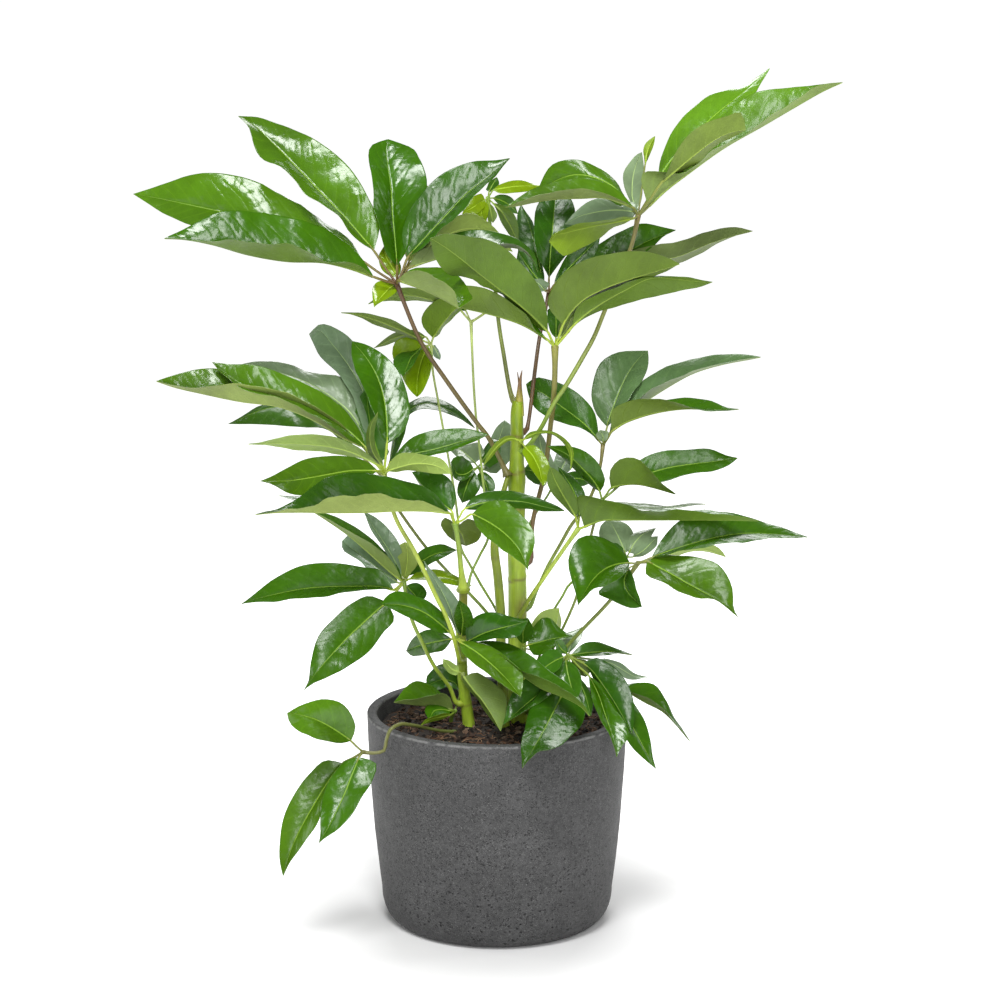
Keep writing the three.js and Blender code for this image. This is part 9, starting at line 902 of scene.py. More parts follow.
# ---------------------------------------------------------------- leaves
# colour of the upper and the under side for each kind of leaflet, partly the leaf's own colour and partly painted
# light:
# 'b' and 'c' are painted brighter where leaflets are lit, 'd', 's' and 'u' hold painted shade,
# 'g' and 'h' a painted grey sheen of reflected light, 't' a shaded upper side over a lit underside,
# 'o' a shaded underside, 'y' the young leaves' own yellow-green with a painted glow of light through them
TONES_WITH_PAINTED_LIGHT = {
    "m": ((0.030, 0.100, 0.0012), (0.064, 0.119, 0.006)),
    "b": ((0.056, 0.141, 0.004), (0.158, 0.216, 0.049)),
    "d": ((0.031, 0.102, 0.005), (0.110, 0.160, 0.040)),
    "g": ((0.168, 0.248, 0.138), (0.200, 0.260, 0.130)),
    "h": ((0.070, 0.135, 0.048), (0.160, 0.215, 0.100)),
    "s": ((0.020, 0.078, 0.002), (0.062, 0.100, 0.008)),
    "t": ((0.022, 0.080, 0.002), (0.230, 0.300, 0.075)),
    "u": ((0.034, 0.114, 0.0015), (0.068, 0.112, 0.007)),
    "c": ((0.090, 0.212, 0.008), (0.160, 0.235, 0.045)),
    "v": ((0.075, 0.150, 0.002), (0.072, 0.128, 0.002)),
    "y": ((0.150, 0.240, 0.003), (0.148, 0.240, 0.006)),
    "p": ((0.055, 0.150, 0.010), (0.250, 0.350, 0.072)),
    "o": ((0.040, 0.110, 0.008), (0.106, 0.165, 0.022)),
}
# how polished each leaf is: the young and the uppermost ones shine most
GLOSS = {"A": 0.8, "I": 0.8, "V": 0.8, "D": 0.55, "C": 0.55, "L": 0.5, "O": 0.75, "H": 0.4, "T": 0.45, "J": 0.45, "N": 0.4, "Y": 0.4, "P": 0.4, "U": 0.45, "M": 0.4}
# stalk colours from the stem to the hub, then of the leaflets' own stalks
GREEN, YELLOW, BROWN, OLIVE, PALE = (0.16, 0.26, 0.03), (0.30, 0.39, 0.035), (0.10, 0.055, 0.022), (0.14, 0.15, 0.035), (0.34, 0.42, 0.12)
STALKS = {
    "A": ((0.12, 0.11, 0.03), (0.080, 0.038, 0.016), (0.095, 0.042, 0.018)), "C": (OLIVE, GREEN, GREEN), "D": (GREEN, (0.15, 0.12, 0.035), OLIVE),
    "E": (BROWN, (0.09, 0.05, 0.02), BROWN), "F": ((0.10, 0.05, 0.025), (0.17, 0.17, 0.03), YELLOW), "G": (GREEN, PALE, PALE),
    "H": (GREEN, PALE, PALE), "I": (YELLOW, (0.26, 0.32, 0.05), YELLOW), "W": (GREEN, OLIVE, OLIVE), "J": (YELLOW, GREEN, YELLOW),
    "K": (YELLOW, GREEN, YELLOW), "L": (YELLOW, GREEN, YELLOW), "M": (YELLOW, PALE, PALE), "N": (GREEN, GREEN, GREEN),
    "O": (GREEN, (0.17, 0.24, 0.03), (0.17, 0.24, 0.03)), "P": (GREEN, OLIVE, OLIVE), "Q": (YELLOW, (0.26, 0.34, 0.05), YELLOW), "R": (GREEN, (0.15, 0.13, 0.04), OLIVE),
    "S": (GREEN, OLIVE, GREEN), "T": ((0.11, 0.14, 0.03), (0.13, 0.13, 0.035), (0.13, 0.14, 0.04)), "U": (GREEN, GREEN, YELLOW), "V": (YELLOW, YELLOW, YELLOW),
    "X": (GREEN, GREEN, GREEN), "Y": (GREEN, GREEN, GREEN), "Z": (GREEN, GREEN, GREEN),
}
STATIONS = np.array([0, .10, .24, .42, .60, .78, .92, 1.0])
ACROSS = np.array([-1, -.965, -.80, -.58, -.36, -.17, -.06, 0, .06, .17, .36, .58, .80, .965, 1])


def eased(P, s):
    """Smooth curve through the rows P at STATIONS, at parameters s."""
    P = np.asarray(P, dtype=float)
    T = np.gradient(P, STATIONS, axis=0)
    k = np.clip(np.searchsorted(STATIONS, s, side="right") - 1, 0, len(STATIONS) - 2)
    h = (STATIONS[k + 1] - STATIONS[k])[:, None]
    t = ((s - STATIONS[k])[:, None]) / h
    t2, t3 = t * t, t * t * t
    return ((2 * t3 - 3 * t2 + 1) * P[k] + (t3 - 2 * t2 + t) * h * T[k]
            + (-2 * t3 + 3 * t2) * P[k + 1] + (t3 - t2) * h * T[k + 1])


def blade(b, leaf, tone, seed, gloss):
    """A leaflet as a thin closed skin: pillowed halves, sunken midrib, waved margins."""
    r = random.Random(seed)
    M = np.array(leaf["rib"], dtype=float)
    A = np.vstack([M[0], np.array(leaf["right"], dtype=float), M[-1]]) - M
    B = np.vstack([M[0], np.array(leaf["left"], dtype=float), M[-1]]) - M
    length = float(np.linalg.norm(np.diff(M, axis=0), axis=1).sum())
    rows = int(min(36, max(14, length / 6)))
    s = np.linspace(0, 1, rows + 2)[1:-1]
    s = np.concatenate([[0.006], s, [0.994]])
    m, a, c = eased(M, s), eased(A, s), eased(B, s)
    wide = max(np.linalg.norm(A, axis=1).max(), np.linalg.norm(B, axis=1).max())
    w = np.abs(ACROSS)
    off = np.where((ACROSS >= 0)[None, :, None], a[:, None, :], c[:, None, :]) * w[None, :, None]
    P = m[:, None, :] + off
    du = np.gradient(P, axis=0)
    dv = np.gradient(P, ACROSS, axis=1)
    # soften the crease at the midrib
    N = unit(np.cross(dv, du))
    N[:, 6:9] = unit(N[:, 5:6] + N[:, 9:10])
    N[:, 5] = unit(N[:, 5] * 2 + N[:, 9])
    N[:, 9] = unit(N[:, 9] * 2 + N[:, 5])
    half = np.linalg.norm(off, axis=2).max(axis=1)
    env = np.sin(np.pi * np.clip(s, 0, 1)) ** 0.6
    lift = 0.16 * half[:, None] * (w * (1 - w))[None, :]                    # pillowed halves
    lift += -0.55 * np.clip(1 - w / 0.10, 0, 1)[None, :] * (1 - 0.6 * s)[:, None]
    amp = min(2.4, 0.055 * wide)
    n1, n2 = length / r.uniform(52, 70), length / r.uniform(52, 70)
    p1, p2 = r.uniform(0, 6.3), r.uniform(0, 6.3)
    wave = np.where(ACROSS[None, :] >= 0, np.sin(2 * np.pi * n1 * s[:, None] + p1), np.sin(2 * np.pi * n2 * s[:, None] + p2))
    wave2 = np.where(ACROSS[None, :] >= 0, np.sin(5.1 * np.pi * n1 * s[:, None] + p2), np.sin(4.7 * np.pi * n2 * s[:, None] + p1))
    lift += amp * (0.75 * wave + 0.3 * wave2) * (w ** 2.2)[None, :] * env[:, None]
    # side veins pull the surface into low folds
    run = (s * length)[:, None] - (w * half[:, None]) * (0.62 + 0.55 * w)[None, :]
    lift += 0.16 * min(1.0, wide / 30) * np.cos(2 * np.pi * run / 34.0) * (w * (1 - w) * 4)[None, :] * env[:, None]
    th = (0.34 - 0.16 * w)[None, :, None]
    ridge = (np.clip(1 - w / 0.13, 0, 1)[None, :] * (1.0 - 0.75 * s)[:, None] * min(1.0, 0.35 + wide / 45))[:, :, None]
    top = P + N * (lift[:, :, None] + th)
    low = P + N * (lift[:, :, None] - th - 0.95 * ridge)
    rings = np.concatenate([top, low[:, ::-1]], axis=1)
    k = rings.shape[1]
    verts = [M[0]] + rings.reshape(-1, 3).tolist() + [M[-1]]
    across = np.concatenate([ACROSS, ACROSS[::-1]])
    U = np.concatenate([[0], np.repeat(s, k), [1]])
    V = np.concatenate([[0], np.tile(across, len(s)), [0]])
    W = np.concatenate([[1], np.repeat(half, k), [1]])
    faces, mats = [], []
    nv = len(ACROSS)
    for i in range(len(s) - 1):
        o = 1 + i * k
        for j in range(k):
            q = (j + 1) % k
            faces.append((o + j, o + q, o + k + q, o + k + j))
            mats.append(0 if (j < nv - 1 or j == k - 1 or j == nv - 1) else 1)
    last, z = 1 + (len(s) - 1) * k, len(verts) - 1
    for j in range(k):
        q = (j + 1) % k
        faces.append((0, 1 + q, 1 + j))
        faces.append((z, last + j, last + q))
        mats += [0 if j < nv else 1] * 2
    # the tone's two colours, with the painted light and shade noted at the table
    up, lo_ = TONES_WITH_PAINTED_LIGHT[tone]
    g = r.uniform(0.9, 1.1)
    hue = r.uniform(-0.05, 0.05)
    up = np.array(up) * g * np.array([1 + hue, 1, 1 - hue])
    lo_ = np.array(lo_) * g * np.array([1 + hue, 1, 1 - hue])
    tint = np.vstack([[up], np.tile(np.vstack([np.tile(up, (nv, 1)), np.tile(lo_, (nv, 1))]), (len(s), 1)), [lo_]])
    n = len(verts)
    b.add(verts, faces, mats, gloss=[gloss] * n, leaf_u=U, leaf_v=V, leaf_len=[length] * n, leaf_wid=W, tint=tint.tolist())
    return length


def plain(b, verts, faces, cols):
    n = len(verts)
    b.add(verts, faces, 2, gloss=[0] * n, leaf_u=[0] * n, leaf_v=[0] * n, leaf_len=[1] * n, leaf_wid=[1] * n, tint=[tuple(c) for c in cols])


def blend(a, b, t):
    return tuple(x * (1 - t) + y * t for x, y in zip(a, b))


def stalk_radius(base_swell, end_swell):
    def shape(t, a, r):
        return r * (1 + base_swell * math.exp(-(t / 0.035) ** 2) + end_swell * math.exp(-((1 - t) / 0.05) ** 2)) * (1 + 0.025 * math.sin(3 * a + 9 * t))
    return shape


def knob(b, centre, radius, colour, seed):
    """The swollen hub where the leaflet stalks meet."""
    verts, faces = [], []
    rings, sides = 7, 12
    for i in range(1, rings):
        th = math.pi * i / rings
        for s in range(sides):
            a = 2 * math.pi * s / sides
            p = Vector((math.sin(th) * math.cos(a), math.sin(th) * math.sin(a), 0.85 * math.cos(th)))
            p *= radius * (1 + 0.10 * noise.noise(p * 2.3 + Vector((seed, 0, 0))))
            verts.append(tuple(np.array(centre) + np.array(p)))
    top, bot = len(verts), len(verts) + 1
    verts.append((centre[0], centre[1], centre[2] + radius * 0.85))
    verts.append((centre[0], centre[1], centre[2] - radius * 0.85))
    for i in range(rings - 2):
        for s in range(sides):
            q = (s + 1) % sides
            faces.append((i * sides + s, (i + 1) * sides + s, (i + 1) * sides + q, i * sides + q))
    for s in range(sides):
        q = (s + 1) % sides
        faces.append((top, s, q))
        faces.append((bot, (rings - 2) * sides + q, (rings - 2) * sides + s))
    plain(b, verts, faces, [colour] * len(verts))


def stem_near(p):
    """How far p is from the nearest stem's skin, the nearest point of its axis and the radius there."""
    best = None
    for path in STEMS.values():
        for a, c in zip(path[:-1], path[1:]):
            A, C = np.array(a[:3]), np.array(c[:3])
            t = min(1.0, max(0.0, float((p - A) @ (C - A)) / float((C - A) @ (C - A))))
            q, r = A + t * (C - A), a[3] * (1 - t) + c[3] * t
            gap = float(np.linalg.norm(p - q)) - r
            if best is None or gap < best[0]:
                best = (gap, q, r)
    return best


LEAF_OBJECTS = []
for index, leaf in enumerate(LEAVES):
    b = Builder()
    pet = leaf["petiole"]
    hub = np.array(pet[-1][:3])
    c0, c1, c2 = STALKS[leaf["key"]]
    reach = float(np.linalg.norm(np.diff(np.array(pet)[:, :3], axis=0), axis=1).sum())
    route = list(pet)
    start = np.array(pet[0][:3])
    gap, axis, around = stem_near(start)
    if gap < 14:
        # a petiole clasps its stem with a swollen base
        inward = unit(axis - start)
        root = start + inward * (max(gap, 0) + 0.55 * around) - np.array([0, 0, 0.35 * around])
        r0 = pet[0][3]
        swell = (1.75, 1.30) if reach > 25 else (1.25, 1.10)
        route = [(*root, r0 * swell[0])] + [(*start, r0 * swell[1])] + list(pet[1:])
    v, f, cols = tube(route, 10, int(min(60, max(6, reach / 5))), lambda t, a: blend(c0, c1, t), stalk_radius(0.35 if reach > 60 else 0.0, 0.18))
    plain(b, v, f, cols)
    knob(b, hub, pet[-1][3] * 1.22, c1, index)
    for j, lf in enumerate(leaf["leaflets"]):
        size = blade(b, lf, lf["tone"], 100 * index + j, GLOSS.get(leaf["key"], 0.25))
        base, nxt = np.array(lf["rib"][0]), np.array(lf["rib"][1])
        gap = float(np.linalg.norm(base - hub))
        thick = 1.35 if size > 110 else 1.1 if size > 60 else 0.85
        if gap > 1.5:
            into = unit(nxt - base)
            sag = np.array([0, 0, -0.05 * gap])
            path = [(*hub, thick * 1.05), (*(hub * 0.5 + base * 0.5 + sag * 0.4), thick), (*base, thick), (*(base + into * min(9.0, 0.35 * np.linalg.norm(nxt - base) + 3)), thick * 0.55)]
            v, f, cols = tube(path, 8, int(min(16, max(6, gap / 3))), lambda t, a: blend(c2, blend(c2, YELLOW, 0.35), t), stalk_radius(0.35, 0.0))
            plain(b, v, f, cols)
    ob = outward(b.make("look_" + leaf["node"], [MAT_UP, MAT_LOW, MAT_STALK]))
    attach(ob, "root")
    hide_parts(leaf["node"])
    LEAF_OBJECTS.append(ob)


# ---------------------------------------------------------------- stems
def stem_ring(t, at, wide):
    return math.exp(-((t - at) / wide) ** 2)


MAIN_RINGS = (0.17, 0.34, 0.485, 0.60, 0.705, 0.80, 0.90)


def main_shape(t, a, r):
    k = r * (1 + 0.018 * math.sin(5 * a + 14 * t))
    for i, c in enumerate(MAIN_RINGS):
        tilt = c + 0.006 * math.cos(a - 1.9 * i)
        k *= 1 + 0.055 * stem_ring(t, tilt, 0.006) - 0.03 * stem_ring(t, tilt + 0.012, 0.005)
    return k * (1 + 0.17 * stem_ring(t, 0.775, 0.030) + 0.10 * stem_ring(t, 0.69, 0.022) + 0.06 * stem_ring(t, 0.56, 0.03))


def main_colour(t, a):
    c = blend((0.31, 0.43, 0.030), (0.185, 0.265, 0.006), min(1, max(0, (t - 0.46) * 4.0)))
    c = blend(c, (0.10, 0.19, 0.008), 0.55 * max(0, math.sin(3 * a + 2.2 * math.sin(17 * t)) * math.sin(23 * t + a)) ** 2)
    for i, at in enumerate(MAIN_RINGS):
        tilt = at + 0.006 * math.cos(a - 1.9 * i)
        c = blend(c, (0.12, 0.075, 0.02), 0.75 * stem_ring(t, tilt - 0.006, 0.0042))
    # brown remains of a split sheath low on the stem
    c = blend(c, (0.20, 0.13, 0.04), 0.7 * stem_ring(t, 0.40, 0.035) * max(0, math.cos(a + 2.2)) ** 3)
    return c


def thin_shape(t, a, r):
    k = r * (1 + 0.02 * math.sin(4 * a + 9 * t))
    for c in (0.22, 0.47, 0.70, 0.86):
        k *= 1 + 0.07 * stem_ring(t, c, 0.008)
    return k


def thin_colour(t, a, low=(0.22, 0.30, 0.02), high=(0.17, 0.22, 0.012)):
    c = blend(low, high, min(1, max(0, t * 1.8 - 0.7)))
    c = blend(c, (0.09, 0.13, 0.01), 0.5 * max(0, math.sin(2 * a + 19 * t) * math.sin(31 * t - a)) ** 2)
    for at in (0.22, 0.47, 0.70, 0.86):
        c = blend(c, (0.13, 0.09, 0.03), 0.6 * stem_ring(t, at - 0.008, 0.006))
    return c


def strip(b, points, width, curl, colours, seed):
    """A dried bract or sheath: a thin curled strip, closed all round."""
    C = spline(points, 16)
    T = unit(np.gradient(C[:, :3], axis=0))
    verts, cols, faces = [], [], []
    k = 7
    for i in range(16):
        t = i / 15
        axis = np.array([C[i, 3], C[i, 4], 0.0])              # which way the outside faces
        axis = unit(axis - T[i] * (axis @ T[i]))
        side = np.cross(T[i], axis)
        w = width * (1 - t) ** 0.7 + 0.25
        row = []
        for j in range(k):
            x = -1 + 2 * j / (k - 1)
            row.append(C[i, :3] + side * x * w + axis * (-curl * w * x * x))
        for j in range(k):
            verts.append(row[j] + axis * 0.22)
        for j in reversed(range(k)):
            verts.append(row[j] - axis * 0.22)
        cols += [colours(t)] * (2 * k)
    for i in range(15):
        for j in range(2 * k):
            q = (j + 1) % (2 * k)
            faces.append((i * 2 * k + j, i * 2 * k + q, (i + 1) * 2 * k + q, (i + 1) * 2 * k + j))
    faces.append(tuple(range(2 * k))[::-1])
    faces.append(tuple(15 * 2 * k + j for j in range(2 * k)))
    plain(b, verts, faces, cols)


for name, path in STEMS.items():
    b = Builder()
    if name == "main_stem":
        v, f, cols = tube(path, 24, 150, main_colour, main_shape)
    else:
        look = thin_colour if name == "second_stem" else lambda t, a: thin_colour(t, a, (0.29, 0.42, 0.03), (0.15, 0.16, 0.012))
        v, f, cols = tube(path, 16, 80, look, thin_shape)
    plain(b, v, f, cols)
    if name == "main_stem":
        x, y, z, r = path[-1]
        dry = lambda t: blend((0.40, 0.42, 0.05), (0.13, 0.07, 0.025), min(1, t * 1.5))
        strip(b, [(x + 3.5, y - 4.5, z - 16, 0.6, -1), (x + 3.2, y - 4.0, z + 2, 0.6, -1), (x + 2.6, y - 2.2, z + 16, 0.7, -1), (x + 4.4, y - 1.5, z + 33, 0.9, -0.6)], 5.0, 0.55, dry, 1)
        strip(b, [(x - 3.5, y + 2.5, z - 14, -1, -0.2), (x - 2.4, y + 1.5, z + 2, -1, -0.2), (x + 0.2, y + 0.5, z + 16, -1, -0.3), (x - 0.8, y, z + 31, -1, -0.4)], 4.2, 0.5, dry, 2)
        v, f, cols = tube([(x + 1, y, z - 8, 4.6), (x + 1.5, y - 0.5, z + 6, 3.4), (x + 1.6, y - 0.8, z + 18, 1.6), (x + 2.6, y - 1, z + 27, 0.6)], 12, 14, lambda t, a: dry(t * 0.8), None)
        plain(b, v, f, cols)
    ob = outward(b.make("look_" + name, [MAT_UP, MAT_LOW, MAT_STALK]))
    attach(ob, "root")
    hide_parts(name)


# ---------------------------------------------------------------- pot
RIM_R, BASE_R, HEEL_R, HEEL_H, HEEL_N, HIGH, SWELL = 140.0, 103.6, 125.3, 34.3, 2.17, 230.0, 2.6


def pot_profile():
    """Half section from the middle of the underside, up the outside, over the rim and down inside."""
    p = [(0, 0), (40, 0), (80, 0), (98, 0), (BASE_R, 0.0)]
    for i in range(1, 19):
        a = i / 18 * math.pi / 2
        p.append((BASE_R + (HEEL_R - BASE_R) * math.sin(a) ** (2 / HEEL_N), HEEL_H * (1 - math.cos(a) ** (2 / HEEL_N))))
    for i in range(1, 41):
        s = i / 41
        p.append((HEEL_R + (RIM_R - HEEL_R) * s + SWELL * 4 * s * (1 - s), HEEL_H + (HIGH - HEEL_H) * s))
    lip = 2.4
    for i in range(0, 7):
        a = i / 6 * math.pi / 2
        p.append((RIM_R - lip + lip * math.cos(a), HIGH - lip + lip * math.sin(a)))
    for i in range(0, 7):
        a = math.pi / 2 + i / 6 * math.pi / 2
        p.append((RIM_R - 10.6 + lip + lip * math.cos(a), HIGH - lip + lip * math.sin(a)))
    for z in (223, 218, 212, 205, 198):
        p.append((RIM_R - 10.6 - (HIGH - z) * 0.05, z))
    return p


def pot_material():
    n = Nodes("pot_fibre_clay")
    at = n.place()
    cloud = n.noise(7.0, 4.0, 0.6)
    mid = n.noise(34.0, 4.0, 0.65)
    fine = n.noise(210.0, 4.0, 0.7)
    dust = n.noise(900.0, 2.0, 0.6)
    tone = n.math("MULTIPLY", n.ramp(cloud, 0.25, 0.75, 0.82, 1.18, False), n.ramp(mid, 0.25, 0.75, 0.80, 1.20, False))
    tone = n.math("MULTIPLY", tone, n.ramp(fine, 0.30, 0.70, 0.70, 1.30, False))
    tone = n.math("MULTIPLY", tone, n.ramp(dust, 0.30, 0.70, 0.80, 1.20, False))
    colour = n.scaled((0.0538, 0.0538, 0.0543), tone)
    # pits and pale grit of several sizes, gathered in patches; more pits low on the wall. The pits' near-black colour
    # is painted shade inside the hollows, and the pale specks are partly grit and partly painted glints on the lit
    # edges of pits
    warp = n.t.nodes.new("ShaderNodeVectorMath")
    warp.operation = "ADD"
    n.put(warp.inputs[0], at)
    n.put(warp.inputs[1], n.scaled(n.noise(260.0, 2.0, kind="Color"), 0.0028))
    flat = n.stretch(warp.outputs[0], (1.0, 1.0, 1.5))

    def spots(scale, radius, share, vector):
        t = n.t.nodes.new("ShaderNodeTexVoronoi")
        n.put(t.inputs["Vector"], vector)
        t.inputs["Scale"].default_value = scale
        pick = n.t.nodes.new("ShaderNodeSeparateColor")
        n.put(pick.inputs[0], t.outputs["Color"])
        on = n.math("LESS_THAN", pick.outputs[0], share)
        size = n.ramp(pick.outputs[1], 0.0, 1.0, radius * 0.5, radius * 1.3, False)
        edge = n.math("MULTIPLY", size, 0.6)
        return n.math("MULTIPLY", n.ramp(t.outputs["Distance"], edge, size, 1.0, 0.0), on)

    high = n.t.nodes.new("ShaderNodeSeparateXYZ")
    n.put(high.inputs[0], at)
    low = n.ramp(high.outputs[2], 0.02, 0.20, 1.0, 0.35, False)
    patch = n.ramp(n.math("ADD", n.noise(34.0, 3.0), n.math("MULTIPLY", low, 0.10)), 0.45, 0.60)
    big = n.math("MULTIPLY", spots(240.0, 0.34, 0.50, flat), n.math("MULTIPLY", patch, low))
    small = n.math("MULTIPLY", spots(520.0, 0.38, 0.50, flat), n.ramp(n.noise(60.0, 3.0), 0.34, 0.54))
    pits_and_pit_shade = n.math("MAXIMUM", big, n.math("MULTIPLY", small, 0.8))
    grit_and_glint = n.math("MULTIPLY", spots(560.0, 0.36, 0.42, n.stretch(warp.outputs[0], (1.0, 1.0, 1.7))), n.ramp(n.noise(48.0, 3.0), 0.38, 0.60))
    grains = spots(1100.0, 0.42, 0.30, at)
    flake = n.ramp(n.noise(420.0, 3.0, 0.7, vector=n.stretch(at, (1.0, 1.0, 1.6))), 0.62, 0.70)
    colour = n.mix(n.math("MULTIPLY", grains, 0.45), colour, (0.19, 0.19, 0.185, 1.0))
    colour = n.mix(n.math("MULTIPLY", flake, 0.32), colour, (0.16, 0.16, 0.155, 1.0))
    # pale specks: partly grit, partly painted glints on the lit edges of pits
    colour = n.mix(n.math("MULTIPLY", grit_and_glint, 0.55), colour, (0.21, 0.21, 0.205, 1.0))
    # painted shade: the pits are coloured near black
    colour = n.mix(n.math("MULTIPLY", pits_and_pit_shade, 0.92), colour, (0.006, 0.006, 0.006, 1.0))
    # painted highlight: a pale line along the rim's rounded outer edge, where it catches the light
    painted_rim_highlight = n.math("MULTIPLY", n.ramp(high.outputs[2], 0.2262, 0.2280), n.ramp(high.outputs[2], 0.2288, 0.2299, 1.0, 0.0))
    painted_rim_highlight = n.math("MULTIPLY", painted_rim_highlight, n.ramp(n.noise(120.0, 3.0), 0.30, 0.60))
    colour = n.mix(n.math("MULTIPLY", painted_rim_highlight, 0.55), colour, (0.24, 0.24, 0.235, 1.0))
    n.set("Base Color", colour)
    n.set("Roughness", n.ramp(mid, 0.3, 0.7, 0.52, 0.64, False))
    n.set("Specular IOR Level", 0.22)
    h = n.math("SUBTRACT", n.math("MULTIPLY", fine, 0.35), n.math("MULTIPLY", pits_and_pit_shade, 0.9))
    h = n.math("ADD", h, n.math("MULTIPLY", mid, 0.35))
    h = n.math("ADD", h, n.math("MULTIPLY", grit_and_glint, 0.2))
    n.bump(h, 0.0013, 1.0)
    return n.mat


def build_pot():
    prof, sides = pot_profile(), 160
    verts, faces = [(0, 0, 0)], []
    for r, z in prof[1:]:
        for s in range(sides):
            a = 2 * math.pi * s / sides
            p = Vector((r * math.cos(a), r * math.sin(a), z))
            # hand-finished unevenness, none under the base
            k = 0.0 if z <= 0.01 else min(1.0, z / 20)
            d = 0.45 * noise.noise(p / 38.0) + 0.16 * noise.noise(p / 9.0)
            q = 1 + k * d / max(r, 1)
            lift = 0.28 * noise.noise(p / 16.0) if z > HIGH - 3 else 0.0
            verts.append((p.x * q, p.y * q, z + lift))
    n = len(prof) - 1
    for s in range(sides):
        faces.append((0, 1 + (s + 1) % sides, 1 + s))
    for i in range(n - 1):
        o = 1 + i * sides
        for s in range(sides):
            q = (s + 1) % sides
            faces.append((o + s, o + q, o + sides + q, o + sides + s))
    # inner floor, hidden by the soil
    o = 1 + (n - 1) * sides
    verts.append((0, 0, 198))
    for s in range(sides):
        faces.append((len(verts) - 1, o + s, o + (s + 1) % sides))
    ob = mesh_object("look_pot", verts, faces, [pot_material()])
    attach(ob, "root")
    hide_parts("pot")
    return outward(ob)


build_pot()


# ---------------------------------------------------------------- soil
def soil_material(name, dark, light, rough=0.9):
    n = Nodes(name)
    tone = n.attribute("tint", "Color")
    a = n.noise(160.0, 4.0, 0.65)
    f = n.noise(620.0, 3.0, 0.7, vector=n.stretch(n.place(), (1.0, 0.35, 1.0)))
    shade = n.math("MULTIPLY", n.ramp(a, 0.25, 0.75, 0.6, 1.4, False), n.ramp(f, 0.3, 0.7, 0.75, 1.25, False))
    n.set("Base Color", n.scaled(tone, shade))
    n.set("Roughness", rough)
    n.set("Specular IOR Level", 0.3)
    n.bump(n.math("ADD", a, n.math("MULTIPLY", f, 0.5)), 0.0008, 1.0)
    return n.mat


def ground(x, y):
    p = Vector((x, y, 0))
    return 213.0 + 2.4 * (1 - (x * x + y * y) / 16000) + 2.6 * noise.noise(p / 30.0) + 1.6 * noise.noise(p / 11.0) + 0.9 * noise.noise(p / 4.0)


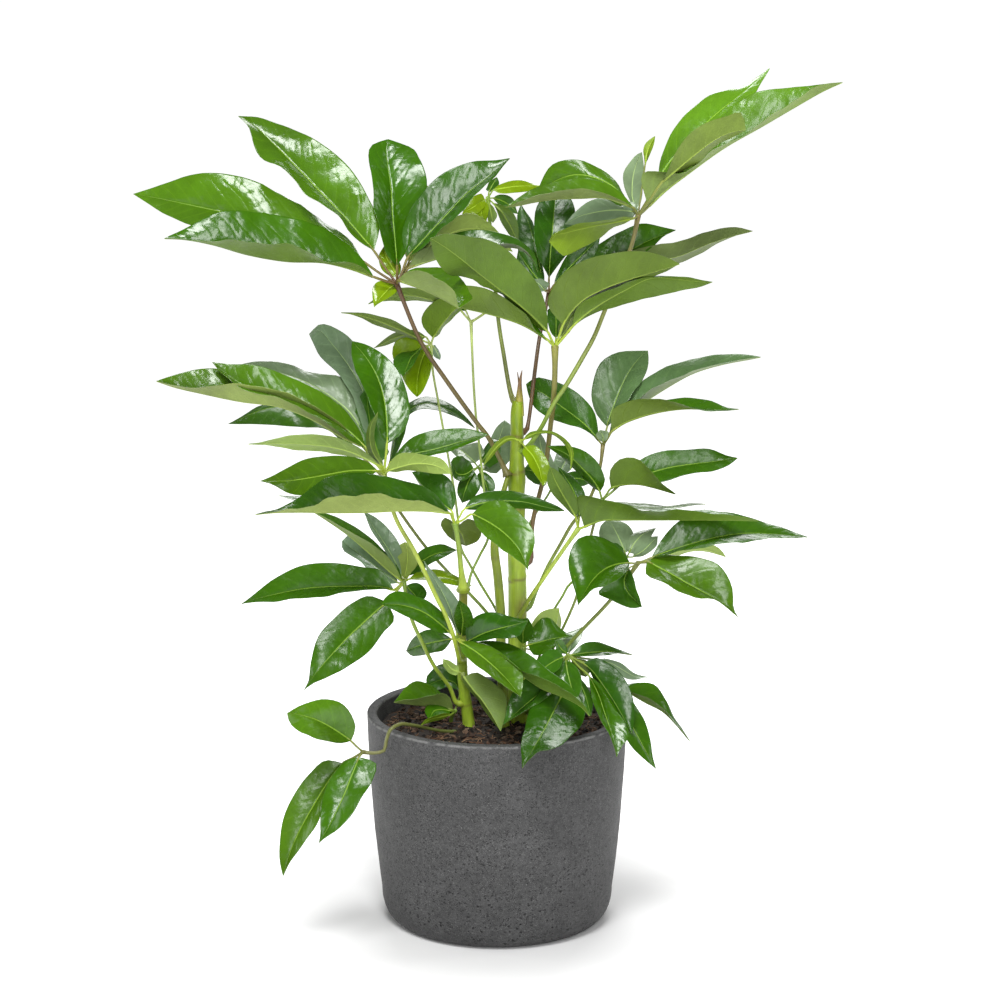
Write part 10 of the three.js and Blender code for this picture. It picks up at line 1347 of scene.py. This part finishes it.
def build_soil():
    b = Builder()
    rings, sides, edge = 46, 120, 128.0

    def add(verts, faces, cols):
        b.add(verts, faces, 0, tint=cols)
    verts, faces, cols = [(0, 0, ground(0, 0))], [], []
    for i in range(1, rings + 1):
        r = edge * i / rings
        for s in range(sides):
            a = 2 * math.pi * s / sides
            x, y = r * math.cos(a), r * math.sin(a)
            z = ground(x, y) - (3.0 if i == rings else 0.0)
            verts.append((x, y, z))
    for i in range(rings - 1):
        for s in range(sides):
            q = (s + 1) % sides
            faces.append((1 + i * sides + s, 1 + i * sides + q, 1 + (i + 1) * sides + q, 1 + (i + 1) * sides + s))
    for s in range(sides):
        faces.append((0, 1 + s, 1 + (s + 1) % sides))
    low = len(verts)
    for s in range(sides):
        a = 2 * math.pi * s / sides
        verts.append((127 * math.cos(a), 127 * math.sin(a), 204))
    verts.append((0, 0, 204))
    for s in range(sides):
        q = (s + 1) % sides
        faces.append((1 + (rings - 1) * sides + s, 1 + (rings - 1) * sides + q, low + q, low + s))
        faces.append((low + s, low + q, len(verts) - 1))
    add(verts, faces, [(0.018, 0.012, 0.008)] * len(verts))

    # bark chips: small cracked slabs, tumbled
    tones = [(0.050, 0.027, 0.016), (0.075, 0.041, 0.026), (0.105, 0.057, 0.036), (0.026, 0.016, 0.011), (0.150, 0.092, 0.060), (0.012, 0.009, 0.007), (0.230, 0.160, 0.110)]
    count = 2200
    for _ in range(count):
        rad = 124 * math.sqrt(rng.random())
        ang = rng.uniform(0, 2 * math.pi)
        x, y = rad * math.cos(ang), rad * math.sin(ang)
        size = min(11.5, 1.7 + rng.expovariate(0.34))
        if rad + size > 126:
            continue
        lx, ly, lz = size, size * rng.uniform(0.35, 0.8), size * rng.uniform(0.15, 0.4)
        yaw, pitch, roll = rng.uniform(0, 6.28), rng.gauss(0, 0.35), rng.gauss(0, 0.4)
        cy, sy, cp, sp, cr, sr = math.cos(yaw), math.sin(yaw), math.cos(pitch), math.sin(pitch), math.cos(roll), math.sin(roll)
        R = np.array([[cy, -sy, 0], [sy, cy, 0], [0, 0, 1]]) @ np.array([[cp, 0, sp], [0, 1, 0], [-sp, 0, cp]]) @ np.array([[1, 0, 0], [0, cr, -sr], [0, sr, cr]])
        pts = []
        for zz in (-1, 1):
            for k in range(6):
                a = 2 * math.pi * k / 6 + rng.uniform(-0.3, 0.3)
                m = rng.uniform(0.7, 1.1) * (1.0 if zz < 0 else rng.uniform(0.6, 0.95))
                pts.append((0.5 * lx * m * math.cos(a), 0.5 * ly * m * math.sin(a), 0.5 * lz * zz * rng.uniform(0.7, 1.2)))
        z = ground(x, y) + 0.25 * lz + 0.15 * size * abs(sp)
        V = (R @ np.array(pts).T).T + np.array([x, y, z])
        F = [(5, 4, 3, 2, 1, 0), (6, 7, 8, 9, 10, 11)] + [(k, (k + 1) % 6, 6 + (k + 1) % 6, 6 + k) for k in range(6)]
        c = rng.choice(tones)
        g = rng.uniform(0.18, 0.85)
        add(V.tolist(), F, [tuple(q * g for q in c)] * 12)

    # coco fibres: thin bent strands lying on the chips
    for _ in range(220):
        rad, ang = 118 * math.sqrt(rng.random()), rng.uniform(0, 6.28)
        x, y, yaw = rad * math.cos(ang), rad * math.sin(ang), rng.uniform(0, 6.28)
        L, bend = rng.uniform(7, 26), rng.gauss(0, 0.7)
        pts = []
        for k in range(5):
            t = k / 4
            yaw2 = yaw + bend * t
            px, py = x + L * (t - 0.5) * math.cos(yaw2), y + L * (t - 0.5) * math.sin(yaw2)
            if math.hypot(px, py) > 125:
                break
            pts.append((px, py, ground(px, py) + rng.uniform(0.6, 2.8) * (1 - abs(2 * t - 1) * 0.5) + 0.4, rng.uniform(0.22, 0.42)))
        if len(pts) < 3:
            continue
        c = rng.choice([(0.17, 0.085, 0.045), (0.11, 0.055, 0.03), (0.25, 0.15, 0.085)])
        v, f, cols = tube(pts, 5, 9, lambda t, a: c)
        add(v, f, cols)
    ob = outward(b.make("look_soil", [soil_material("soil_mix", None, None)], smooth=False))
    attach(ob, "root")
    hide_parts("soil")
    return ob


build_soil()


# ---------------------------------------------------------------- floor, lights, camera
def floor_material():
    n = Nodes("studio_floor")
    n.set("Base Color", (0.72, 0.72, 0.72, 1.0))
    n.set("Roughness", 0.9)
    n.set("Specular IOR Level", 0.1)
    # painted light: the floor glows, faintly beside the pot and strongly further out, which paints the floor darker
    # round the pot's base and white beyond
    n.set("Emission Color", (1.0, 1.0, 1.0, 1.0))
    away = n.t.nodes.new("ShaderNodeVectorMath")
    away.operation = "LENGTH"
    n.put(away.inputs[0], n.place())
    n.set("Emission Strength", n.ramp(away.outputs["Value"], 0.10, 0.44, GLOW_NEAR, GLOW_FAR))
    return n.mat


# strength of the floor's painted glow beside the pot and far from it
GLOW_NEAR, GLOW_FAR = 0.03, 0.94
WORLD = 0.13
me = bpy.data.meshes.new("studio_floor")
me.from_pydata([(-60, -60, 0), (60, -60, 0), (60, 60, 0), (-60, 60, 0)], [], [(0, 1, 2, 3)])
me.materials.append(floor_material())
floor = bpy.data.objects.new("studio_floor", me)
bpy.context.scene.collection.objects.link(floor)

scene = bpy.context.scene
world = bpy.data.worlds.new("studio")
scene.world = world
world.use_nodes = True
world.node_tree.nodes["Background"].inputs[0].default_value = (1, 1, 1, 1)
world.node_tree.nodes["Background"].inputs[1].default_value = WORLD


def softbox(name, at, to, sx, sy, power, tint=(1, 1, 1)):
    L = bpy.data.lights.new(name, "AREA")
    L.shape = "RECTANGLE"
    L.size, L.size_y, L.energy, L.color = sx, sy, power, tint
    ob = bpy.data.objects.new(name, L)
    scene.collection.objects.link(ob)
    ob.location = at
    ob.rotation_euler = (Vector(to) - Vector(at)).to_track_quat("-Z", "Y").to_euler()
    return ob


softbox("front", (0.30, -2.5, 1.25), (0, 0, 0.4), 0.6, 1.3, 34)
softbox("key_top", (-0.35, -1.5, 2.3), (0, 0, 0.5), 0.95, 0.65, 54)
softbox("side_left", (-2.0, 0.2, 1.5), (0, 0, 0.6), 0.5, 1.2, 9)
softbox("side_right", (2.0, 0.2, 1.5), (0, 0, 0.6), 0.5, 1.2, 6)
softbox("back_top", (0.2, 1.8, 2.1), (0, 0, 0.6), 1.8, 0.9, 44)

cam = bpy.data.cameras.new("camera")
cam.sensor_width = 36.0
cam.lens = 103.78
cam.clip_end = 300
cam_ob = bpy.data.objects.new("camera", cam)
scene.collection.objects.link(cam_ob)
cam_ob.location = (0.003228, -3.0, 1.07124)
cam_ob.rotation_euler = (math.pi / 2 - 0.200728, 0, 0)
scene.camera = cam_ob

scene.view_settings.view_transform = "Standard"
scene.view_settings.look = "None"
scene.cycles.max_bounces = 8
scene.cycles.diffuse_bounces = 4
scene.cycles.use_denoising = True
